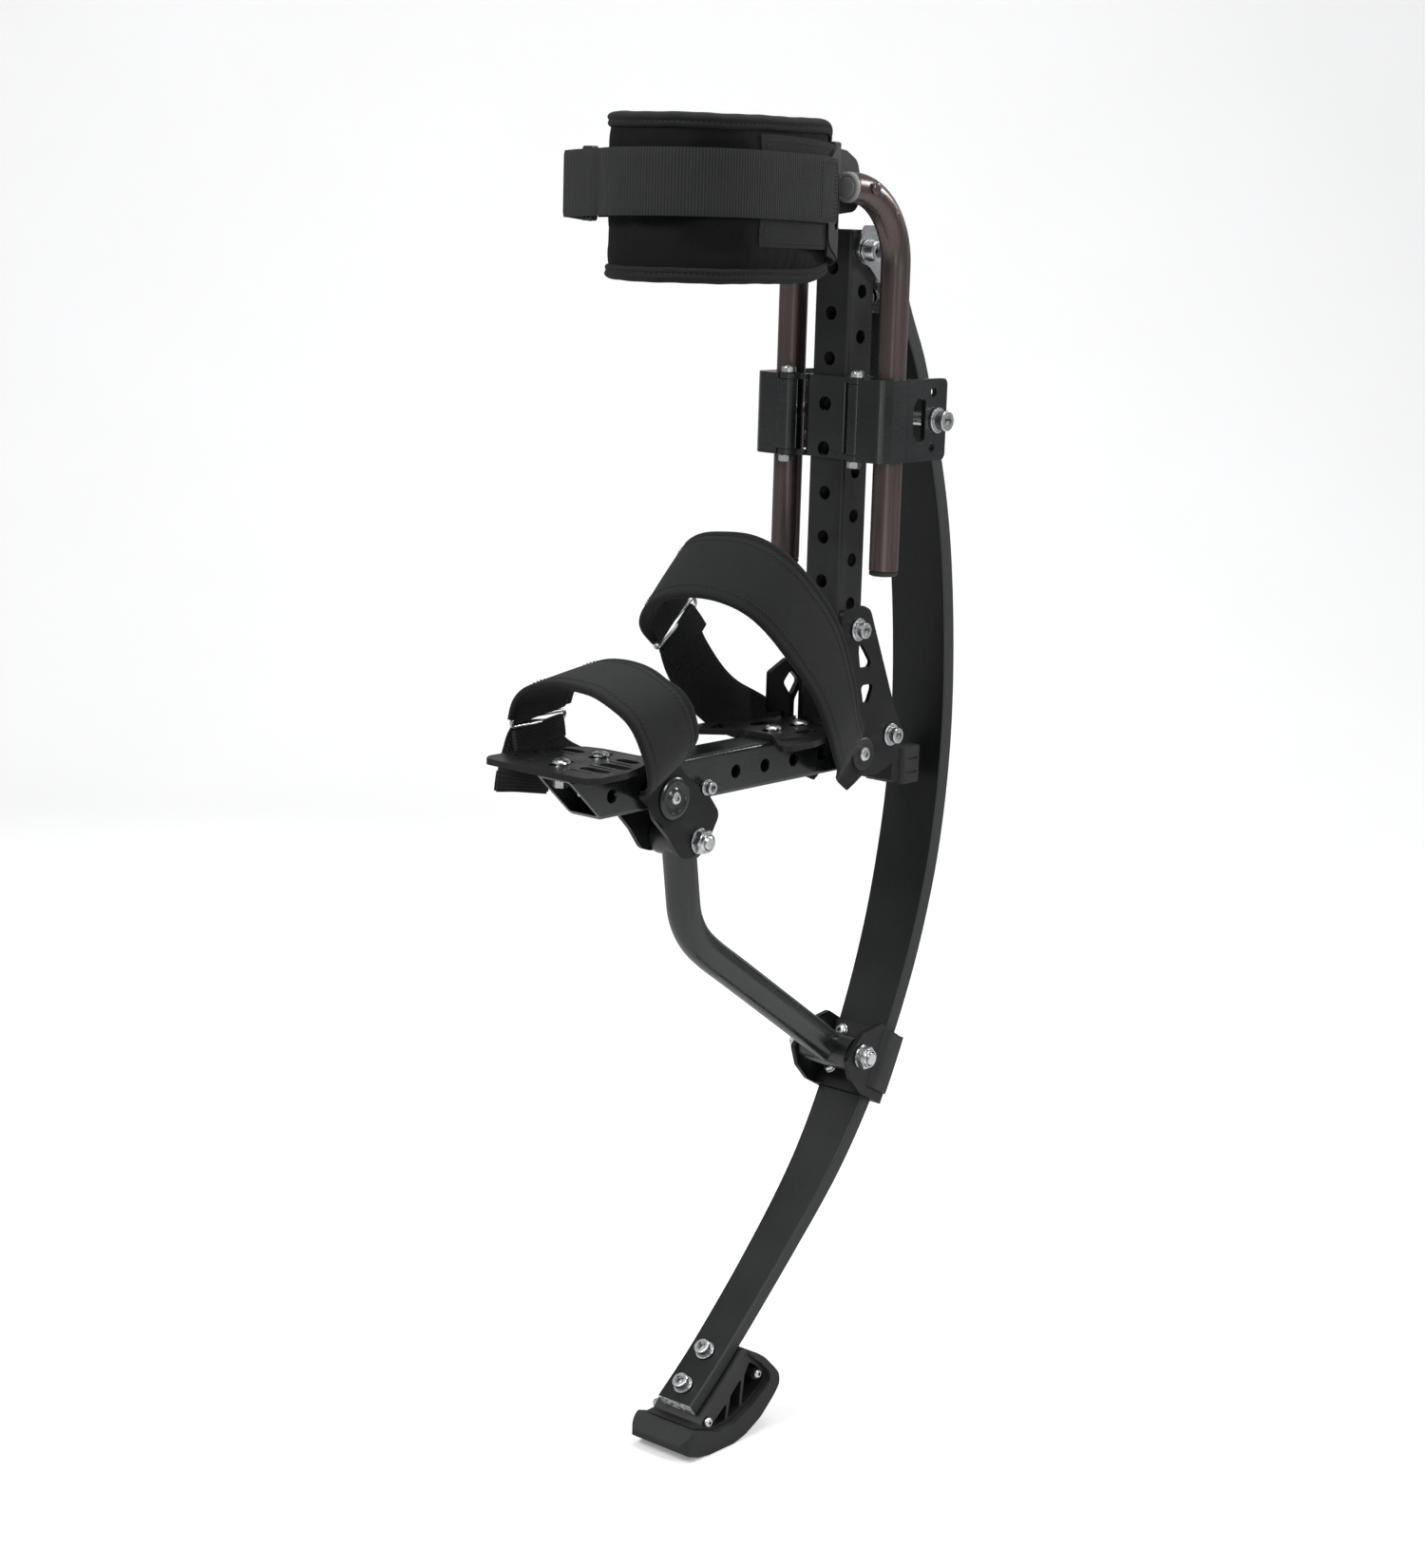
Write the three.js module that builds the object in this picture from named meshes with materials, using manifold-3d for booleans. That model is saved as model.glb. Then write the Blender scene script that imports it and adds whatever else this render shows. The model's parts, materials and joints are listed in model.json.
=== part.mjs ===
// Spring-leaf jumping stilt, one leg. Millimetres, +X towards the toe, +Y to the wearer's left,
// +Z up. Origin: floor level under the hoof. At rest the foot beam is horizontal and the upright
// is vertical; the leaf spring bows out behind them.
import * as THREE from 'three';
import { mergeVertices } from 'three/addons/utils/BufferGeometryUtils.js';
import Module from 'manifold-3d';

const wasm = await Module();
wasm.setup();

// ---------------------------------------------------------------- driving dimensions
// Suffixes: X0/X1, Z0/Z1 are low and high limits, Y0/Y1 are inner and outer distances from the
// middle plane. Pivots and cross bolts are [x, z] points.
const GAP = 0.3;                 // running and seating gap between neighbouring pieces
const OVER = 5;                  // how far a cutter runs past the piece it cuts
const REACH = 100;               // half length of a cutter that passes through both sides
const SIDES = [['left', 1], ['right', -1]];

const UP_X0 = -151, UP_X1 = -120;      // upright tube, rear and front faces
const UP_MID_X = (UP_X0 + UP_X1) / 2;
const UP_HALF = 16.5;            // upright half width
const UP_Z0 = 553, UP_Z1 = 918;
const WALL = 2.6;                // wall of the upright and the beam
const HOLE_PITCH = 33.5, HOLE_R = 5.2;
const frontHoleZ = (i) => 591 + HOLE_PITCH * i;
const sideHoleZ = (i) => frontHoleZ(i) + 16.5;

const BEAM_HALF = 15.8, BEAM_Z0 = 512, BEAM_Z1 = 545;
const BEAM_X0 = -166, BEAM_X1 = 171;
const BEAM_HOLE_X0 = -108, BEAM_HOLE_Z = 528;

const ANKLE = [-149, 524];
const ROD_TOP = [37, 483];       // push rod upper pivot
const ROD_LOW = [-156, 281];     // push rod lower pivot
const TOP_PIVOT = [-136, 905];   // spring top pivot
const PLATE_TOP_BOLT = [-142, 621], PLATE_REAR_BOLT = [-188, 534];   // in the ankle plates
const YOKE_BOLT = [30, 522];     // rear bolt of the front yoke
const TOE_PIVOT = [70, 520];     // toe strap bolt
const ROD_CLAMP_BOLT = [-172, 782];
const CALF_BOLT = [UP_MID_X, sideHoleZ(5)];

const ANKLE_PLATE_Y0 = UP_HALF + GAP, ANKLE_PLATE_Y1 = ANKLE_PLATE_Y0 + 3.4;
const YOKE_Y0 = BEAM_HALF + GAP, YOKE_Y1 = YOKE_Y0 + 4;

const KNEE_R = 11, KNEE_X = -134, KNEE_Y = 48;   // knee rods, 22 mm tube
const KNEE_BEND = 56;            // centre line bend radius
const KNEE_BEND_STEPS = 8;
const KNEE_TOP = 951, KNEE_END = -75, KNEE_LOW = 669;
const KNEE_WALL = 2, KNEE_FLOOR = 3;             // tube wall, closed bottom
const KNEE_SEAT_Y = KNEE_Y + KNEE_R + GAP;       // just outside the rod
const CUFF_PIVOT = [-92, KNEE_TOP];
const CUFF_HOLE_R = 3.4;

const CLAMP_Z0 = 752, CLAMP_Z1 = 813;
const CLAMP_WALL = 4;
const CALF_WALL = 3;
const PIN_X = -113, PIN_Y = 33;  // hinge pins between calf bracket and clamp arms
const BARREL_R = 7, PIN_HOLE_R = 3.4;

const CUFF_X = 15, CUFF_HALF_X = 90, CUFF_HALF_Y = 62;
const CUFF_Z0 = 884, CUFF_Z1 = 997;
const CUFF_POWER = 2.5;          // 2 is an ellipse, higher is squarer
const PAD_INSET = 3.6, PAD_WALL = 14, SHELL_WALL = 3.3;

const TOE_BOLTS = [162, 122], HEEL_BOLTS = [-68, -100];   // x of the sole bolts: front, rear
const SOLE_Z0 = BEAM_Z1 + GAP, SOLE_Z1 = SOLE_Z0 + 4.5;
const TOE_LIFT = 4;              // the toe plate stands on a raised boss
const PLATE_SLIDE = 8;           // half travel of the sole plates on their slots
const HOOF_HALF = 29;

// ---------------------------------------------------------------- materials
const FINISH = {
  black: { color: 0x1c1d1e, roughness: 0.45, metalness: 0.3 },
  zinc: { color: 0xc9ccd0, roughness: 0.3, metalness: 0.9 },
  bronze: { color: 0x3a302c, roughness: 0.35, metalness: 0.7 },
  laminate: { color: 0x242627, roughness: 0.4, metalness: 0.1 },
  rubber: { color: 0x222324, roughness: 0.8, metalness: 0 },
  fabric: { color: 0x19191a, roughness: 0.95, metalness: 0 },
  plastic: { color: 0x161617, roughness: 0.6, metalness: 0 },
};

// ---------------------------------------------------------------- solids and meshes
const vec = (x, y, z) => new THREE.Vector3(x, y, z);

// closed solid from a three geometry: seams welded, collapsed triangles left out
function solid(source) {
  const loose = source.index ? source.toNonIndexed() : source;
  for (const key of Object.keys(loose.attributes)) {
    if (key !== 'position') loose.deleteAttribute(key);
  }
  const welded = mergeVertices(loose, 1e-4);
  const index = welded.index.array;
  const kept = [];
  for (let i = 0; i < index.length; i += 3) {
    const [a, b, c] = [index[i], index[i + 1], index[i + 2]];
    if (a !== b && b !== c && a !== c) kept.push(a, b, c);
  }
  return new wasm.Manifold(new wasm.Mesh({
    numProp: 3,
    vertProperties: new Float32Array(welded.attributes.position.array),
    triVerts: new Uint32Array(kept),
  }));
}

function geometryOf(shape) {
  const mesh = shape.getMesh();
  const geometry = new THREE.BufferGeometry();
  const positions = new Float32Array(mesh.vertProperties);
  geometry.setAttribute('position', new THREE.BufferAttribute(positions, 3));
  geometry.setIndex(new THREE.BufferAttribute(new Uint32Array(mesh.triVerts), 1));
  return geometry;
}

const group = new THREE.Group();
function put(name, shape, finish) {
  const mesh = new THREE.Mesh(geometryOf(shape), new THREE.MeshStandardMaterial(finish));
  mesh.name = name;
  group.add(mesh);
}

const sum = (...shapes) => shapes.reduce((all, next) => all.add(next));
const cut = (shape, ...cutters) => cutters.reduce((rest, next) => rest.subtract(next), shape);

// y limits of something that lies between two distances from the middle plane, on one side
const sideSpan = (side, inner, outer) => (side > 0 ? [inner, outer] : [-outer, -inner]);

// ---------------------------------------------------------------- outlines
const CORNER_STEPS = 4;

function circle(x, y, radius, segments = 20, start = 0) {
  return Array.from({ length: segments }, (_, i) => {
    const angle = start + (2 * Math.PI * i) / segments;
    return [x + radius * Math.cos(angle), y + radius * Math.sin(angle)];
  });
}

const octagon = (x, y) => circle(x, y, HOLE_R, 8, Math.PI / 8);

// points on an arc, both ends included
function arc(x, y, radius, start, sweep) {
  return Array.from({ length: CORNER_STEPS + 1 }, (_, i) => {
    const angle = start + (sweep * i) / CORNER_STEPS;
    return [x + radius * Math.cos(angle), y + radius * Math.sin(angle)];
  });
}

// round-ended slot between two end centres
function slot(x0, y0, x1, y1, radius) {
  const angle = Math.atan2(y1 - y0, x1 - x0);
  return [
    ...arc(x0, y0, radius, angle + Math.PI / 2, Math.PI),
    ...arc(x1, y1, radius, angle - Math.PI / 2, Math.PI),
  ];
}

function roundRect(x0, x1, y0, y1, radius) {
  const quarter = Math.PI / 2;
  return [
    ...arc(x1 - radius, y0 + radius, radius, -quarter, quarter),
    ...arc(x1 - radius, y1 - radius, radius, 0, quarter),
    ...arc(x0 + radius, y1 - radius, radius, quarter, quarter),
    ...arc(x0 + radius, y0 + radius, radius, 2 * quarter, quarter),
  ];
}

// closes an x-y half outline with its mirror image in y
const mirrored = (half) => [...half, ...half.map(([x, y]) => [x, -y]).reverse()];

// ---------------------------------------------------------------- basic solids
function extruded(outline, depth) {
  const shape = new THREE.Shape(outline.map(([x, y]) => new THREE.Vector2(x, y)));
  return new THREE.ExtrudeGeometry(shape, { depth, bevelEnabled: false, steps: 1 });
}

// prism from a y-z outline
function prismX(outline, x0, x1) {
  const turn = new THREE.Matrix4().makeBasis(vec(0, 1, 0), vec(0, 0, 1), vec(1, 0, 0));
  return solid(extruded(outline, x1 - x0).applyMatrix4(turn).translate(x0, 0, 0));
}

// prism from an x-z outline
function prismY(outline, y0, y1) {
  return solid(extruded(outline, y1 - y0).rotateX(Math.PI / 2).translate(0, y1, 0));
}

// prism from an x-y outline
function prismZ(outline, z0, z1) {
  return solid(extruded(outline, z1 - z0).translate(0, 0, z0));
}

function box(x0, x1, y0, y1, z0, z1) {
  const block = new THREE.BoxGeometry(x1 - x0, y1 - y0, z1 - z0);
  return solid(block.translate((x0 + x1) / 2, (y0 + y1) / 2, (z0 + z1) / 2));
}

const cylY = ([x, z], radius, y0, y1, segments) =>
  prismY(circle(x, z, radius, segments), y0, y1);
const cylZ = (x, y, radius, z0, z1, segments = 20) =>
  prismZ(circle(x, y, radius, segments), z0, z1);
const windowY = (outline) => prismY(outline, -REACH, REACH);
const holeY = (point, radius, segments = 16) => cylY(point, radius, -REACH, REACH, segments);

// stands a geometry built along +Y at a place, along a direction
function aim(geometry, place, direction) {
  const turn = new THREE.Quaternion().setFromUnitVectors(vec(0, 1, 0), vec(...direction).normalize());
  return solid(geometry.applyQuaternion(turn).translate(...place));
}

// turned solid; profile rows are [distance along the direction, radius]
function turned(rows, place, direction, segments = 20) {
  const profile = [[rows[0][0], 0], ...rows, [rows[rows.length - 1][0], 0]];
  const points = profile.map(([along, radius]) => new THREE.Vector2(radius, along));
  return aim(new THREE.LatheGeometry(points, segments), place, direction);
}

const rod = (radius, from, to, place, direction, segments) =>
  turned([[from, radius], [to, radius]], place, direction, segments);

function hexPrism(place, direction, height, flats) {
  const radius = flats / Math.sqrt(3);
  const prism = new THREE.CylinderGeometry(radius, radius, height, 6);
  return aim(prism.translate(0, height / 2, 0), place, direction);
}

// head radius and height, as multiples of the bolt radius
const ROUND_HEADS = {
  socket: { radius: 1.55, height: 1.7 },
  button: { radius: 1.75, height: 1.1 },
};
const HEX_FLATS = 3.3, HEX_HEAD = 1.3, NUT_HEIGHT = 1.5, SHANK_PAST_NUT = 1.9;

// Through bolt with its washers and nut as one piece. The direction is a unit vector that points
// to the head; grip and nutGrip run from the place to the face under each washer.
function bolt(place, direction, radius, grip, options = {}) {
  const { head = 'socket', washer = 1.9 * radius + 1.2, washerWall = 1.4 } = options;
  const { nut = true, nutGrip = grip } = options;
  const at = (distance) => place.map((value, i) => value + direction[i] * distance);
  const seat = grip + washerWall;
  const nutSeat = -nutGrip - washerWall;
  const tail = nut ? nutSeat - radius * SHANK_PAST_NUT : -nutGrip;
  const parts = [
    rod(radius, tail, seat + 0.4, place, direction, 6),
    rod(washer, grip, seat, place, direction, 10),
  ];
  if (head === 'hex') {
    parts.push(hexPrism(at(seat - 0.2), direction, radius * HEX_HEAD, radius * HEX_FLATS));
  } else {
    const size = ROUND_HEADS[head];
    const top = seat + radius * size.height;
    parts.push(rod(radius * size.radius, seat - 0.2, top, place, direction, 10));
  }
  if (nut) {
    const height = radius * NUT_HEIGHT;
    parts.push(rod(washer, nutSeat, -nutGrip, place, direction, 10));
    parts.push(hexPrism(at(nutSeat - height), direction, height + 0.2, radius * HEX_FLATS));
  }
  return sum(...parts);
}

// bolt across the leg, head on the left
const crossBolt = ([x, z], radius, grip, options) =>
  bolt([x, 0, z], [0, 1, 0], radius, grip, options);

// closed skin over a row of equal rings of points, turned outwards whichever way the rings run
function loft(rings) {
  const size = rings[0].length;
  const last = (rings.length - 1) * size;
  const triangles = [];
  for (let ring = 0; ring < last; ring += size) {
    for (let j = 0; j < size; j++) {
      const here = ring + j;
      const next = ring + ((j + 1) % size);
      triangles.push(here, here + size, next, next, here + size, next + size);
    }
  }
  for (let j = 1; j < size - 1; j++) triangles.push(0, j, j + 1, last, last + j + 1, last + j);
  const skin = (index) => {
    const geometry = new THREE.BufferGeometry().setFromPoints(rings.flat());
    geometry.setIndex(index);
    return solid(geometry);
  };
  const shape = skin(triangles);
  return shape.volume() < 0 ? skin(triangles.reverse()) : shape;
}

// round bar through points in an x-z plane, with mitred joints
function bar(points, radius, segments) {
  const lateral = vec(0, 1, 0);
  return loft(points.map((point, i) => {
    const [from, to] = i ? [points[i - 1], point] : [point, points[1]];
    const before = to.clone().sub(from).normalize();
    const after = i < points.length - 1
      ? points[i + 1].clone().sub(point).normalize()
      : before;
    const axis = before.clone().add(after).normalize();
    const across = vec(0, 0, 0).crossVectors(axis, lateral).normalize();
    const stretch = 1 / Math.max(0.5, axis.dot(before));
    return circle(0, 0, radius, segments).map(([u, v]) =>
      point.clone().addScaledVector(lateral, u).addScaledVector(across, stretch * v));
  }));
}

// Flat strip. Rows are [x, y, z, width, tilt]; tilt is the direction of the width in the x-z
// plane in degrees from +X, and rows without one take the default.
function strip(rows, thickness, defaultTilt) {
  const centres = rows.map(([x, y, z]) => vec(x, y, z));
  const last = rows.length - 1;
  return loft(rows.map(([, , , width, tilt = defaultTilt], i) => {
    const angle = THREE.MathUtils.degToRad(tilt);
    const across = vec(Math.cos(angle), 0, Math.sin(angle));
    const ahead = centres[Math.min(last, i + 1)].clone().sub(centres[Math.max(0, i - 1)]);
    const normal = vec(0, 0, 0).crossVectors(ahead, across).normalize();
    return [[-1, -1], [1, -1], [1, 1], [-1, 1]].map(([u, v]) =>
      centres[i].clone()
        .addScaledVector(across, (u * width) / 2)
        .addScaledVector(normal, (v * thickness) / 2));
  }));
}

// ---------------------------------------------------------------- upright
function upright() {
  const tube = cut(
    box(UP_X0, UP_X1, -UP_HALF, UP_HALF, UP_Z0, UP_Z1),
    box(UP_X0 + WALL, UP_X1 - WALL, -UP_HALF + WALL, UP_HALF - WALL, UP_Z0 - OVER, UP_Z1 + OVER));
  const holes = [holeY(TOP_PIVOT, 5.4, 10), holeY(PLATE_TOP_BOLT, 4.4, 10)];
  for (let i = 0; i < 10; i++) {
    holes.push(prismX(octagon(0, frontHoleZ(i)), UP_X0 - OVER, UP_X1 + OVER));
  }
  for (let i = 0; i < 9; i++) holes.push(windowY(octagon(UP_MID_X, sideHoleZ(i))));
  return cut(tube, ...holes);
}
put('upright_channel', upright(), FINISH.black);

// ---------------------------------------------------------------- ankle plates and bumper
// x, z
const ANKLE_PLATE = [
  [-122, 637], [-148, 639], [-157, 635], [-193, 553], [-201, 541], [-201, 527],
  [-196, 512], [-172, 504], [-149, 507], [-136, 512], [-131, 524], [-122, 548],
];
const ANKLE_PLATE_WINDOW = [
  [-143, 608], [-148, 609], [-164, 588], [-165, 580], [-158, 563], [-152, 562], [-148, 580],
];
for (const [sideName, side] of SIDES) {
  const plate = cut(
    prismY(ANKLE_PLATE, ...sideSpan(side, ANKLE_PLATE_Y0, ANKLE_PLATE_Y1)),
    holeY(PLATE_TOP_BOLT, 4.4),
    holeY(PLATE_REAR_BOLT, 4.4),
    holeY(ANKLE, 5.5, 12),
    windowY(ANKLE_PLATE_WINDOW));
  put(`ankle_plate_${sideName}`, plate, FINISH.black);
}
put('ankle_plate_top_bolt', crossBolt(PLATE_TOP_BOLT, 4, ANKLE_PLATE_Y1 + GAP), FINISH.zinc);
put('ankle_plate_rear_bolt', crossBolt(PLATE_REAR_BOLT, 4, ANKLE_PLATE_Y1 + GAP), FINISH.zinc);

// folded bracket between the plates that carries the rebound bumper
function bumperBracket() {
  const half = UP_HALF - 0.2;
  return cut(
    sum(
      box(-198, -178, -half, half, 524, 546),
      box(-206.4, -197, -half, half, 494, 530),
      box(-200, -174, -half, half, 512, 525)),
    holeY(PLATE_REAR_BOLT, 4.4));
}
put('bumper_bracket', bumperBracket(), FINISH.black);
put('rebound_bumper', prismZ(roundRect(-232, -206.7, -19, 19, 4), 491, 520), FINISH.rubber);

// ---------------------------------------------------------------- calf bracket
const pinHole = (side) =>
  cylZ(PIN_X, side * PIN_Y, PIN_HOLE_R, CLAMP_Z0 - OVER, CLAMP_Z1 + OVER, 8);

// wraps the upright's front and sides, with a hinge barrel at top and bottom of each side
function calfBracket() {
  const rearX = -149, frontX = UP_X1 + GAP;
  const inner = UP_HALF + GAP, outer = inner + CALF_WALL;
  const linkInner = 17.5, barrelHeight = 4;
  let bracket = cut(
    box(rearX, frontX + CALF_WALL, -outer, outer, CLAMP_Z0, CLAMP_Z1),
    box(rearX - OVER, frontX, -inner, inner, CLAMP_Z0 - OVER, CLAMP_Z1 + OVER),
    ...[5, 6].map((i) => prismX(circle(0, frontHoleZ(i), HOLE_R + 0.4, 12), -140, -100)));
  const levels = [[CLAMP_Z0, CLAMP_Z0 + barrelHeight], [CLAMP_Z1 - barrelHeight, CLAMP_Z1]];
  for (const [, side] of SIDES) {
    for (const [z0, z1] of levels) {
      bracket = sum(
        bracket,
        cylZ(PIN_X, side * PIN_Y, BARREL_R, z0, z1, 12),
        box(PIN_X - 9, PIN_X - 2, ...sideSpan(side, linkInner, PIN_Y), z0, z1));
    }
    bracket = cut(bracket, pinHole(side));
  }
  return cut(bracket, holeY(CALF_BOLT, 4.4));
}
put('calf_bracket', calfBracket(), FINISH.black);
// holds the bracket at its chosen height on the upright
put('calf_bracket_bolt', crossBolt(CALF_BOLT, 3.6, UP_HALF + GAP + CALF_WALL + GAP,
  { washer: 6.6, washerWall: 1, head: 'button' }), FINISH.zinc);

// ---------------------------------------------------------------- hinged rod clamps
// barrel on the hinge pin, web out to the rod, shell round the rod, ear behind it
function clampArm(side) {
  const inner = KNEE_R + GAP, outer = inner + CLAMP_WALL;
  const rodY = side * KNEE_Y;
  // x, y on the left side
  const web = [
    [PIN_X + 6.5, PIN_Y + 1], [PIN_X + 5.5, KNEE_Y + 8], [PIN_X - 1, KNEE_Y + outer],
    [KNEE_X, KNEE_Y + outer], [KNEE_X, KNEE_Y - 2], [PIN_X - 4, PIN_Y + 8.2],
  ].map(([x, y]) => [x, side * y]);
  const [earY0, earY1] = sideSpan(side, KNEE_Y + inner, KNEE_Y + outer);
  const solidArm = sum(
    cylZ(PIN_X, side * PIN_Y, BARREL_R, CLAMP_Z0 + 4.5, CLAMP_Z1 - 4.5, 14),
    cylZ(KNEE_X, rodY, outer, CLAMP_Z0, CLAMP_Z1, 24),
    prismZ(web, CLAMP_Z0, CLAMP_Z1),
    box(-184, KNEE_X - 2, earY0, earY1, CLAMP_Z0, CLAMP_Z1));
  // the shell is open towards the upright
  const [openY0, openY1] = sideSpan(side, 10, KNEE_Y - 3);
  const opening = box(KNEE_X - 30, KNEE_X + 4, openY0, openY1, CLAMP_Z0 - OVER, CLAMP_Z1 + OVER);
  // room above and below the arm's barrel for the bracket's own barrels
  const relief = (z0, z1) => cylZ(PIN_X, side * PIN_Y, BARREL_R + 0.8, z0, z1, 14);
  return cut(
    solidArm,
    cylZ(KNEE_X, rodY, inner + 0.1, CLAMP_Z0 - OVER, CLAMP_Z1 + OVER, 24),
    opening,
    relief(CLAMP_Z0 - OVER, CLAMP_Z0 + 4.4),
    relief(CLAMP_Z1 - 4.4, CLAMP_Z1 + OVER),
    pinHole(side),
    holeY(ROD_CLAMP_BOLT, 5.6),
    windowY(slot(-173, 768, -173, 760, 2.4)),
    windowY(slot(-173, 796, -173, 804, 2.4)));
}

function hingePin(side) {
  const foot = [PIN_X, side * PIN_Y, 0];
  const up = [0, 0, 1];
  const head = [[CLAMP_Z1 + 0.4, 5.4], [CLAMP_Z1 + 4.6, 5.4], [CLAMP_Z1 + 5.6, 4.4]];
  return sum(
    rod(2.9, CLAMP_Z0 - 3, CLAMP_Z1 + 3, foot, up, 8),
    turned(head, foot, up, 12),
    hexPrism([PIN_X, side * PIN_Y, CLAMP_Z0 - 5.4], up, 5, 10));
}

for (const [sideName, side] of SIDES) {
  put(`rod_clamp_arm_${sideName}`, clampArm(side), FINISH.black);
  put(`clamp_hinge_pin_${sideName}`, hingePin(side), FINISH.zinc);
}
put('rod_clamp_bolt', crossBolt(ROD_CLAMP_BOLT, 5, KNEE_SEAT_Y + CLAMP_WALL + GAP,
  { washer: 9.5, washerWall: 2 }), FINISH.zinc);

// ---------------------------------------------------------------- knee rods
// upright tube that bends forward at the top; closed at the bottom, open at the front end
function kneeRod(y) {
  const path = (lowZ, endX) => {
    const points = [vec(KNEE_X, y, lowZ)];
    for (let i = 0; i <= KNEE_BEND_STEPS; i++) {
      const angle = (Math.PI / 2) * (i / KNEE_BEND_STEPS);
      points.push(vec(
        KNEE_X + KNEE_BEND * (1 - Math.cos(angle)),
        y,
        KNEE_TOP - KNEE_BEND + KNEE_BEND * Math.sin(angle)));
    }
    return [...points, vec(endX, y, KNEE_TOP)];
  };
  return cut(
    bar(path(KNEE_LOW, KNEE_END), KNEE_R, 16),
    bar(path(KNEE_LOW + KNEE_FLOOR, KNEE_END + 0.5), KNEE_R - KNEE_WALL, 10),
    holeY(CUFF_PIVOT, CUFF_HOLE_R, 12));
}

function kneeRodPlug(y) {
  const axis = [0, y, KNEE_TOP];
  const cap = [[KNEE_END + GAP, KNEE_R], [KNEE_END + 2.5, KNEE_R], [KNEE_END + 3.5, KNEE_R - 1.5]];
  return sum(
    turned(cap, axis, [1, 0, 0], 20),
    rod(KNEE_R - 2.9, KNEE_END - 8, KNEE_END + 1, axis, [1, 0, 0], 16));
}

for (const [sideName, side] of SIDES) {
  put(`knee_rod_${sideName}`, kneeRod(side * KNEE_Y), FINISH.bronze);
  put(`knee_rod_end_plug_${sideName}`, kneeRodPlug(side * KNEE_Y), FINISH.plastic);
}

// ---------------------------------------------------------------- knee cuff
// squared oval, a given distance inside the cuff's outer size
function cuffOval(inset, segments) {
  const squared = (value) => Math.sign(value) * Math.abs(value) ** (2 / CUFF_POWER);
  return circle(0, 0, 1, segments).map(([x, y]) => [
    CUFF_X + (CUFF_HALF_X - inset) * squared(x),
    (CUFF_HALF_Y - inset) * squared(y),
  ]);
}

function cuffRing(outerInset, innerInset, z0, z1, segments) {
  return cut(
    prismZ(cuffOval(outerInset, segments), z0, z1),
    prismZ(cuffOval(innerInset, segments), z0 - OVER, z1 + OVER));
}

// moulded shell round the back of the pad, with two lugs for the cuff pivots
function cuffShell() {
  const z0 = CUFF_Z0 - OVER, z1 = CUFF_Z1 + OVER;
  const lug = [[-104, 939], [-104, 963], [-62, 967], [-62, 935]];   // x, z
  const back = cut(
    prismZ(cuffOval(0, 40), CUFF_Z0 + 14, CUFF_Z1 - 12),
    box(-38, 200, -REACH, REACH, z0, z1));
  return cut(
    sum(back, ...SIDES.map(([, side]) => prismY(lug, ...sideSpan(side, 26, 36.4)))),
    prismZ(cuffOval(SHELL_WALL, 40), z0, z1),
    holeY(CUFF_PIVOT, CUFF_HOLE_R, 12));
}

function cuffScrew(side) {
  const [x, z] = CUFF_PIVOT;
  const outward = [0, side, 0];
  const head = [[KNEE_SEAT_Y, 6], [KNEE_SEAT_Y + 1.6, 6], [KNEE_SEAT_Y + 3.2, 3.6]];
  return sum(
    rod(3, 22.2, KNEE_SEAT_Y + 2.6, [x, 0, z], outward, 8),
    turned(head, [x, 0, z], outward, 12),
    hexPrism([x, side * 22, z], outward, 3.6, 8));
}

// webbing round the front of the cuff, a little proud of the pad
function cuffStrap() {
  const z0 = 925, z1 = 973;
  return cut(
    cuffRing(-0.6, 2.4, z0, z1, 40),
    box(-200, -36, -REACH, REACH, z0 - OVER, z1 + OVER));
}

put('cuff_pad', cuffRing(PAD_INSET, PAD_INSET + PAD_WALL, CUFF_Z0, CUFF_Z1, 32), FINISH.fabric);
put('cuff_shell', cuffShell(), FINISH.plastic);
for (const [sideName, side] of SIDES) {
  put(`cuff_pivot_screw_${sideName}`, cuffScrew(side), FINISH.zinc);
}
put('cuff_strap', cuffStrap(), FINISH.fabric);

// ---------------------------------------------------------------- foot beam
// closed box tube; the front end is cut on a slant
function footBeam() {
  const outline = [
    [BEAM_X0, 516], [BEAM_X0 + 8, BEAM_Z0], [135.5, BEAM_Z0], [BEAM_X1, BEAM_Z1],
    [BEAM_X0, BEAM_Z1],
  ];
  const half = BEAM_HALF - WALL;
  return cut(
    prismY(outline, -BEAM_HALF, BEAM_HALF),
    box(BEAM_X0 - OVER, BEAM_X1 + OVER, -half, half, BEAM_Z0 + WALL, BEAM_Z1 - WALL),
    ...[0, 1, 2, 3, 6, 7].map((i) =>
      windowY(octagon(BEAM_HOLE_X0 + HOLE_PITCH * i, BEAM_HOLE_Z))),
    holeY(ANKLE, 5.7, 12),
    holeY(YOKE_BOLT, 3.7, 8),
    holeY(TOE_PIVOT, 4.6, 8),
    ...[...HEEL_BOLTS, ...TOE_BOLTS].map((x) => cylZ(x, 0, 3.6, BEAM_Z1 - 8, BEAM_Z1 + 8, 8)));
}
put('foot_beam', footBeam(), FINISH.black);

// ---------------------------------------------------------------- sole plates
// Left half outlines: x, y
const TOE_HALF = [
  [100, 18], [104, 32], [113, 37], [131, 46], [145, 50], [152, 53], [180, 53], [188, 48],
  [189, 30],
];
const HEEL_HALF = [
  [-50, 14], [-22, 44], [-22, 49], [-28, 52], [-54, 52], [-74, 46], [-92, 38], [-112, 33],
  [-127, 32], [-127, 24.5], [-113, 22],
];
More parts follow.
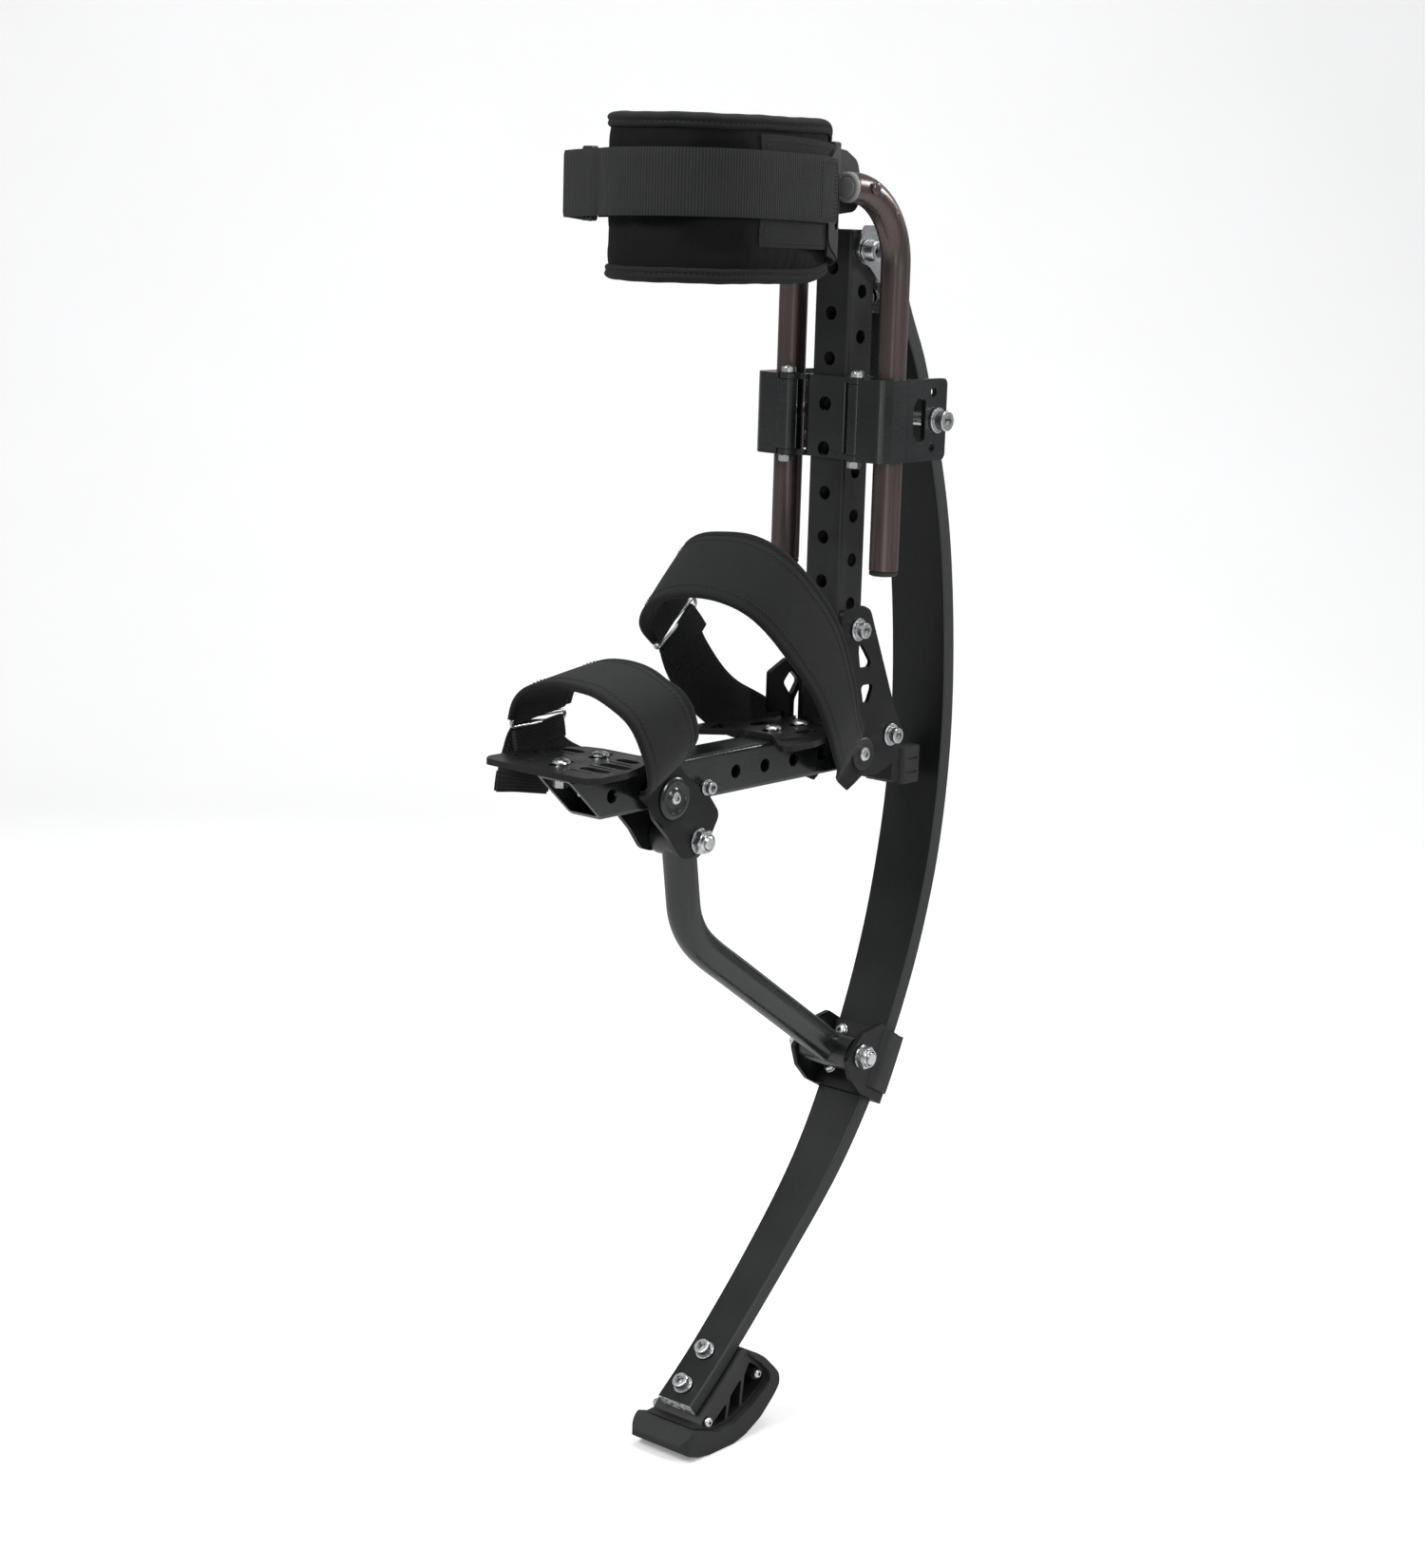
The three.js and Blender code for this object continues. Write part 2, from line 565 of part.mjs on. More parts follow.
// Left lightening slots: x and y of one end, x and y of the other, radius
const TOE_SLOTS = [[122, 21, 122, 31, 4.5], [142, 24, 142, 41, 5], [162, 24, 162, 40, 5]];
const HEEL_SLOTS = [[-42, 34, -56, 38, 4.5], [-74, 22, -86, 22, 5]];
// Guard ear on the heel plate: x, z
const HEEL_EAR = [
  [-127, SOLE_Z0], [-127, 562], [-134, 572], [-138, 584], [-133, 592], [-118, 596], [-98, 587],
  [-97, 586], [-97, 558], [-99, 555], [-114, 555], [-116, 553], [-116, SOLE_Z0],
];
const HEEL_EAR_WINDOW = [[-113, 577], [-122, 586], [-132, 577], [-123, 565]];

// lightening slots on both sides, and a travel slot along the middle for each bolt
function soleSlots(leftSlots, boltXs) {
  const outlines = [
    ...SIDES.flatMap(([, side]) => leftSlots.map(([x0, y0, x1, y1, radius]) =>
      slot(x0, side * y0, x1, side * y1, radius))),
    ...boltXs.map((x) => slot(x - PLATE_SLIDE, 0, x + PLATE_SLIDE, 0, 3.6)),
  ];
  return outlines.map((outline) => prismZ(outline, 535, 575));
}

function toePlate() {
  const plate = prismZ(mirrored(TOE_HALF), SOLE_Z0 + TOE_LIFT, SOLE_Z1 + TOE_LIFT);
  const boss = prismZ(roundRect(106, 168, -14, 14, 4), SOLE_Z0, SOLE_Z0 + TOE_LIFT + 1);
  return cut(plate.add(boss), ...soleSlots(TOE_SLOTS, TOE_BOLTS));
}

// notched front edge, tapered rear wings, and one upright guard ear on the right wing
function heelPlate() {
  const plate = prismZ(mirrored(HEEL_HALF), SOLE_Z0, SOLE_Z1);
  const ear = cut(prismY(HEEL_EAR, -32, -28), windowY(HEEL_EAR_WINDOW));
  return cut(plate, ...soleSlots(HEEL_SLOTS, HEEL_BOLTS)).add(ear);
}

function soleBolt(x, lift) {
  const seat = SOLE_Z1 + GAP + lift;
  const up = [0, 0, 1];
  return sum(
    rod(3, BEAM_Z1 - WALL - 5, seat + 1, [x, 0, 0], up, 8),
    turned([[seat, 6.5], [seat + 1.4, 6.5], [seat + 2.8, 4.2]], [x, 0, 0], up, 12),
    hexPrism([x, 0, BEAM_Z1 - WALL - GAP - 5], up, 5, 10));
}

put('toe_plate', toePlate(), FINISH.black);
put('heel_plate', heelPlate(), FINISH.black);
for (const [plate, [frontX, rearX], lift] of [['toe', TOE_BOLTS, TOE_LIFT], ['heel', HEEL_BOLTS, 0]]) {
  put(`${plate}_plate_bolt_front`, soleBolt(frontX, lift), FINISH.zinc);
  put(`${plate}_plate_bolt_rear`, soleBolt(rearX, lift), FINISH.zinc);
}

// ---------------------------------------------------------------- front yoke
// x, z
const YOKE = [
  [88, 540], [58, 538], [26, 515], [14, 500], [22, 487], [44, 470], [58, 474], [70, 490],
  [86, 506], [92, 524],
];
for (const [sideName, side] of SIDES) {
  const plate = cut(
    prismY(YOKE, ...sideSpan(side, YOKE_Y0, YOKE_Y1)),
    holeY(ROD_TOP, 5.4, 12),
    holeY(YOKE_BOLT, 3.6),
    holeY(TOE_PIVOT, 4.4));
  put(`front_yoke_${sideName}`, plate, FINISH.black);
}
put('yoke_rear_bolt', crossBolt(YOKE_BOLT, 3, YOKE_Y1 + GAP, { washer: 6 }), FINISH.zinc);
put('push_rod_upper_bolt', crossBolt(ROD_TOP, 5, YOKE_Y1 + GAP,
  { washer: 10, washerWall: 1.8, head: 'hex' }), FINISH.zinc);

// ---------------------------------------------------------------- push rod
// centre line, x, z
const PUSH_ROD = [
  ROD_TOP, [30, 436], [27.8, 424], [22, 411], [13, 399.5], [2, 390], [-60, 347], [-118, 307],
  ROD_LOW,
];
function pushRod() {
  return cut(
    sum(
      bar(PUSH_ROD.map(([x, z]) => vec(x, 0, z)), 12.7, 14),
      cylY(ROD_TOP, 15, -15.2, 15.2, 18),
      cylY(ROD_LOW, 14, -23.6, 23.6, 18)),
    holeY(ROD_TOP, 6.4, 14),
    holeY(ROD_LOW, 7.4, 14));
}
put('push_rod', pushRod(), FINISH.black);
put('push_rod_lower_bush', cut(cylY(ROD_LOW, 7, -24, 24, 14), holeY(ROD_LOW, 5.4, 14)),
  FINISH.plastic);

put('ankle_pivot_bolt', crossBolt(ANKLE, 5, ANKLE_PLATE_Y1 + GAP + 3.5,
  { washer: 9, head: 'button' }), FINISH.zinc);

// ---------------------------------------------------------------- leaf spring
// rear face: z, x
const LEAF_BACK = [
  [889, -176], [866, -184], [830, -203], [785, -220], [749, -232], [693, -247], [641, -255.5],
  [588, -260.5], [535, -262], [482, -259], [441, -253.5], [396, -244], [347, -229.5],
  [291, -207], [239, -180.5], [182, -142], [139, -103], [102, -66], [71, -33], [49, -8], [29, 17],
];
// z, half width
const LEAF_HALF_WIDTH = [
  [900, 25], [860, 26], [420, 26], [347, 25], [291, 24], [239, 22.5], [182, 20], [139, 18],
  [102, 17], [60, 16.5], [-20, 16.5],
];
// z, thickness
const LEAF_THICKNESS = [[900, 13.5], [300, 13.5], [180, 12.5], [60, 12], [20, 12]];
const LEAF_STEPS = 26;

function thicknessAt(z) {
  for (let i = 0; i < LEAF_THICKNESS.length - 1; i++) {
    const [z0, value0] = LEAF_THICKNESS[i];
    const [z1, value1] = LEAF_THICKNESS[i + 1];
    if ((z - z0) * (z - z1) <= 0) return value0 + ((value1 - value0) * (z - z0)) / (z1 - z0);
  }
  return LEAF_THICKNESS[LEAF_THICKNESS.length - 1][1];
}

const leafCurve = new THREE.CatmullRomCurve3(LEAF_BACK.map(([z, x]) => vec(x, 0, z)));

// point on the rear face at a fraction of its length, with forward normal and thickness
function leafSection(fraction) {
  const point = leafCurve.getPointAt(fraction);
  const tangent = leafCurve.getTangentAt(fraction);
  return { point, forward: [-tangent.z, 0, tangent.x], thickness: thicknessAt(point.z) };
}

// both faces run from top to bottom: x, z
const leafRear = [];
const leafFront = [];
for (let i = 0; i <= LEAF_STEPS; i++) {
  const { point, forward, thickness } = leafSection(i / LEAF_STEPS);
  leafRear.push([point.x, point.z]);
  leafFront.push([point.x + forward[0] * thickness, point.z + forward[2] * thickness]);
}

// middle of the leaf, its forward normal and half thickness, at a height on the rear face
function leafAt(height) {
  let low = 0, high = 1;
  for (let i = 0; i < 40; i++) {
    const middle = (low + high) / 2;
    if (leafCurve.getPointAt(middle).z > height) low = middle;
    else high = middle;
  }
  const { point, forward, thickness } = leafSection(low);
  const half = thickness / 2;
  return { centre: [point.x + forward[0] * half, 0, point.z + forward[2] * half], forward, half };
}

const TOP_JOINT = leafAt(877);
const HOOF_JOINTS = [leafAt(59), leafAt(38)];    // upper, lower
const CLAMP_BOLT_Y = 14;
const CLAMP_JOINTS = [['upper', 279], ['lower', 252]].flatMap(([level, height]) =>
  SIDES.map(([sideName, side]) => {
    const { centre: [x, , z], forward, half } = leafAt(height);
    return { name: `${level}_${sideName}`, centre: [x, side * CLAMP_BOLT_Y, z], forward, half };
  }));

// hole square through the leaf at a joint
const jointHole = ({ centre, forward }, radius, segments, from = -40, to = 40) =>
  rod(radius, from, to, centre, forward, segments);

function leafSpring() {
  const profile = prismY([...leafRear, ...leafFront.slice().reverse()], -27, 27);
  const widths = [
    ...LEAF_HALF_WIDTH.map(([z, half]) => [-half, z]),
    ...LEAF_HALF_WIDTH.map(([z, half]) => [half, z]).reverse(),
  ];
  return cut(
    profile.intersect(prismX(widths, -400, 200)),
    ...[TOP_JOINT, ...HOOF_JOINTS].map((joint) => jointHole(joint, 4.5, 16)),
    ...CLAMP_JOINTS.map((joint) => jointHole(joint, 3.5, 16)));
}
put('leaf_spring', leafSpring(), FINISH.laminate);

// copy of a top-to-bottom face line, moved forward by a distance, or back if it is negative
function offsetLine(points, distance) {
  return points.map(([x, z], i) => {
    const before = points[Math.max(0, i - 1)];
    const after = points[Math.min(points.length - 1, i + 1)];
    const stepX = after[0] - before[0];
    const stepZ = after[1] - before[1];
    const length = Math.hypot(stepX, stepZ);
    return [x - (stepZ / length) * distance, z + (stepX / length) * distance];
  });
}

const between = (points, z0, z1) => points.filter(([, z]) => z >= z0 && z <= z1);

// layer that follows a face line between two offsets
const layer = (line, near, far, half) =>
  prismY([...offsetLine(line, near), ...offsetLine(line, far).reverse()], -half, half);

// ---------------------------------------------------------------- spring top hinge
const HINGE_HALF = 19.9, HINGE_GAP = 0.4;
const HINGE_SLOPE = [-0.3285, -0.9445];   // x, z of the unit vector down the web

// web flat on the front of the leaf, and a cheek on each side of the upright
function springTopBracket() {
  const [slopeX, slopeZ] = HINGE_SLOPE;
  const [topX, topZ] = leafFront[0];
  const onWeb = (down, out) =>
    [topX + slopeX * down - slopeZ * out, topZ + slopeZ * down + slopeX * out];
  const rearEdge = [onWeb(-1, HINGE_GAP), onWeb(27, HINGE_GAP)];
  const cheek = [
    ...rearEdge, onWeb(27, 5), [-152, 882], [-139, 894], [-130, 896.5], [-124.5, 905],
    [-127, 913], [-134, 924], [-145, 924], [-152, 912],
  ];
  return cut(
    sum(
      prismY([...rearEdge, onWeb(27, 3.4), onWeb(-1, 3.4)], -HINGE_HALF, HINGE_HALF),
      ...SIDES.map(([, side]) =>
        prismY(cheek, ...sideSpan(side, UP_HALF + HINGE_GAP, HINGE_HALF)))),
    holeY(TOP_PIVOT, 5.6, 12),
    jointHole(TOP_JOINT, 4.5, 16));
}
put('spring_top_bracket', springTopBracket(), FINISH.zinc);

// head behind the leaf, nut in front of the web
const rearward = TOP_JOINT.forward.map((value) => -value);
put('spring_top_bolt', bolt(TOP_JOINT.centre, rearward, 4, TOP_JOINT.half + 1.5,
  { washer: 7.2, nutGrip: TOP_JOINT.half + 4.6, washerWall: 1.2 }), FINISH.zinc);
put('top_pivot_bolt', crossBolt(TOP_PIVOT, 5, HINGE_HALF + HINGE_GAP,
  { washer: 9, washerWall: 1.5 }), FINISH.zinc);

// ---------------------------------------------------------------- lower spring clamp
const CLAMP_CHEEK_Y0 = 24.7, CLAMP_CHEEK_Y1 = 28.6;

// plate behind the leaf, with cheeks that reach forward to the push rod
function springClampBracket() {
  const line = between(leafRear, 236, 290);
  const outer = offsetLine(line, -4.4);
  const cheek = [
    outer[0], [-182, 302], [-158, 299], [-138, 281], [-144, 264], [-157, 250],
    outer[outer.length - 1],
  ];
  return cut(
    sum(
      layer(line, -0.35, -4.4, CLAMP_CHEEK_Y1),
      ...SIDES.map(([, side]) =>
        prismY(cheek, ...sideSpan(side, CLAMP_CHEEK_Y0, CLAMP_CHEEK_Y1)))),
    holeY(ROD_LOW, 5.4, 12),
    ...CLAMP_JOINTS.map((joint) => jointHole(joint, 3.5, 12, -40, 0)));
}

const springClampPlate = () => cut(
  layer(between(leafFront, 243, 296), 0.35, 3.9, 24.3),
  ...CLAMP_JOINTS.map((joint) => jointHole(joint, 3.5, 12, 0, 40)));

put('spring_clamp_bracket', springClampBracket(), FINISH.black);
put('spring_clamp_plate', springClampPlate(), FINISH.black);
for (const { name, centre, forward, half } of CLAMP_JOINTS) {
  put(`spring_clamp_bolt_${name}`, bolt(centre, forward, 3, half + 4.5,
    { washer: 5.8, washerWall: 1.1, head: 'button', nutGrip: half + 5.1 }), FINISH.zinc);
}
put('push_rod_lower_bolt', crossBolt(ROD_LOW, 5, CLAMP_CHEEK_Y1 + GAP,
  { washer: 9.5, washerWall: 1.8, head: 'hex' }), FINISH.zinc);

// ---------------------------------------------------------------- hoof
// x, z: round the sole from front to rear, then back along the inside
const TREAD = [
  [47, 13], [39, 6], [28, 2.2], [14, 0], [-14, 0], [-28, 3.2], [-46, 12], [-62, 26],
  [-68, 33], [-67, 41], [-60, 48],
  [-53, 42], [-50, 34], [-34, 24.5], [-15, 16.5], [6, 15.5], [33, 25],
];
const CORE_FRONT = [[29, 24.4], [20, 24.8]];
const CORE_REAR_AND_UNDERSIDE = [
  [-38, 65], [-47, 58.5], [-58, 48.2], [-52.6, 42.4], [-49.6, 34.6], [-33.7, 24.9],
  [-14.9, 16.9], [5.9, 15.9],
];
const CORE_WINDOWS = [
  [[-46, 47], [-44, 38], [-30, 31], [-27, 50], [-36, 57]],
  [[-19, 47], [-21, 27], [-12, 22], [1, 21.5], [1, 30]],
];
const HOOF_BOLT = [13, 25];

// fills the space between the tread and the rear face of the leaf
function hoofCore() {
  const underLeaf = offsetLine(between(leafRear, 26, 70), -0.4).reverse();
  return cut(
    prismY([...CORE_FRONT, ...underLeaf, ...CORE_REAR_AND_UNDERSIDE], -24, 24),
    ...CORE_WINDOWS.map(windowY),
    ...HOOF_JOINTS.map((joint) => jointHole(joint, 4.4, 12, -24, 0)),
    holeY(HOOF_BOLT, 2.7, 12),
    holeY([-50.5, 43.5], 2, 12));
}
put('hoof_tread', prismY(TREAD, -HOOF_HALF, HOOF_HALF), FINISH.rubber);
put('hoof_core', hoofCore(), FINISH.plastic);
[['upper', 18], ['lower', 11]].forEach(([level, depth], i) => {
  const { centre, forward, half } = HOOF_JOINTS[i];
  put(`hoof_bolt_${level}`, bolt(centre, forward, 4, half + 0.7,
    { washer: 7.6, nut: false, nutGrip: depth }), FINISH.zinc);
});
put('hoof_cross_bolt_front', crossBolt(HOOF_BOLT, 2.3, 24.3,
  { washer: 3.4, washerWall: 0.8, head: 'button' }), FINISH.zinc);

// ---------------------------------------------------------------- straps
// Stations are [x, y, z, width, tilt] as in strip(). Each pad starts at the left pivot and
// crosses over the foot to a ring on the right; the webbing runs from the ring to the right pivot.
const PAD_THICK = 3.2, WEB_THICK = 3, RING_THICK = 2.6;

// rectangular ring: one flat strip with a smaller one cut out of it
const ring = (outer, inner, tilt) =>
  cut(strip(outer, RING_THICK, tilt), strip(inner, 8, tilt));

const HEEL_TILT = 135;
const HEEL_Y = ANKLE_PLATE_Y1 + GAP + 1.6;   // strap centre beside the ankle plate
const HEEL_PAD = [
  [-139, HEEL_Y, 497, 10], [-142, HEEL_Y, 515, 40], [-134.3, HEEL_Y, 522.7, 42],
  [-125.5, 30, 529, 41], [-116, 37, 536, 40], [-105, 42.5, 545, 40], [-95, 47.5, 555, 40],
  [-84, 51.5, 571, 42], [-68, 54, 597, 47], [-49, 56, 621, 54], [-27, 56, 643, 56],
  [-5, 53.5, 663, 56], [11, 46, 676, 57], [20, 34, 683, 58], [26, 16, 685, 58],
  [27, -4, 683, 60], [23, -22, 677, 62], [15, -38, 667, 63], [4, -50, 653, 62],
  [-6, -55.5, 643, 59], [-15, -57.4, 634.5, 56],
];
const HEEL_WEB = [
  [-24, -59, 621.5, 48], [-31, -58.8, 606, 48], [-44, -57.5, 588, 47], [-60, -56, 572, 45],
  [-78, -53, 559, 43], [-95, -48.5, 551, 41], [-107, -43, 544, 40], [-116.5, -37.5, 536, 40],
  [-125.5, -31, 529, 40], [-134.3, -HEEL_Y, 522.7, 40], [-142, -HEEL_Y, 515, 38],
  [-140, -HEEL_Y, 500, 16],
];
const HEEL_RING = [[-16.2, -57.6, 632.8, 56], [-22.8, -58.8, 623.4, 56]];
const HEEL_RING_OPENING = [[-17.4, -57.8, 631.1, 50], [-21.6, -58.6, 625.1, 50]];

// the heel strap swings on the ankle pivot
const ankleHole = holeY(ANKLE, 5.5, 20);
put('heel_strap_pad', cut(strip(HEEL_PAD, PAD_THICK, HEEL_TILT), ankleHole), FINISH.fabric);
put('heel_strap_web', cut(strip(HEEL_WEB, WEB_THICK, HEEL_TILT), ankleHole), FINISH.fabric);
put('heel_strap_ring', ring(HEEL_RING, HEEL_RING_OPENING, HEEL_TILT), FINISH.zinc);

const TOE_TILT = 172;
const TOE_Y = YOKE_Y1 + GAP + 1.6;           // strap centre beside the yoke
const TOE_PAD = [
  [66, TOE_Y, 501, 22, 165], [69, TOE_Y, 513, 38, 162], [74, TOE_Y, 524, 42, 158],
  [82, TOE_Y, 534.5, 43, 154], [90.5, 34, 541, 46, 152], [99, 46, 549, 50, 152],
  [106, 54, 559, 53, 158], [115, 59, 573, 54, 165], [124, 60, 587, 56, 168],
  [131, 55, 599, 56, 168], [134, 45, 606, 56, 168], [133, 30, 611, 56, 168],
  [131, 10, 613, 56, 168], [130, -12, 612, 58, 168], [129, -30, 607, 60, 169],
  [128, -43, 600, 61, 170], [127, -52, 590, 62, 172], [126, -56.5, 579, 62, 172],
];
const TOE_WEB = [
  [125, -58.2, 563, 50, 172], [121, -57.4, 554, 46, 168], [113, -54, 545, 38, 160],
  [102, -46, 538.5, 34, 152], [94, -34, 535, 34, 152], [86, -TOE_Y, 531, 35, 154],
  [75, -TOE_Y, 522.5, 38, 158], [69, -TOE_Y, 513, 36, 162], [66, -TOE_Y, 502, 22, 165],
];
// free end of the webbing, hanging outside the toe plate
const TOE_WEB_END = [
  [126, -58.4, 567, 52, 172], [130, -58.6, 556, 52, 173], [136, -58.4, 540, 52, 175],
  [139, -57.6, 521, 52, 176],
];
const TOE_RING = [[126, -57.2, 577.4, 58], [126, -58.4, 568.4, 58]];
const TOE_RING_OPENING = [[126, -57.4, 576, 52], [126, -58.2, 569.8, 52]];

// the toe strap swings on its bolt at the front yoke
const toeHole = holeY(TOE_PIVOT, 4.5, 20);
const toeWeb = sum(strip(TOE_WEB, WEB_THICK), strip(TOE_WEB_END, WEB_THICK));
put('toe_strap_pad', cut(strip(TOE_PAD, PAD_THICK), toeHole), FINISH.fabric);
put('toe_strap_web', cut(toeWeb, toeHole), FINISH.fabric);
put('toe_strap_ring', ring(TOE_RING, TOE_RING_OPENING, TOE_TILT), FINISH.zinc);
put('toe_strap_bolt', crossBolt(TOE_PIVOT, 4, YOKE_Y1 + GAP + 3.5,
  { washer: 14.5, washerWall: 1.8, head: 'button' }), FINISH.zinc);

export default group;
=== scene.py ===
"""A jumping stilt: a foot beam and an upright, a padded knee cuff on two rods, and a bowed
leaf spring behind them that carries a rubber hoof.

It stands on the ground at z = 0, with x forward, y to the wearer's left and z up.
Shapes are given in millimetres, and mesh_object turns them into metres.
"""
import bpy
import bmesh
import json
import numpy as np
from contextlib import contextmanager
from math import atan2, copysign, cos, exp, hypot, pi, radians, sin, sqrt, tan, tau
from mathutils import Matrix, Vector

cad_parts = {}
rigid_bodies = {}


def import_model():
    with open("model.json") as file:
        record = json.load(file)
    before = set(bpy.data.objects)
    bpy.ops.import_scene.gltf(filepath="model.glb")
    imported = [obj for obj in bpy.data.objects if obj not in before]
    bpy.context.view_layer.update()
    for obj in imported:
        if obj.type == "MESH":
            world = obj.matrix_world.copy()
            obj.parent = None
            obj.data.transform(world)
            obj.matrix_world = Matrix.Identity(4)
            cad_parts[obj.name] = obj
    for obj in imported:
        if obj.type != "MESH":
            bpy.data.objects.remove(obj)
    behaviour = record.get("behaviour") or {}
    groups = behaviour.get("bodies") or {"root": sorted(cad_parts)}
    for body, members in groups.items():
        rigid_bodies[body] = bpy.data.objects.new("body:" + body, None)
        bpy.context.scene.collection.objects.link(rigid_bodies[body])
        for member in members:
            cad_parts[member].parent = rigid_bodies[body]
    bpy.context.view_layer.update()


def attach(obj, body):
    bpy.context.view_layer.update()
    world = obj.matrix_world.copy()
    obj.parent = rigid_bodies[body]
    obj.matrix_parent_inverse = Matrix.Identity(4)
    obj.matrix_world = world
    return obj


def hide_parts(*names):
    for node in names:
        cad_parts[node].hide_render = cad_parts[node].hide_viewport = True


for leftover in list(bpy.data.objects):
    bpy.data.objects.remove(leftover)
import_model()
scene = bpy.context.scene
MM = 0.001
SIDES = ((1, "left"), (-1, "right"))


# ------------------------------------------------------------------ shader building
class Shader:
    """node tree of one material, round a Principled surface"""

    def __init__(self, name):
        self.material = bpy.data.materials.new(name)
        self.material.use_nodes = True
        self.tree = self.material.node_tree
        self.tree.nodes.clear()
        output = self.node("OutputMaterial")
        self.surface = self.node("BsdfPrincipled")
        self.feed(output.inputs[0], self.surface.outputs[0])

    def node(self, kind, inputs=None, **settings):
        node = self.tree.nodes.new("ShaderNode" + kind)
        for key, value in settings.items():
            setattr(node, key, value)
        for key, value in (inputs or {}).items():
            self.feed(node.inputs[key], value)
        return node

    def feed(self, socket, value):
        """links an output to the socket, or sets a plain value"""
        if isinstance(value, bpy.types.NodeSocket):
            self.tree.links.new(value, socket)
        elif isinstance(value, tuple) and socket.type == "RGBA":
            socket.default_value = (*value, 1)
        else:
            socket.default_value = value

    def coords(self, scale=(1, 1, 1)):
        source = self.node("TexCoord").outputs["Object"]
        return self.node("Mapping", {"Scale": scale, "Vector": source}).outputs[0]

    def noise(self, vector, scale, detail=3.0, rough=0.55):
        inputs = {"Scale": scale, "Detail": detail, "Roughness": rough, "Vector": vector}
        return self.node("TexNoise", inputs).outputs["Fac"]

    def remap(self, value, span, to=(0, 1)):
        inputs = {"From Min": span[0], "From Max": span[1], "To Min": to[0], "To Max": to[1],
                  "Value": value}
        return self.node("MapRange", inputs).outputs[0]

    def math(self, operation, first, second=None, clamp=False):
        inputs = {0: first} if second is None else {0: first, 1: second}
        return self.node("Math", inputs, operation=operation, use_clamp=clamp).outputs[0]

    def mix(self, amount, first, second):
        inputs = {0: amount, 6: first, 7: second}
        return self.node("Mix", inputs, data_type="RGBA").outputs[2]

    def edge_mask(self, radius):
        """1 on convex and concave edges, from a rounded normal against the true one"""
        bevel = self.node("Bevel", {"Radius": radius}, samples=4)
        geometry = self.node("NewGeometry")
        inputs = {0: bevel.outputs[0], 1: geometry.outputs["Normal"]}
        dot = self.node("VectorMath", inputs, operation="DOT_PRODUCT")
        return self.remap(dot.outputs["Value"], span=(0.80, 0.985), to=(1.0, 0.0))

    def finish(self, color, roughness, height, depth, inputs=None):
        """feeds the surface; height is raised into a bump of the given depth in metres"""
        bump = self.node("Bump", {"Distance": depth, "Height": height}).outputs[0]
        values = {"Base Color": color, "Roughness": roughness, "Normal": bump, **(inputs or {})}
        for key, value in values.items():
            self.feed(self.surface.inputs[key], value)
        return self.material


def tint(color, gain, lift=0.0):
    return tuple(min(1, x * gain + lift) for x in color)


def around(value, below, above):
    return value - below, value + above


# ------------------------------------------------------------------ materials
def coated_metal(name, base, rough, wear, spec, grain=0.00004, fine=2600):
    """dark coat, scratched and worn pale along the edges; fine is the scale of its grain"""
    shader = Shader(name)
    place = shader.coords()
    broad = shader.noise(place, scale=26, detail=4)
    fine_grain = shader.noise(place, scale=fine, detail=2)
    scratches = shader.noise(shader.coords((40, 40, 900)), scale=1.3)
    color = shader.mix(shader.remap(broad, span=(0.35, 0.68)), tint(base, gain=0.82),
                       tint(base, gain=1.25, lift=0.002))
    edges = shader.edge_mask(radius=0.0007)
    patches = shader.remap(shader.noise(place, scale=180), span=(0.42, 0.62), to=(0.15, 1.0))
    edges = shader.math("MULTIPLY", edges, patches)
    edges = shader.math("MULTIPLY", edges, wear, clamp=True)
    bare_metal = (0.16, 0.16, 0.165)
    color = shader.mix(edges, color, bare_metal)
    roughness = shader.remap(broad, span=(0.3, 0.7), to=around(rough, below=0.05, above=0.07))
    roughness = shader.math("ADD", roughness,
                            shader.remap(scratches, span=(0.35, 0.65), to=(-0.03, 0.05)))
    return shader.finish(color, roughness, fine_grain, depth=grain,
                         inputs={"Specular IOR Level": spec, "Coat Roughness": 0.25})


def zinc(name, base=(0.80, 0.81, 0.82), rough=0.24):
    """bright plating, dull in spots, with painted shade that darkens its crevices"""
    shader = Shader(name)
    place = shader.coords()
    broad = shader.noise(place, scale=90, detail=4)
    mottle = shader.noise(shader.coords((260, 260, 260)), scale=4, detail=4)
    color = shader.mix(shader.remap(broad, span=(0.3, 0.7)), tint(base, gain=0.8), base)
    spots = shader.noise(place, scale=420, detail=2)
    dull_spot = (0.36, 0.36, 0.35)
    color = shader.mix(shader.remap(spots, span=(0.58, 0.75), to=(0, 0.35)), color, dull_spot)
    # painted shade: ambient occlusion darkens the colour in sockets and crevices, where shade
    # falls
    occlusion = shader.node("AmbientOcclusion", {"Distance": 0.003}, samples=8)
    crevice_shade = shader.remap(occlusion.outputs["AO"], span=(0.25, 0.70), to=(1.0, 0.0))
    crevice_shade_color = (0.015, 0.015, 0.016)
    color = shader.mix(crevice_shade, color, crevice_shade_color)
    roughness = shader.remap(mottle, span=(0.3, 0.7), to=around(rough, below=0.06, above=0.14))
    return shader.finish(color, roughness, mottle, depth=0.00003, inputs={"Metallic": 1.0})


def anodised(name, base, rough):
    """drawn alloy with fine lines along z"""
    shader = Shader(name)
    drawn = shader.noise(shader.coords((900, 900, 6)), scale=1.0, detail=4)
    broad = shader.noise(shader.coords(), scale=14)
    color = shader.mix(shader.remap(drawn, span=(0.3, 0.7)), tint(base, gain=0.86),
                       tint(base, gain=1.15))
    color = shader.mix(shader.remap(broad, span=(0.45, 0.7), to=(0, 0.4)), color,
                       tint(base, gain=0.7))
    roughness = shader.remap(drawn, span=(0.3, 0.7), to=around(rough, below=0.05, above=0.08))
    return shader.finish(color, roughness, drawn, depth=0.00002, inputs={"Metallic": 0.75})


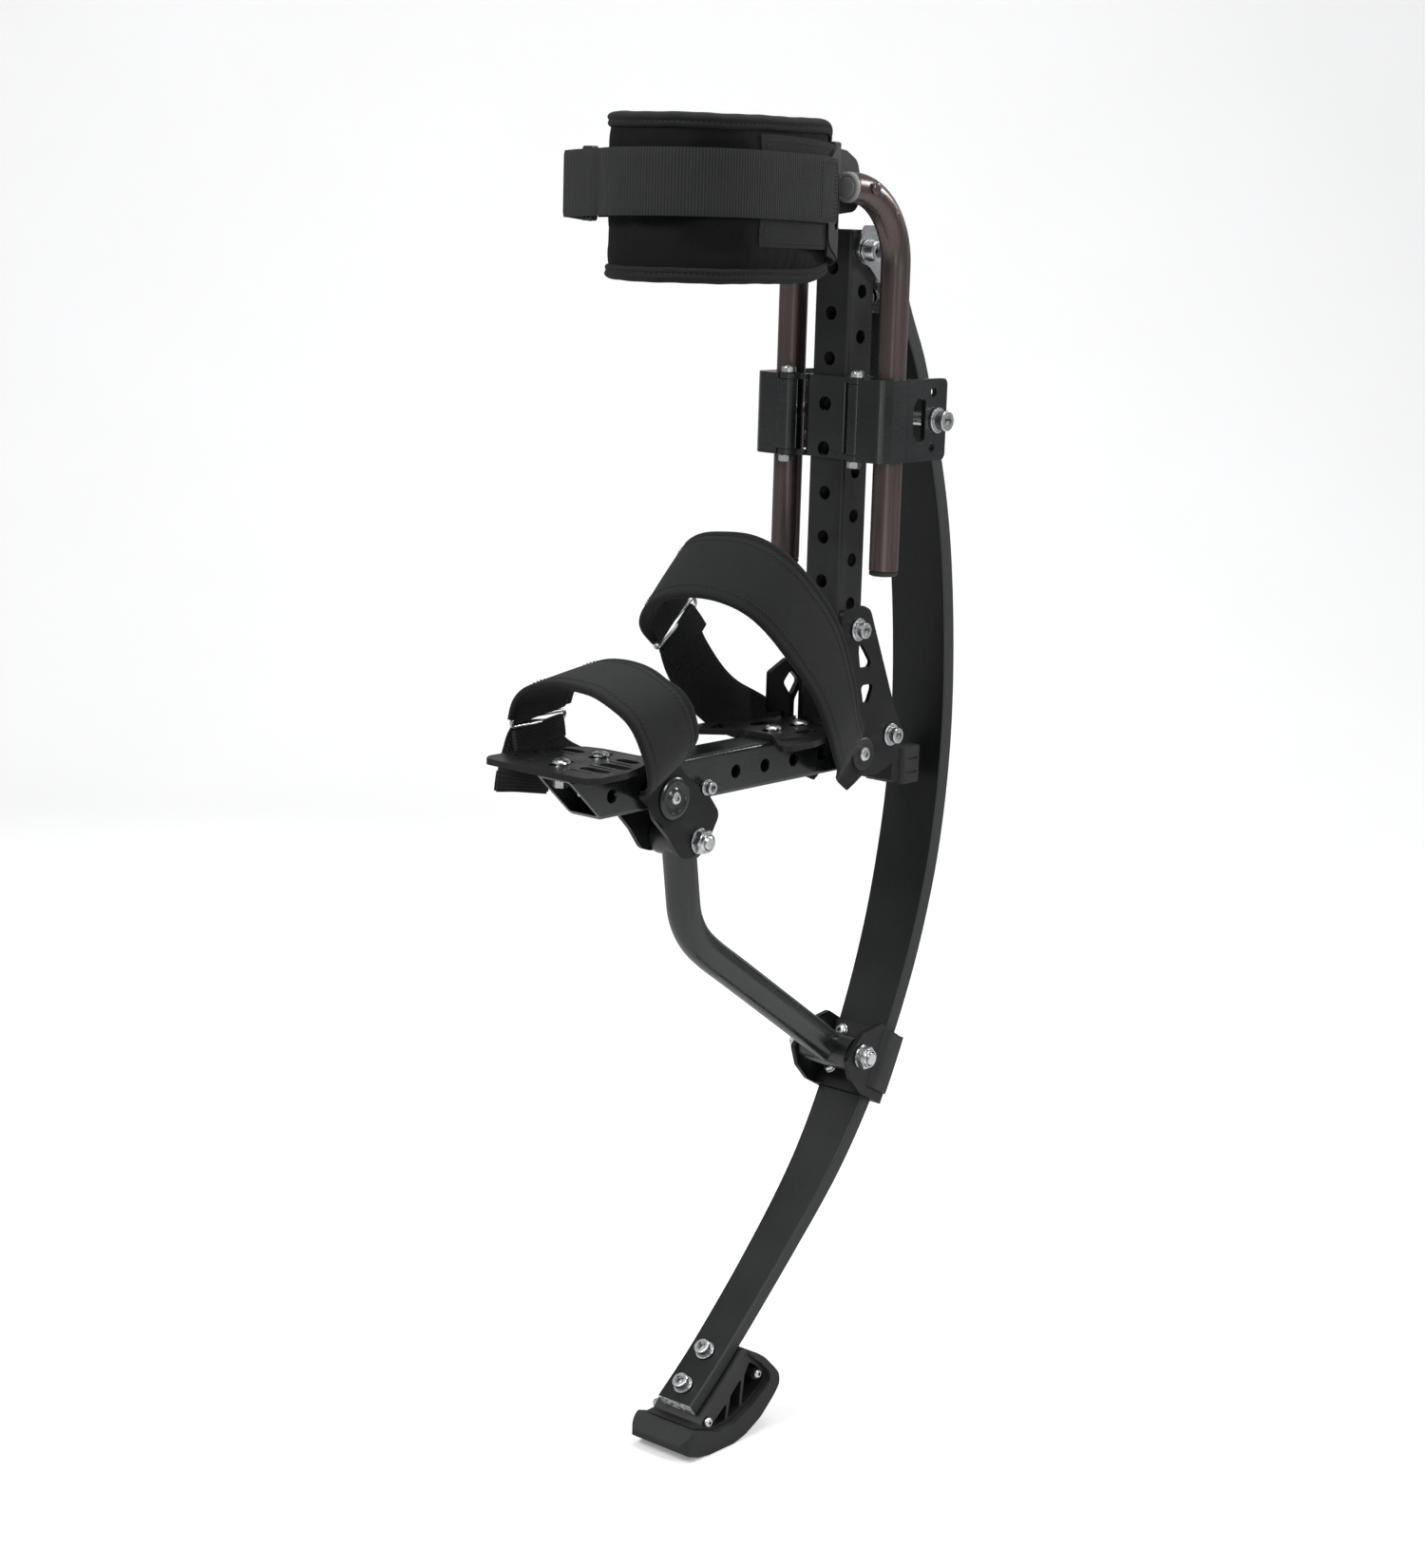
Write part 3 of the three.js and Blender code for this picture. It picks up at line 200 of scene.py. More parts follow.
def plastic(name, base, rough, grain=0.00008, scale=1500):
    """moulded grain, slightly paler on the edges"""
    shader = Shader(name)
    place = shader.coords()
    texture = shader.noise(place, scale=scale, detail=2)
    broad = shader.noise(place, scale=30, detail=4)
    color = shader.mix(shader.remap(broad, span=(0.35, 0.65)), tint(base, gain=0.85),
                       tint(base, gain=1.2))
    edges = shader.math("MULTIPLY", shader.edge_mask(radius=0.0008), 0.25)
    color = shader.mix(edges, color, tint(base, gain=3, lift=0.03))
    roughness = shader.remap(texture, span=(0.3, 0.7), to=around(rough, below=0.06, above=0.08))
    return shader.finish(color, roughness, texture, depth=grain)


def rubber(name, base):
    """matt rubber with patches of dust"""
    shader = Shader(name)
    place = shader.coords()
    texture = shader.noise(place, scale=1100)
    dust = shader.noise(place, scale=55, detail=5)
    color = shader.mix(shader.remap(dust, span=(0.45, 0.75), to=(0, 0.55)), base,
                       tint(base, gain=1.9, lift=0.006))
    roughness = shader.remap(dust, span=(0.3, 0.7), to=(0.58, 0.8))
    return shader.finish(color, roughness, texture, depth=0.00012,
                         inputs={"Specular IOR Level": 0.38})


def fibre_laminate(name):
    """satin face, with layered plies where the section is cut

    The "ply" map holds metres through the thickness in u, and in v 0 on the faces, 0.5 on
    the cut sides and 1 on the cut ends.
    """
    shader = Shader(name)
    ply_map = shader.node("UVMap", uv_map="ply").outputs[0]
    part = shader.node("SeparateXYZ", {0: ply_map}).outputs[1]
    plies = shader.node("TexWave",
                        {"Scale": 210, "Distortion": 0.5, "Detail": 2, "Vector": ply_map},
                        wave_type="BANDS", bands_direction="X").outputs["Fac"]
    place = shader.coords()
    fibres = shader.noise(shader.coords((700, 700, 14)), scale=1.0, detail=4)
    broad = shader.noise(place, scale=12)
    face_dark, face_pale, face_fibre = (
        (0.0062, 0.0067, 0.0066), (0.0088, 0.0094, 0.0093), (0.02, 0.021, 0.021))
    side_dark, side_pale = (0.016, 0.0168, 0.017), (0.046, 0.048, 0.049)
    end_dark, end_chip, end_ply = (0.20, 0.205, 0.205), (0.95, 0.96, 0.96), (0.16, 0.16, 0.165)
    face = shader.mix(shader.remap(broad, span=(0.35, 0.65)), face_dark, face_pale)
    face = shader.mix(shader.remap(fibres, span=(0.56, 0.74), to=(0, 0.5)), face, face_fibre)
    side = shader.mix(shader.remap(plies, span=(0.25, 0.8)), side_dark, side_pale)
    chips = shader.noise(shader.coords((300, 300, 300)), scale=1.0)
    end = shader.mix(shader.remap(chips, span=(0.40, 0.55)), end_dark, end_chip)
    end = shader.mix(shader.remap(plies, span=(0.3, 0.8), to=(0.4, 0)), end, end_ply)
    on_cut = shader.remap(part, span=(0.2, 0.5))
    on_end = shader.remap(part, span=(0.7, 0.9))
    color = shader.mix(on_cut, face, side)
    color = shader.mix(on_end, color, end)
    roughness = shader.remap(broad, span=(0.3, 0.7), to=(0.34, 0.46))
    roughness = shader.math("ADD", roughness, shader.math("MULTIPLY", on_cut, 0.12))
    height = shader.mix(on_cut, fibres, plies)
    return shader.finish(color, roughness, height, depth=0.00006,
                         inputs={"Specular IOR Level": 0.28})


def cloth(name, base, kind, thread, sheen, contrast=0.3):
    """fabric on the "sew" map in metres; kind is its weave and thread its pitch"""
    shader = Shader(name)
    sew_map = shader.node("UVMap", uv_map="sew").outputs[0]
    sew_map = shader.node("Mapping", {"Vector": sew_map}).outputs[0]
    parts = shader.node("SeparateXYZ", {0: sew_map})
    along, across_ = parts.outputs[0], parts.outputs[1]
    pitch = tau / thread

    def wave(value, frequency, phase=0.0):
        value = shader.math("ADD", shader.math("MULTIPLY", value, frequency), phase)
        value = shader.math("MULTIPLY", shader.math("SINE", value), 0.5)
        return shader.math("ADD", value, 0.5)

    fuzz = shader.noise(shader.coords(), scale=1900, rough=0.7)
    blotches = shader.noise(shader.coords(), scale=60, detail=4)
    depth = 0.00022
    if kind == "ribbed":
        depth = 0.00032
        rib = wave(along, frequency=pitch * 0.62)
        warp = wave(across_, frequency=pitch * 1.15)
        rib_height = shader.math("MULTIPLY", rib, 0.75)
        warp_height = shader.math("MULTIPLY", shader.math("MULTIPLY", warp, rib), 0.45)
        height = shader.math("ADD", rib_height, warp_height)
    elif kind == "tape":
        first = shader.math("MULTIPLY", wave(along, frequency=pitch * 0.9), 0.6)
        second = shader.math("MULTIPLY", wave(across_, frequency=pitch * 0.9), 0.35)
        height = shader.math("ADD", first, second)
    elif kind == "knit":
        first = wave(shader.math("ADD", along, across_), frequency=pitch * 0.55)
        second = wave(shader.math("SUBTRACT", along, across_), frequency=pitch * 0.55)
        height = shader.math("MULTIPLY", first, second)
    else:
        first = wave(along, frequency=pitch)
        second = wave(across_, frequency=pitch, phase=1.2)
        weave = shader.math("MULTIPLY", shader.math("MULTIPLY", first, second), 0.6)
        height = shader.math("ADD", weave, shader.math("MULTIPLY", fuzz, 0.8))
    fuzzy_height = shader.math("ADD", height, shader.math("MULTIPLY", fuzz, 0.35))
    color = shader.mix(shader.remap(height, span=(0.1, 0.95)), tint(base, gain=1 - contrast),
                       tint(base, gain=1 + contrast * 1.7))
    color = shader.mix(shader.remap(blotches, span=(0.42, 0.7), to=(0, 0.5)), color,
                       tint(base, gain=1.35))
    roughness = shader.remap(fuzz, span=(0.3, 0.7), to=(0.82, 0.96))
    return shader.finish(color, roughness, fuzzy_height, depth=depth,
                         inputs={"Specular IOR Level": 0.2, "Sheen Weight": sheen,
                                 "Sheen Roughness": 0.5, "Sheen Tint": (0.5, 0.5, 0.52)})


# key: (material, slot name)
MATERIALS = {
    "paint": (coated_metal("satin_black_powder_coat", (0.0062, 0.0065, 0.0066),
                           rough=0.35, wear=0.10, spec=0.29), "black_painted_steel"),
    # painted light: a paler copy of the black paint, standing in for the light on the upright
    # tube and the clamp flanges
    "upright": (coated_metal("paler_black_paint_painted_light", (0.0112, 0.0118, 0.0118),
                             rough=0.33, wear=0.14, spec=0.42), "black_painted_steel"),
    "anod": (coated_metal("black_anodised_alloy", (0.0085, 0.0096, 0.0098), rough=0.23,
                          wear=0.16, spec=0.7, grain=0.000008, fine=4200),
             "black_anodised_aluminium"),
    "zinc": (zinc("bright_zinc"), "bright_zinc"),
    "zincplate": (zinc("bright_zinc_plate", base=(0.78, 0.79, 0.8), rough=0.16), "bright_zinc"),
    "bronze": (anodised("bronze_anodised", (0.125, 0.098, 0.092), rough=0.27),
               "bronze_anodised_tube"),
    "plug": (plastic("grey_end_plug", (0.21, 0.206, 0.204), rough=0.5), "black_plastic"),
    "plastic": (plastic("moulded_black_plastic", (0.010, 0.010, 0.0105), rough=0.48),
                "black_plastic"),
    "casting": (plastic("cast_hoof_core", (0.0085, 0.009, 0.0093), rough=0.5, grain=0.00018,
                        scale=900), "hoof_casting"),
    "rubber": (rubber("tread_rubber", (0.0145, 0.0150, 0.0155)), "black_rubber"),
    "laminate": (fibre_laminate("fibre_laminate"), "black_laminate"),
    "pad": (cloth("brushed_padded_cloth", (0.0105, 0.0110, 0.0108), kind="brushed",
                  thread=0.0016, sheen=0.10), "padded_fabric"),
    "web": (cloth("ribbed_webbing", (0.0165, 0.0170, 0.0174), kind="ribbed", thread=0.0014,
                  sheen=0.08, contrast=0.34), "webbing"),
    "bind": (cloth("edge_tape", (0.0088, 0.0092, 0.0091), kind="tape", thread=0.0012,
                   sheen=0.06), "neoprene_pad"),
    "neo": (cloth("knit_faced_neoprene", (0.0022, 0.0023, 0.0024), kind="knit",
                  thread=0.0015, sheen=0.02, contrast=0.25), "neoprene_pad"),
    "thread": (plastic("sewing_thread", (0.0080, 0.0082, 0.0082), rough=0.7, grain=0.00003,
                       scale=3000), "padded_fabric"),
}


# ------------------------------------------------------------------ outlines
def rect(x0, x1, y0, y1):
    return [(x0, y0), (x1, y0), (x1, y1), (x0, y1)]


def circle(x, y, radius, sides=32):
    return [(x + radius * cos(tau * i / sides), y + radius * sin(tau * i / sides))
            for i in range(sides)]


def slot(x0, y0, x1, y1, radius, steps=10):
    """round-ended slot between two centres"""
    angle = atan2(y1 - y0, x1 - x0)
    points = []
    for x, y, start in ((x0, y0, angle + pi / 2), (x1, y1, angle - pi / 2)):
        for i in range(steps + 1):
            turn = start + pi * i / steps
            points.append((x + radius * cos(turn), y + radius * sin(turn)))
    return points


def fillet(points, radius, steps=5):
    """rounds the corners of a closed outline; radius is one number or one per corner"""
    rounded = []
    count = len(points)
    radii = radius if isinstance(radius, (list, tuple)) else [radius] * count
    for i in range(count):
        corner = Vector(points[i])
        back = Vector(points[i - 1]) - corner
        ahead = Vector(points[(i + 1) % count]) - corner
        back_length, ahead_length = back.length, ahead.length
        back, ahead = back / back_length, ahead / ahead_length
        angle = back.angle(ahead)
        bend = radii[i]
        if bend <= 0 or angle > pi - 0.06:
            rounded.append((corner.x, corner.y))
            continue
        setback = bend / tan(angle / 2)
        limit = 0.48 * min(back_length, ahead_length)
        if setback > limit:
            setback = limit
            bend = setback * tan(angle / 2)
        center = corner + (back + ahead).normalized() * (bend / sin(angle / 2))
        first, last = corner + back * setback - center, corner + ahead * setback - center
        start = atan2(first.y, first.x)
        sweep = (atan2(last.y, last.x) - start + pi) % tau - pi
        for step in range(steps + 1):
            turn = start + sweep * step / steps
            rounded.append((center.x + bend * cos(turn), center.y + bend * sin(turn)))
    return rounded


def rounded_rect(x0, x1, y0, y1, radius, steps=6, inset=0):
    return fillet(rect(x0 + inset, x1 - inset, y0 + inset, y1 - inset), radius, steps)


def smooth_line(rows, step):
    """natural cubic spline through rows, spaced by the length of their first three columns;
    gives the points, their derivatives and the distances along"""
    knots = np.array(rows, float)
    chords = np.linalg.norm(np.diff(knots[:, :3], axis=0), axis=1)
    at_knot = np.concatenate([[0], np.cumsum(chords)])
    count = len(at_knot)
    gap = np.diff(at_knot)
    system = np.zeros((count, count))
    target = np.zeros((count, knots.shape[1]))
    system[0, 0] = system[-1, -1] = 1
    for i in range(1, count - 1):
        system[i, i - 1:i + 2] = gap[i - 1], 2 * (gap[i - 1] + gap[i]), gap[i]
        target[i] = 6 * ((knots[i + 1] - knots[i]) / gap[i]
                         - (knots[i] - knots[i - 1]) / gap[i - 1])
    curve = np.linalg.solve(system, target)
    distances = np.linspace(0, at_knot[-1], max(2, int(round(at_knot[-1] / step)) + 1))
    points, slopes = [], []
    for distance in distances:
        i = min(count - 2, max(0, int(np.searchsorted(at_knot, distance, "right") - 1)))
        past, left, width = distance - at_knot[i], at_knot[i + 1] - distance, gap[i]
        points.append(curve[i] * left ** 3 / (6 * width) + curve[i + 1] * past ** 3 / (6 * width)
                      + (knots[i] / width - curve[i] * width / 6) * left
                      + (knots[i + 1] / width - curve[i + 1] * width / 6) * past)
        slopes.append(-curve[i] * left ** 2 / (2 * width) + curve[i + 1] * past ** 2 / (2 * width)
                      + (knots[i + 1] - knots[i]) / width
                      - width * (curve[i + 1] - curve[i]) / 6)
    return np.array(points), np.array(slopes), distances


def offset_line(points, distance):
    """open line moved to its left by a distance"""
    moved = []
    for i, (x, y) in enumerate(points):
        before, after = points[max(0, i - 1)], points[min(len(points) - 1, i + 1)]
        dx, dy = after[0] - before[0], after[1] - before[1]
        length = hypot(dx, dy)
        moved.append((x - dy / length * distance, y + dx / length * distance))
    return moved


def at(point, y=0):
    """place in space of a point (x, z) in the side view"""
    return point[0], y, point[1]


def across(side, near, far):
    """y limits of a piece between two distances from the middle, on one side"""
    return sorted((side * near, side * far))


# ------------------------------------------------------------------ solids
def mesh_object(name, vertices, faces, unit_length=MM):
    mesh = bpy.data.meshes.new(name)
    mesh.from_pydata((np.array(vertices, float) * unit_length).tolist(), [], faces)
    ob = bpy.data.objects.new(name, mesh)
    scene.collection.objects.link(ob)
    return ob


@contextmanager
def editing(ob):
    edit = bmesh.new()
    edit.from_mesh(ob.data)
    yield edit
    edit.to_mesh(ob.data)
    edit.free()


def solid(vertices, faces):
    ob = mesh_object("solid", vertices, faces)
    with editing(ob) as edit:
        bmesh.ops.remove_doubles(edit, verts=edit.verts, dist=1e-7)
        bmesh.ops.recalc_face_normals(edit, faces=edit.faces)
    return ob


def loft_faces(rings, sides, closed=False):
    """quads between rings of points; the end rings are joined up if closed, else capped"""
    faces = []
    for ring in range(rings if closed else rings - 1):
        near, far = ring * sides, (ring + 1) % rings * sides
        for i in range(sides):
            j = (i + 1) % sides
            faces.append([near + i, near + j, far + j, far + i])
    if not closed:
        faces += [list(range(sides))[::-1], list(range((rings - 1) * sides, rings * sides))]
    return faces


def prism(outline, place, start, end):
    """outline extruded from start to end; place turns (u, v, distance) into x, y, z"""
    faces = loft_faces(2, len(outline))
    caps_first = faces[-2:] + faces[:-2]
    return solid([place(u, v, end_) for end_ in (start, end) for u, v in outline], caps_first)


def prism_x(outline, x0, x1):
    return prism(outline, lambda y, z, x: (x, y, z), x0, x1)


def prism_y(outline, y0, y1):
    return prism(outline, lambda x, z, y: (x, y, z), y0, y1)


def prism_z(outline, z0, z1):
    return prism(outline, lambda x, y, z: (x, y, z), z0, z1)


def round_y(center, radius, reach=40, sides=32):
    """cylinder along y through (x, z), out to reach on both sides"""
    return prism_y(circle(*center, radius, sides), -reach, reach)


def turn_to(along):
    return Vector((0, 0, 1)).rotation_difference(Vector(along).normalized()).to_matrix()


def turned(profile, where=(0, 0, 0), along=(0, 0, 1), sides=40, closed=False):
    """solid of revolution; profile is (distance along, radius), capped unless it is a loop"""
    turn = turn_to(along)
    vertices = []
    for distance, radius in profile:
        for i in range(sides):
            angle = tau * i / sides
            point = turn @ Vector((radius * cos(angle), radius * sin(angle), distance))
            vertices.append((point.x + where[0], point.y + where[1], point.z + where[2]))
    return solid(vertices, loft_faces(len(profile), sides, closed))


def rod(radius, start, end, where=(0, 0, 0), along=(0, 0, 1), sides=40):
    return turned([(start, radius), (end, radius)], where, along, sides)


def hexagon(where, along, height, flats):
    return rod(flats / sqrt(3), 0, height, where, along, 6)


def tube_path(path, radius, sides):
    """round bar along a path in an x-z plane; radius is one number or one per point"""
    points = [Vector(point) for point in path]
    sideways = Vector((0, 1, 0))
    vertices = []
    for i, point in enumerate(points):
        before = (point - points[i - 1] if i else points[1] - point).normalized()
        after = (points[i + 1] - point).normalized() if i < len(points) - 1 else before
        heading = (before + after).normalized()
        other = heading.cross(sideways).normalized()
        stretch = 1 / max(0.5, heading.dot(before))
        size = radius[i] if isinstance(radius, list) else radius
        for j in range(sides):
            angle = tau * j / sides
            vertices.append(tuple(point + sideways * size * cos(angle)
                                  + other * size * stretch * sin(angle)))
    return solid(vertices, loft_faces(len(points), sides))


def bake(ob):
    """replaces the mesh with the result of its modifiers"""
    graph = bpy.context.evaluated_depsgraph_get()
    graph.update()
    mesh = bpy.data.meshes.new_from_object(ob.evaluated_get(graph))
    old = ob.data
    ob.modifiers.clear()
    ob.data = mesh
    bpy.data.meshes.remove(old)
    return ob


def boolean(ob, tools, operation):
    for tool in tools:
        modifier = ob.modifiers.new("b", "BOOLEAN")
        modifier.operation = operation
        modifier.object = tool
        modifier.solver = "MANIFOLD"
    bake(ob)
    if len(ob.data.polygons) == 0:
        raise RuntimeError("empty boolean " + ob.name)
    for tool in tools:
        mesh = tool.data
        bpy.data.objects.remove(tool)
        bpy.data.meshes.remove(mesh)
    return ob


def cut(ob, *tools):
    return boolean(ob, tools, "DIFFERENCE")


def add(ob, *tools):
    return boolean(ob, tools, "UNION")


def both(ob, tool):
    return boolean(ob, [tool], "INTERSECT")


def subdivide(ob):
    modifier = ob.modifiers.new("s", "SUBSURF")
    modifier.levels = modifier.render_levels = 1
    bake(ob)


# ------------------------------------------------------------------ finishing
def shade_smooth(ob, angle):
    with editing(ob) as edit:
        for face in edit.faces:
            face.smooth = True
        for edge in edit.edges:
            edge.smooth = len(edge.link_faces) == 2 and edge.calc_face_angle(0) < radians(angle)


def round_edges(ob, width, segments, angle):
    with editing(ob) as edit:
        bmesh.ops.remove_doubles(edit, verts=edit.verts, dist=2e-6)
        bmesh.ops.dissolve_limit(edit, angle_limit=radians(0.6), verts=edit.verts,
                                 edges=edit.edges)
    bevel = ob.modifiers.new("bev", "BEVEL")
    bevel.width = width * MM
    bevel.segments = segments
    bevel.limit_method = "ANGLE"
    bevel.angle_limit = radians(angle)
    bevel.miter_outer = "MITER_ARC"
    bevel.use_clamp_overlap = True
    bake(ob)


def dress(ob, name, body, material, nodes):
    ob.name = name
    ob.data.name = name
    ob.data.materials.clear()
    ob.data.materials.append(MATERIALS[material][0])
    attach(ob, body)
    if nodes:
        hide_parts(*nodes)


def finish(ob, name, body, material, nodes=(), bevel=0.5, segments=2, bevel_angle=38, shade=32):
    """hard piece: edges rounded, shaded smooth below an angle"""
    if bevel:
        round_edges(ob, bevel, segments, bevel_angle)
    shade_smooth(ob, shade)
    weighted = ob.modifiers.new("wn", "WEIGHTED_NORMAL")
    weighted.mode = "FACE_AREA"
    weighted.weight = 60
    weighted.keep_sharp = True
    bake(ob)
    dress(ob, name, body, material, nodes)


def detail(ob, node, body, material, **options):
    """finished piece that takes the place of the CAD piece called node"""
    finish(ob, node + "_detail", body, material, [node], **options)


def soft(ob, name, body, material, nodes=(), shade=60):
    shade_smooth(ob, shade)
    dress(ob, name, body, material, nodes)


# ------------------------------------------------------------------ shared dimensions
GAP = 0.3  # clearance between fitted pieces
WALL = 2.6  # wall of the square tubes
UPRIGHT_BACK, UPRIGHT_FRONT, UPRIGHT_HALF = -151, -120, 16.5
UPRIGHT_MID = (UPRIGHT_BACK + UPRIGHT_FRONT) / 2
UPRIGHT_BOTTOM, UPRIGHT_TOP = 553, 918
FIRST_HOLE, HOLE_PITCH, HOLE_RADIUS = 591, 33.5, 5.2
SIDE_HOLE_RISE = 16.5  # side holes above the holes through the front
BEAM_BACK, BEAM_FRONT, BEAM_HALF, BEAM_BOTTOM, BEAM_TOP = -166, 171, 15.8, 512, 545

# pivots and bolts across the stilt, as (x, z)
ANKLE, TOP_PIVOT, TOE_PIVOT, YOKE_REAR = (-149, 524), (-136, 905), (70, 520), (30, 522)
PUSH_ROD_TOP, PUSH_ROD_LOW = (37, 483), (-156, 281)
ANKLE_PLATE_TOP, ANKLE_PLATE_REAR = (-142, 621), (-188, 534)
CALF_BOLT = (UPRIGHT_MID, FIRST_HOLE + HOLE_PITCH * 5 + SIDE_HOLE_RISE)
CLAMP_BOLT = (-172, 782)

ANKLE_PLATE_IN = UPRIGHT_HALF + GAP
ANKLE_PLATE_OUT = ANKLE_PLATE_IN + 3.4
YOKE_IN = BEAM_HALF + GAP
YOKE_OUT = YOKE_IN + 4
SOLE_BOTTOM = BEAM_TOP + GAP
SOLE_TOP = SOLE_BOTTOM + 4.5

# knee rods: radius, x and y of the standing part, bend, height of the top run, ends
ROD_R, ROD_X, ROD_Y, ROD_BEND, ROD_HEIGHT, ROD_END, ROD_FOOT = 11, -134, 48, 56, 951, -75, 669
ROD_SOCKET = ROD_R + GAP
CLAMP_OUT = ROD_SOCKET + 4
CLAMP_BOTTOM, CLAMP_TOP = 752, 813
HINGE_X, HINGE_Y = -113, 33
CUFF_PIVOT = (-92, ROD_HEIGHT)


# ------------------------------------------------------------------ fasteners
def place(ob, where, along=(0, 0, 1)):
    ob.data.transform(Matrix.Translation(Vector(where) * MM) @ turn_to(along).to_4x4())
    return ob


def lift(ob, height):
    ob.data.transform(Matrix.Translation((0, 0, height * MM)))
    return ob


def hex_nut(height, flats, top=True, bottom=False):
    """hexagon from 0 to height with the corners turned off at the chosen ends"""
    corner, chamfer = flats / sqrt(3), 0.6
    full, trimmed = corner * 1.1, flats / 2 * 0.98
    body = rod(corner, 0, height, sides=6)
    envelope = turned([(-0.01, trimmed if bottom else full),
                       (chamfer if bottom else 0.02, corner * 1.03),
                       (height - (chamfer if top else 0.02), corner * 1.03),
                       (height + 0.01, trimmed if top else full)], sides=36)
    return both(body, envelope)


def thread_profile(start, end, radius):
    pitch = 0.9
    rows = [(start, radius * 0.8), (start + 0.5, radius * 0.98)]
    z = start + 0.5
    while z + pitch < end:
        rows += [(z + pitch * 0.5, radius * 0.86), (z + pitch, radius * 0.98)]
        z += pitch
    return rows


def bolt_head(kind, radius, seat):
    if kind == "socket":
        wide, tall = radius * 1.55, radius * 1.7
        head = turned([(seat, wide - 0.25), (seat + 0.25, wide), (seat + tall - 0.7, wide),
                       (seat + tall - 0.2, wide - 0.35), (seat + tall, wide - 0.8)], sides=44)
        return cut(head, hexagon((0, 0, seat + tall * 0.35), (0, 0, 1), tall, radius * 1.65))
    if kind == "button":
        wide, tall = radius * 1.75, radius * 1.1
        dome = [(seat + 0.4 + (tall - 0.4) * sin(angle), wide * (0.42 + 0.58 * cos(angle)))
                for angle in (0.3, 0.6, 0.9, 1.2, 1.45)]
        head = turned([(seat, wide - 0.1), (seat + 0.4, wide)] + dome, sides=44)
        return cut(head, hexagon((0, 0, seat + tall * 0.3), (0, 0, 1), tall, radius * 1.2))
    tall = radius * 1.3
    head = lift(hex_nut(tall + 0.2, radius * 3.3), seat - 0.1)
    return cut(head, rod(radius * 1.05, seat + tall - 0.25, seat + tall + 3, sides=30))


def bolt(where, along, radius, grip, head="socket", washer=None, washer_t=1.4, nut=True,
         nut_grip=None):
    """bolt with washers; grip and nut_grip run from where to the head and nut washers"""
    nut_grip = grip if nut_grip is None else nut_grip
    washer = 1.9 * radius + 1.2 if washer is None else washer
    nut_seat = -nut_grip - washer_t
    tip = -nut_grip - (washer_t + radius * 1.9 if nut else 0)
    shank = thread_profile(tip, nut_seat if nut else tip + 4, radius)
    shank += [(shank[-1][0] + 0.3, radius), (grip + washer_t + 0.3, radius)]

    def make_washer(start):
        end = start + washer_t
        return turned([(start, washer - 0.25), (start + 0.25, washer), (end - 0.25, washer),
                       (end, washer - 0.25)], sides=44)

    shank = turned(shank, sides=28)
    parts = [make_washer(grip), bolt_head(head, radius, grip + washer_t - 0.05)]
    if nut:
        parts.append(make_washer(nut_seat))
        hexagonal = lift(hex_nut(radius * 1.15, radius * 3.3, top=False, bottom=True),
                         nut_seat - radius * 1.1)
        collar = turned([(nut_seat - radius * 1.62, radius * 1.22),
                         (nut_seat - radius * 1.62, radius * 1.34),
                         (nut_seat - radius * 1.4, radius * 1.44),
                         (nut_seat - radius * 1.0, radius * 1.46)], sides=36)
        bore = rod(radius * 1.18, nut_seat - radius * 3, nut_seat - radius * 1.15, sides=30)
        parts += [hexagonal, cut(collar, bore)]
    return place(add(shank, *parts), where, along)


def put_bolt(node, body, *size, **options):
    detail(bolt(*size, **options), node, body, "zinc", bevel=0, shade=28)


def pivot_bolt(node, body, pivot, shank, head, socket, nut, sides):
    """bolt across a strap pivot; socket is (y, depth, flats) and nut is (y, height, flats)"""
    shank = turned(shank, at(pivot), (0, 1, 0), sides)
    head = turned(head, at(pivot), (0, 1, 0), 40)
    head = cut(head, hexagon(at(pivot, socket[0]), (0, 1, 0), *socket[1:]))
    nut_ = place(hex_nut(*nut[1:], top=False, bottom=True), at(pivot, nut[0]), (0, -1, 0))
    detail(add(shank, head, nut_), node, body, "zinc", bevel=0, shade=28)


# ------------------------------------------------------------------ upright tube
def upright_section(inset, radius, steps=6):
    return rounded_rect(UPRIGHT_BACK, UPRIGHT_FRONT, -UPRIGHT_HALF, UPRIGHT_HALF, radius, steps,
                        inset)


tube = prism_z(upright_section(0, 3.2), UPRIGHT_BOTTOM, UPRIGHT_TOP)
tube = cut(tube, prism_z(upright_section(WALL, 1.2, 3), UPRIGHT_BOTTOM - 5, UPRIGHT_TOP + 5))
holes = []
for i in range(10):
    z = FIRST_HOLE + HOLE_PITCH * i
    holes.append(prism_x(circle(0, z, HOLE_RADIUS), UPRIGHT_BACK - 5, UPRIGHT_FRONT + 5))
    if i < 9:
        holes.append(round_y((UPRIGHT_MID, z + SIDE_HOLE_RISE), HOLE_RADIUS, 30))
holes += [round_y(TOP_PIVOT, 5.4, 30), round_y(ANKLE_PLATE_TOP, 4.4, 30)]
# the tube takes the paler copy of the black paint, painted light
finish(cut(tube, *holes), "upright_tube", "upright", "upright", ["upright_channel"], bevel=0.45)

# moulded plug that closes the top of the tube
plug = add(prism_z(upright_section(WALL + 0.1, 1.1, 3), 910, UPRIGHT_TOP + 0.4),
           prism_z(upright_section(0.3, 3.0), UPRIGHT_TOP + 0.2, UPRIGHT_TOP + 2.4))
finish(plug, "upright_top_plug", "upright", "plastic", bevel=0.7, segments=3)

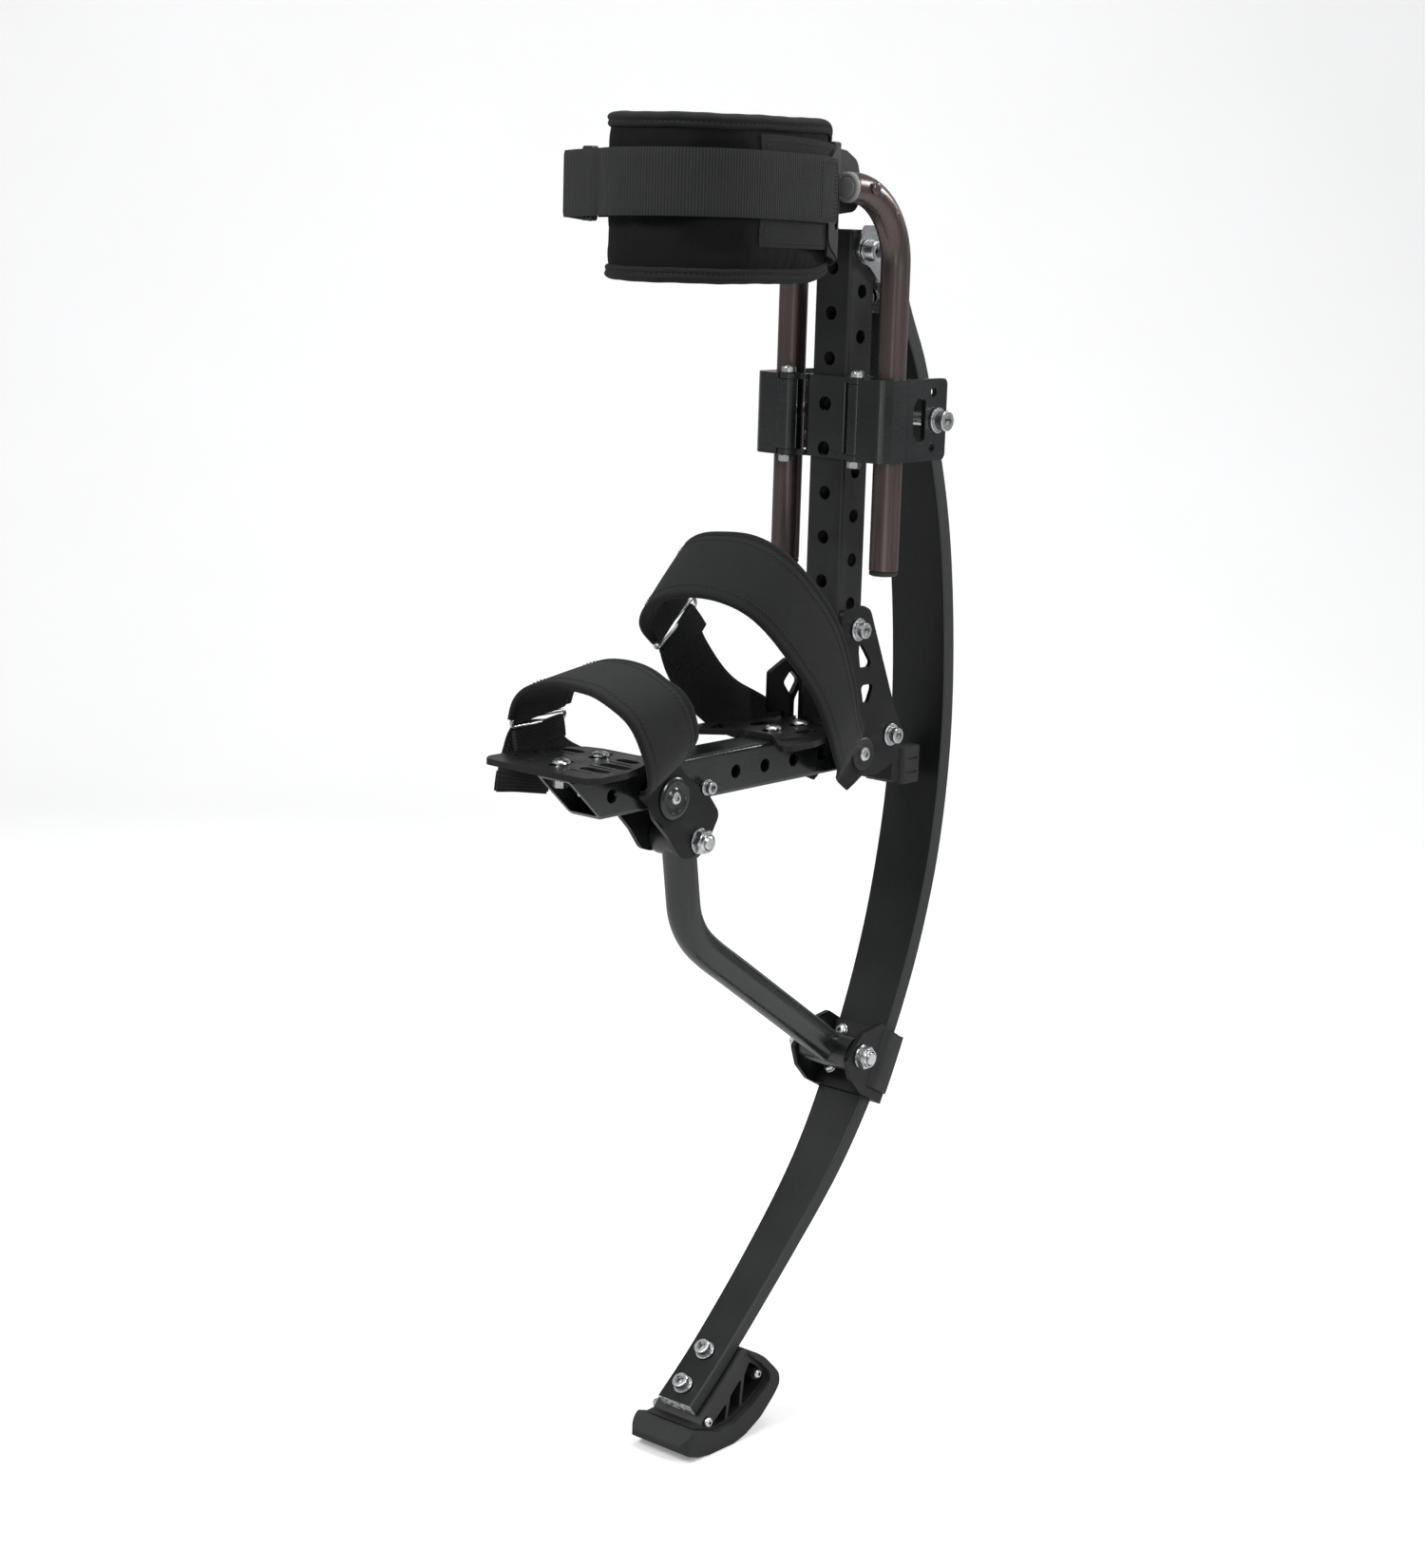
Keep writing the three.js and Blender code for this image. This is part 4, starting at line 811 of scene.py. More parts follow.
# ------------------------------------------------------------------ ankle plates
# outlines as (x, z), and the radius of each corner
ANKLE_PLATE = [(-122, 637), (-148, 639), (-157, 635), (-193, 553), (-201, 541), (-201, 527),
               (-196, 512), (-172, 504), (-149, 507), (-136, 512), (-131, 524), (-122, 548)]
ANKLE_PLATE_RADII = [6, 9, 9, 14, 10, 10, 12, 20, 20, 12, 14, 20]
UPPER_WINDOW = [(-143, 608), (-148, 609), (-160, 594), (-157, 590.5), (-146.5, 590.5)]
LOWER_WINDOW = [(-148, 577), (-164.3, 577), (-158, 563), (-152, 562)]
# raised ring round the ankle bolt: (distance out, radius)
ANKLE_BOSS = [(3.2, 12.2), (3.5, 12.8), (4.3, 12.8), (4.9, 12.0), (5.0, 10.6), (4.4, 9.4),
              (4.3, 5)]

for side, label in SIDES:
    plate = prism_y(fillet(ANKLE_PLATE, ANKLE_PLATE_RADII, 7),
                    *across(side, ANKLE_PLATE_IN, ANKLE_PLATE_OUT))
    plate = cut(plate, round_y(ANKLE_PLATE_TOP, 4.4), round_y(ANKLE_PLATE_REAR, 4.4),
                round_y(ANKLE, 5.5), prism_y(fillet(UPPER_WINDOW, [3, 3, 2.5, 2, 2]), -40, 40),
                prism_y(fillet(LOWER_WINDOW, 3), -40, 40))
    detail(plate, "ankle_plate_" + label, "upright", "paint", bevel=0.55)
    boss = turned(ANKLE_BOSS, at(ANKLE, side * (ANKLE_PLATE_OUT + GAP - 0.1)), (0, side, 0), 52)
    boss = cut(boss, rod(5.2, -5, 20, at(ANKLE, side * ANKLE_PLATE_OUT), (0, side, 0), 36))
    finish(boss, "ankle_pivot_boss_" + label, "heel_strap", "plastic", bevel=0)
for node, point in (("ankle_plate_top_bolt", ANKLE_PLATE_TOP),
                    ("ankle_plate_rear_bolt", ANKLE_PLATE_REAR)):
    put_bolt(node, "upright", at(point), (0, 1, 0), 4, ANKLE_PLATE_OUT + GAP)
pivot_bolt("ankle_pivot_bolt", "upright", ANKLE,
           shank=[(-29.0, 3.8), (-28.4, 4.6), (-27, 5), (26.6, 5)],
           head=[(24.2, 5.4), (24.9, 5.6), (26.4, 5.3), (27.4, 4.4), (27.9, 3.0)],
           socket=(26.6, 5, 4.2), nut=(-24.0, 5.5, 12), sides=36)

# ------------------------------------------------------------------ rebound bumper
half = UPRIGHT_HALF - 0.2
bracket = add(prism_y(rounded_rect(-198, -178, 524, 546, 4), -half, half),
              prism_y(rounded_rect(-206.4, -197, 494, 530, 2), -half, half),
              prism_y(rounded_rect(-200, -174, 512, 525, 2.5), -half, half))
bracket = cut(bracket, round_y(ANKLE_PLATE_REAR, 4.4),
              prism_y(rounded_rect(-194, -182, 515, 521, 2), -40, 40))
detail(bracket, "bumper_bracket", "upright", "paint", bevel=0.7)

block = prism_z(rounded_rect(-232, -206.7, -19, 19, 5, 8), 491, 520)
grooves = [prism_x(rounded_rect(-30, 30, z, z + 2.2, 0.8, 2), -233, -230.4)
           for z in (496, 501.2, 506.4, 511.6)]
grooves += [prism_y(rounded_rect(-226, -213, z, z + 2.0, 0.8, 2), y, y + 1.6)
            for z in (498.5, 509.5) for y in (-19.6, 18.0)]
detail(cut(block, *grooves), "rebound_bumper", "upright", "rubber", bevel=1.0, segments=3)

# ------------------------------------------------------------------ calf bracket
# channel round the front and sides of the upright, with two hinge ears on each side
back, seat = -149, UPRIGHT_FRONT + GAP
inside = UPRIGHT_HALF + GAP
outside = inside + 3
bracket = prism_z(fillet(rect(back, seat + 3, -outside, outside), [0, 5, 5, 0], 6),
                  CLAMP_BOTTOM, CLAMP_TOP)
bracket = cut(bracket, prism_z(fillet(rect(back - 5, seat, -inside, inside), [0, 2.9, 2.9, 0], 4),
                               CLAMP_BOTTOM - 5, CLAMP_TOP + 5))
holes = [prism_x(circle(0, FIRST_HOLE + HOLE_PITCH * i, HOLE_RADIUS + 0.4), -140, -100)
         for i in (5, 6)]
ears = []
for side, label in SIDES:
    for z0, z1 in ((CLAMP_BOTTOM, CLAMP_BOTTOM + 4), (CLAMP_TOP - 4, CLAMP_TOP)):
        ears.append(prism_z(circle(HINGE_X, side * HINGE_Y, 7, 40), z0, z1))
        ears.append(prism_z(rect(HINGE_X - 9, HINGE_X - 2, *across(side, 17.5, HINGE_Y)), z0, z1))
    holes.append(prism_z(circle(HINGE_X, side * HINGE_Y, 3.4, 24), CLAMP_BOTTOM - 5,
                         CLAMP_TOP + 5))
holes.append(round_y(CALF_BOLT, 4.4))
detail(cut(add(bracket, *ears), *holes), "calf_bracket", "upright", "anod", bevel=0.6)
put_bolt("calf_bracket_bolt", "upright", at(CALF_BOLT), (0, 1, 0), 3.6, outside + GAP,
         washer=6.6, washer_t=1, head="button")


# ------------------------------------------------------------------ rod clamps
def clamp_arm(side, label):
    """socket round a knee rod, with a hinge knuckle in front and an ear behind"""
    hinge_y, rod_y = side * HINGE_Y, side * ROD_Y
    below, above = CLAMP_BOTTOM - 5, CLAMP_TOP + 5
    knuckle = prism_z(circle(HINGE_X, hinge_y, 7, 44), CLAMP_BOTTOM + 4.5, CLAMP_TOP - 4.5)
    socket = prism_z(circle(ROD_X, rod_y, CLAMP_OUT, 56), CLAMP_BOTTOM, CLAMP_TOP)
    web = prism_z(fillet([(HINGE_X + 6.5, side * (HINGE_Y + 1)),
                          (HINGE_X + 5.5, side * (ROD_Y + 8)),
                          (HINGE_X - 1, side * (ROD_Y + CLAMP_OUT)),
                          (ROD_X, side * (ROD_Y + CLAMP_OUT)), (ROD_X, side * (ROD_Y - 2)),
                          (HINGE_X - 4, side * (HINGE_Y + 8.2))], [3, 9, 9, 0, 0, 0], 6),
                  CLAMP_BOTTOM, CLAMP_TOP)
    ear = prism_y(fillet(rect(-184, ROD_X - 2, CLAMP_BOTTOM, CLAMP_TOP), [5, 0, 0, 5], 6),
                  *across(side, ROD_Y + ROD_SOCKET, ROD_Y + CLAMP_OUT))
    arm = add(knuckle, socket, web, ear)
    tools = [prism_z(circle(ROD_X, rod_y, ROD_SOCKET + 0.1, 56), below, above),
             prism_z(rect(ROD_X - 30, ROD_X + 4, *across(side, 10, ROD_Y - 3)), below, above)]
    # room for the ears of the calf bracket
    for z0, z1 in ((below, CLAMP_BOTTOM + 4.4), (CLAMP_TOP - 4.4, above)):
        tools.append(prism_z(circle(HINGE_X, hinge_y, 7.8, 40), z0, z1))
    tools += [prism_z(circle(HINGE_X, hinge_y, 3.4, 24), below, above),
              round_y(CLAMP_BOLT, 5.6, 80), round_y((-167, 762), 3.6, 80),
              round_y((-167, 803), 3.6, 80)]
    # window in the outer wall of the socket beside the ear
    window = [(-158, 767), (-148, 767), (-143, 773), (-143, 793), (-148, 799), (-158, 799)]
    tools.append(prism_y(fillet(window, [3, 4, 5, 5, 4, 3]), *across(side, ROD_Y + 6, 90)))
    detail(cut(arm, *tools), "rod_clamp_arm_" + label, "upright", "anod", bevel=0.6)


def clamp_hinge_pin(side, label):
    where = (HINGE_X, side * HINGE_Y, 0)
    pin = turned([(CLAMP_BOTTOM - 3, 2.5), (CLAMP_BOTTOM - 2.4, 2.9), (CLAMP_TOP + 3, 2.9)],
                 where, sides=28)
    profile = [(0.4, 5.2), (0.8, 5.5), (3.8, 5.5), (4.8, 4.9), (5.4, 3.4), (5.6, 1.6)]
    head = turned([(CLAMP_TOP + rise, radius) for rise, radius in profile], where)
    head = cut(head, hexagon((*where[:2], CLAMP_TOP + 3.2), (0, 0, 1), 5, 3.6))
    nut = place(hex_nut(5, 10, bottom=True), (*where[:2], CLAMP_BOTTOM - 5.4))
    detail(add(pin, head, nut), "clamp_hinge_pin_" + label, "upright", "zinc", bevel=0, shade=28)


for side, label in SIDES:
    clamp_arm(side, label)
    clamp_hinge_pin(side, label)
put_bolt("rod_clamp_bolt", "upright", at(CLAMP_BOLT), (0, 1, 0), 5, ROD_Y + CLAMP_OUT + GAP,
         washer=9.5, washer_t=2)


# ------------------------------------------------------------------ knee rods
def bend_point(angle):
    """(x, z) on the bend, from its lower end at 0 to its front end at a quarter turn"""
    return ROD_X + ROD_BEND * (1 - cos(angle)), ROD_HEIGHT - ROD_BEND + ROD_BEND * sin(angle)


# front plug: (distance from the end of the rod, radius less than the rod's)
END_PLUG = [(-8, 2.9), (GAP, 2.9), (GAP, 0.2), (GAP + 0.3, 0), (2.3, 0), (3.3, 1.1), (3.5, 2.2),
            (2.9, 2.6), (2.9, 3.6), (3.4, 4.1), (3.7, 6)]
# plug under the foot of the rod, in the same way
FOOT_PLUG = [(-3.0, 2.5), (-2.4, 0.8), (-1.6, 0.2), (0.2, 0.2)]
RIVET = [(-1, 2.2), (0.1, 2.4), (0.7, 2.2), (1.1, 1.5), (1.3, 0.6)]


def knee_rod(side, label):
    y = side * ROD_Y
    line = [(ROD_X, ROD_FOOT), (ROD_X, ROD_FOOT + 1.4), (ROD_X, 800)]
    line += [bend_point(pi / 2 * i / 18) for i in range(19)]
    line += [(ROD_END - 0.5, ROD_HEIGHT), (ROD_END, ROD_HEIGHT)]
    radii = [ROD_R - 1.2] + [ROD_R] * (len(line) - 2) + [ROD_R - 0.4]
    bar = tube_path([at(point, y) for point in line], radii, 44)
    bar = cut(bar, rod(ROD_R - 2, 0, 30, (ROD_END - 24, y, ROD_HEIGHT), (1, 0, 0), 36),
              prism_y(circle(*CUFF_PIVOT, 3.4), y - 20, y + 20))
    detail(bar, "knee_rod_" + label, "knee_rods", "bronze", bevel=0, shade=30)
    plug = turned([(ROD_END + out, ROD_R - less) for out, less in END_PLUG], (0, y, ROD_HEIGHT),
                  (1, 0, 0), 44)
    detail(plug, "knee_rod_end_plug_" + label, "knee_rods", "plug", bevel=0, shade=30)
    plug = turned([(ROD_FOOT + up, ROD_R - less) for up, less in FOOT_PLUG], (ROD_X, y, 0),
                  sides=44)
    finish(plug, "knee_rod_foot_plug_" + label, "knee_rods", "plastic", bevel=0, shade=30)
    rivet = turned(RIVET, at(bend_point(radians(42)), y + side * (ROD_R - 0.3)), (0, side, 0), 30)
    finish(rivet, "knee_rod_rivet_" + label, "knee_rods", "bronze", bevel=0, shade=60)


def cuff_pivot_screw(side, label):
    seat, where, out = ROD_Y + ROD_R + GAP, at(CUFF_PIVOT), (0, side, 0)
    shank = rod(3, 22.2, seat + 2.2, where, out, 24)
    profile = [(0, 4.7), (0.8, 4.8), (1.7, 4.1), (2.2, 3.2), (2.3, 2.2)]
    head = turned([(seat + rise, radius) for rise, radius in profile], where, out)
    head = cut(head, hexagon(at(CUFF_PIVOT, side * (seat + 1.2)), out, 6, 3.6))
    nut = hexagon(at(CUFF_PIVOT, side * 22), out, 3.6, 8)
    detail(add(shank, head, nut), "cuff_pivot_screw_" + label, "cuff", "bronze", bevel=0,
           shade=28)


for side, label in SIDES:
    knee_rod(side, label)
    cuff_pivot_screw(side, label)

# ------------------------------------------------------------------ foot beam
PLATE_BOLTS = {"heel_plate_bolt_rear": -100, "heel_plate_bolt_front": -68,
               "toe_plate_bolt_rear": 122, "toe_plate_bolt_front": 162}
PLATE_BOLT_HOLE = 3.6
PLATE_SLIDE = 8  # travel of a sole plate each way on its bolts

beam = prism_y([(BEAM_BACK, 516), (BEAM_BACK + 8, BEAM_BOTTOM), (135.5, BEAM_BOTTOM),
                (BEAM_FRONT, BEAM_TOP), (BEAM_BACK, BEAM_TOP)], -BEAM_HALF, BEAM_HALF)
beam_box = (-BEAM_HALF, BEAM_HALF, BEAM_BOTTOM, BEAM_TOP)
beam = both(beam, prism_x(rounded_rect(*beam_box, 3.4), BEAM_BACK - 5, BEAM_FRONT + 5))
tools = [prism_x(rounded_rect(*beam_box, 1.4, 3, inset=WALL), BEAM_BACK - 6, BEAM_FRONT + 6)]
hole_xs = [-108 + HOLE_PITCH * i for i in range(4)] + [93, 93 + HOLE_PITCH]
tools += [round_y((x, 528), HOLE_RADIUS) for x in hole_xs]
tools += [round_y(ANKLE, 5.7), round_y(YOKE_REAR, 3.7), round_y(TOE_PIVOT, 4.6)]
tools += [prism_z(circle(x, 0, PLATE_BOLT_HOLE, 24), BEAM_TOP - 8, BEAM_TOP + 8)
          for x in PLATE_BOLTS.values()]
finish(cut(beam, *tools), "foot_beam_tube", "foot_platform", "anod", ["foot_beam"], bevel=0.45)


# ------------------------------------------------------------------ sole plates
def plate_slots(rows):
    """cutters from rows of (x0, y0, x1, y1, radius)"""
    return [prism_z(slot(*row), 535, 575) for row in rows]


def slide_slot(bolt_name):
    x = PLATE_BOLTS[bolt_name]
    return x - PLATE_SLIDE, 0, x + PLATE_SLIDE, 0, PLATE_BOLT_HOLE


TOE_LIFT = 4  # the toe plate stands on a pad above the beam
# right half of the toe plate as (x, y), from the back to the front, and its corner radii
TOE_HALF = [(100, -18), (104, -32), (113, -37), (131, -46), (145, -50), (152, -53), (180, -53),
            (188, -48), (189, -30)]
TOE_RADII = [6, 8, 8, 8, 8, 4, 5, 5, 6]
outline = TOE_HALF + [(189, 0)] + [(x, -y) for x, y in TOE_HALF[::-1]]
plate = prism_z(fillet(outline, TOE_RADII + [0] + TOE_RADII[::-1], 6), SOLE_BOTTOM + TOE_LIFT,
                SOLE_TOP + TOE_LIFT)
plate = add(plate, prism_z(rounded_rect(106, 168, -14, 14, 4), SOLE_BOTTOM,
                           SOLE_BOTTOM + TOE_LIFT + 1))
plate = cut(plate, *plate_slots([
    (122, 21, 122, 31, 4.5), (142, 24, 142, 41, 5), (162, 24, 162, 40, 5),
    (122, -31, 122, -21, 4.5), (142, -41, 142, -24, 5), (162, -40, 162, -24, 5),
    slide_slot("toe_plate_bolt_front"), slide_slot("toe_plate_bolt_rear")]))
plate = cut(plate, *[prism_z(slot(x, y0, x, y1, 1.1, 6), SOLE_TOP + TOE_LIFT - 0.7, 600)
                     for x in (132, 152, 172) for y0, y1 in ((18, 38), (-38, -18))])
detail(plate, "toe_plate", "toe_plate", "paint", bevel=1.0, segments=3)

# heel plate as (x, y) and its corner radii
HEEL_PLATE = [(-50, 14), (-50, -14), (-22, -44), (-22, -49), (-28, -52), (-54, -52), (-74, -46),
              (-92, -38), (-112, -33), (-127, -32), (-127, -24.5), (-113, -22), (-113, 22),
              (-127, 24.5), (-127, 32), (-112, 33), (-92, 38), (-74, 46), (-54, 52), (-28, 52),
              (-22, 49), (-22, 44)]
HEEL_RADII = [6, 6, 3, 3, 4, 6, 8, 8, 8, 3, 3, 4, 4, 3, 3, 8, 8, 8, 6, 4, 3, 3]
# wall that stands on its right edge, as (x, z)
HEEL_WALL = [(-127, SOLE_BOTTOM), (-127, 562), (-134, 572), (-138, 584), (-133, 592),
             (-118, 596), (-98, 587), (-97, 586), (-97, 558), (-99, 555), (-114, 555),
             (-116, 553), (-116, SOLE_BOTTOM)]
HEEL_WALL_RADII = [0, 6, 6, 8, 6, 10, 3, 3, 3, 3, 2, 3, 0]
plate = prism_z(fillet(HEEL_PLATE, HEEL_RADII), SOLE_BOTTOM, SOLE_TOP)
plate = cut(plate, *plate_slots([
    (-42, 34, -56, 38, 4.5), (-74, 22, -86, 22, 5), (-42, -34, -56, -38, 4.5),
    (-74, -22, -86, -22, 5), slide_slot("heel_plate_bolt_front"),
    slide_slot("heel_plate_bolt_rear")]))
wall_window = fillet([(-113, 577), (-122, 586), (-132, 577), (-123, 565)], 3)
wall = cut(prism_y(fillet(HEEL_WALL, HEEL_WALL_RADII), -32, -28), prism_y(wall_window, -90, 90))
detail(add(plate, wall), "heel_plate", "heel_plate", "paint", bevel=1.0, segments=3)

# button heads on the plates, square to nuts inside the beam
for node, x in reversed(PLATE_BOLTS.items()):
    seat = SOLE_TOP + GAP + (TOE_LIFT if x > 0 else 0)
    ceiling = BEAM_TOP - WALL
    shank = turned([(ceiling - 5, 2.7), (ceiling - 4.6, 3), (seat + 1, 3)], (x, 0, 0), sides=26)
    profile = [(0, 6.4), (0.3, 6.6), (1.3, 6.3), (2.2, 5.4), (2.8, 4.0), (2.9, 2.4)]
    head = turned([(seat + rise, radius) for rise, radius in profile], (x, 0, 0), sides=44)
    head = cut(head, hexagon((x, 0, seat + 1.0), (0, 0, 1), 5, 4.0))
    nut = hexagon((x, 0, ceiling - GAP - 5), (0, 0, 1), 5, 10)
    detail(add(shank, head, nut), node, "foot_platform", "zinc", bevel=0, shade=28)

# ------------------------------------------------------------------ front yoke
# outline as (x, z) and its corner radii
YOKE = [(88, 540), (58, 538), (26, 515), (14, 500), (22, 487), (44, 470), (58, 474), (70, 490),
        (86, 506), (92, 524)]
YOKE_RADII = [5, 16, 12, 8, 14, 12, 12, 30, 14, 8]
# dished washer that clamps the strap: (distance out, radius)
STRAP_WASHER = [(0, 15.0), (0.4, 15.6), (1.4, 15.6), (2.4, 14.6), (2.9, 12.8), (2.6, 11.4),
                (1.5, 10.4), (1.3, 7.6), (1.9, 6.6), (1.9, 4)]
for side, label in SIDES:
    plate = prism_y(fillet(YOKE, YOKE_RADII, 7), *across(side, YOKE_IN, YOKE_OUT))
    plate = cut(plate, round_y(PUSH_ROD_TOP, 5.4), round_y(YOKE_REAR, 3.6),
                round_y(TOE_PIVOT, 4.4))
    detail(plate, "front_yoke_" + label, "foot_platform", "paint", bevel=0.6)
put_bolt("yoke_rear_bolt", "foot_platform", at(YOKE_REAR), (0, 1, 0), 3, YOKE_OUT + GAP, washer=6)
put_bolt("push_rod_upper_bolt", "foot_platform", at(PUSH_ROD_TOP), (0, -1, 0), 5, YOKE_OUT + GAP,
         washer=9.6, washer_t=1.8, head="hex")
pivot_bolt("toe_strap_bolt", "foot_platform", TOE_PIVOT,
           shank=[(-28.6, 3.0), (-28.0, 3.8), (-27, 4), (26, 4)],
           head=[(25.0, 4.4), (25.6, 4.6), (26.8, 4.3), (27.6, 3.5), (27.9, 2.4)],
           socket=(26.9, 4, 3.2), nut=(-25.0, 4.2, 10), sides=32)
for side, label in SIDES:
    where = at(TOE_PIVOT, side * (YOKE_OUT + GAP + 3.4))
    washer = turned(STRAP_WASHER, where, (0, side, 0), 56)
    washer = cut(washer, rod(4.2, -5, 20, where, (0, side, 0), 30))
    finish(washer, "toe_strap_washer_" + label, "foot_platform", "anod", bevel=0, shade=30)

# ------------------------------------------------------------------ push rod
# middle of the bar as (x, z), from the yoke down to the spring
PUSH_ROD = [PUSH_ROD_TOP, (33.5, 460), (30, 436), (27.8, 424), (22, 411), (13, 399.5), (2, 390),
            (-29, 368.5), (-60, 347), (-89, 327), (-118, 307), PUSH_ROD_LOW]
line = smooth_line([at(point) for point in PUSH_ROD], 5)[0]
bar = tube_path([tuple(point) for point in line], 12.7, 48)
bar = add(bar, round_y(PUSH_ROD_TOP, 15, 15.2, 56), round_y(PUSH_ROD_LOW, 14, 23.6, 56))
bar = cut(bar, round_y(PUSH_ROD_TOP, 6.4, 30, 36), round_y(PUSH_ROD_LOW, 7.4, 30, 36))
detail(bar, "push_rod", "push_rod", "anod", bevel=0.5, bevel_angle=50, shade=40)
bush = turned([(-24, 5.4), (-24, 7.0), (24, 7.0), (24, 5.4)], at(PUSH_ROD_LOW), (0, 1, 0), 36,
              closed=True)
detail(bush, "push_rod_lower_bush", "push_rod", "plastic", bevel=0)

# ------------------------------------------------------------------ leaf spring
# rear face as (z, x), from the top down
LEAF_BACK = [(889, -176), (866, -184), (830, -203), (785, -220), (749, -232), (693, -247),
             (641, -255.5), (588, -260.5), (535, -262), (482, -259), (441, -253.5), (396, -244),
             (347, -229.5), (291, -207), (239, -180.5), (182, -142), (139, -103), (102, -66),
             (71, -33), (49, -8), (29, 17)]
# half width and thickness as (z, value), from the top down
LEAF_HALF_WIDTH = [(900, 25), (860, 26), (420, 26), (347, 25), (291, 24), (239, 22.5),
                   (182, 20), (139, 18), (102, 17), (60, 16.5), (20, 16.5)]
LEAF_THICKNESS = [(900, 13.5), (300, 13.5), (180, 12.5), (60, 12), (20, 12)]
LEAF_CORNER, LEAF_CORNER_STEPS = 1.6, 4
leaf_points, leaf_along, _ = smooth_line([(x, 0, z) for z, x in LEAF_BACK], 8)
leaf_along = leaf_along / np.linalg.norm(leaf_along, axis=1)[:, None]
LEAF_COUNT = len(leaf_points)


def at_height(table, z):
    for (upper, first), (lower, second) in zip(table, table[1:]):
        if lower <= z <= upper:
            return first + (second - first) * (z - upper) / (lower - upper)


def forward_of(along):
    """direction through the leaf from its rear face to its front face"""
    return np.array([-along[2], 0, along[0]])


def leaf_seat(z):
    """middle of the leaf where its rear face is at z: point (x, z), normal, half thickness"""
    heights = leaf_points[:, 2]
    i = int(np.argmin(np.abs(heights - z)))
    j = i + 1 if heights[i] > z else i - 1
    part = (heights[i] - z) / (heights[i] - heights[j])
    point = leaf_points[i] * (1 - part) + leaf_points[j] * part
    along = leaf_along[i] * (1 - part) + leaf_along[j] * part
    forward = forward_of(along / np.linalg.norm(along))
    depth = at_height(LEAF_THICKNESS, z) / 2
    middle = (point[0] + forward[0] * depth, point[2] + forward[2] * depth)
    return middle, tuple(forward), depth


def leaf_section(half_width, thickness):
    """rounded rectangle as (y, distance forward of the rear face)"""
    points = []
    radius = LEAF_CORNER
    for y, depth, start in ((half_width - radius, radius, -90),
                            (half_width - radius, thickness - radius, 0),
                            (-half_width + radius, thickness - radius, 90),
                            (-half_width + radius, radius, 180)):
        for i in range(LEAF_CORNER_STEPS + 1):
            angle = radians(start + 90 * i / LEAF_CORNER_STEPS)
            points.append((y + radius * cos(angle), depth + radius * sin(angle)))
    return points


def write_ply_map(mesh):
    """fills the "ply" map that the laminate material reads"""
    ply_map = mesh.uv_layers.new(name="ply")

    def nearest(point):
        return int(np.argmin((leaf_points[:, 0] - point[0]) ** 2
                             + (leaf_points[:, 2] - point[2]) ** 2))

    for polygon in mesh.polygons:
        normal = np.array(polygon.normal)
        i = nearest(np.array(polygon.center) / MM)
        part = 0.0
        if abs(normal[1]) > 0.55:
            part = 0.5
        if abs(float(normal @ leaf_along[i])) > 0.9 and (i < 2 or i > LEAF_COUNT - 3):
            part = 1.0
        for loop in polygon.loop_indices:
            point = np.array(mesh.vertices[mesh.loops[loop].vertex_index].co) / MM
            i = nearest(point)
            depth = float((point - leaf_points[i]) @ forward_of(leaf_along[i]))
            ply_map.data[loop].uv = (depth * MM, part)


vertices, rear_line, front_line = [], [], []  # the lines are the faces as (x, z)
for point, along in zip(leaf_points, leaf_along):
    forward, thickness = forward_of(along), at_height(LEAF_THICKNESS, point[2])
    for y, depth in leaf_section(at_height(LEAF_HALF_WIDTH, point[2]), thickness):
        vertices.append((point[0] + forward[0] * depth, y, point[2] + forward[2] * depth))
    rear_line.append((float(point[0]), float(point[2])))
    front_line.append((float(point[0] + forward[0] * thickness),
                       float(point[2] + forward[2] * thickness)))
leaf = solid(vertices, loft_faces(LEAF_COUNT, 4 * (LEAF_CORNER_STEPS + 1)))

TOP_SEAT = leaf_seat(877)
CLAMP_SEATS = [leaf_seat(279), leaf_seat(252)]
HOOF_SEATS = [leaf_seat(59), leaf_seat(38)]
CLAMP_BOLT_Y = (14, -14)


def clamp_bores(start, end):
    return [rod(3.5, start, end, at(point, y), normal, 24)
            for point, normal, _ in CLAMP_SEATS for y in CLAMP_BOLT_Y]


def top_bore():
    return rod(4.5, -40, 40, at(TOP_SEAT[0]), TOP_SEAT[1], 28)


leaf = cut(leaf, top_bore(), *clamp_bores(-40, 40),
           *[rod(4.5, -40, 40, at(point), normal, 28) for point, normal, _ in HOOF_SEATS])
write_ply_map(leaf.data)
detail(leaf, "leaf_spring", "spring", "laminate", bevel=0, shade=34)


def stretch_of(line, low, high):
    return [point for point in line if low <= point[1] <= high]


# ------------------------------------------------------------------ spring top bracket
LEAF_TOP_X, LEAF_TOP_Z = -0.3285, -0.9445  # direction down the top of the leaf


def from_leaf_top(down, out):
    """(x, z) at a distance down the front face of the leaf from its top, and out from it"""
    x, z = front_line[0]
    return (x + LEAF_TOP_X * down - LEAF_TOP_Z * out, z + LEAF_TOP_Z * down + LEAF_TOP_X * out)


BRACKET_HALF = 19.9
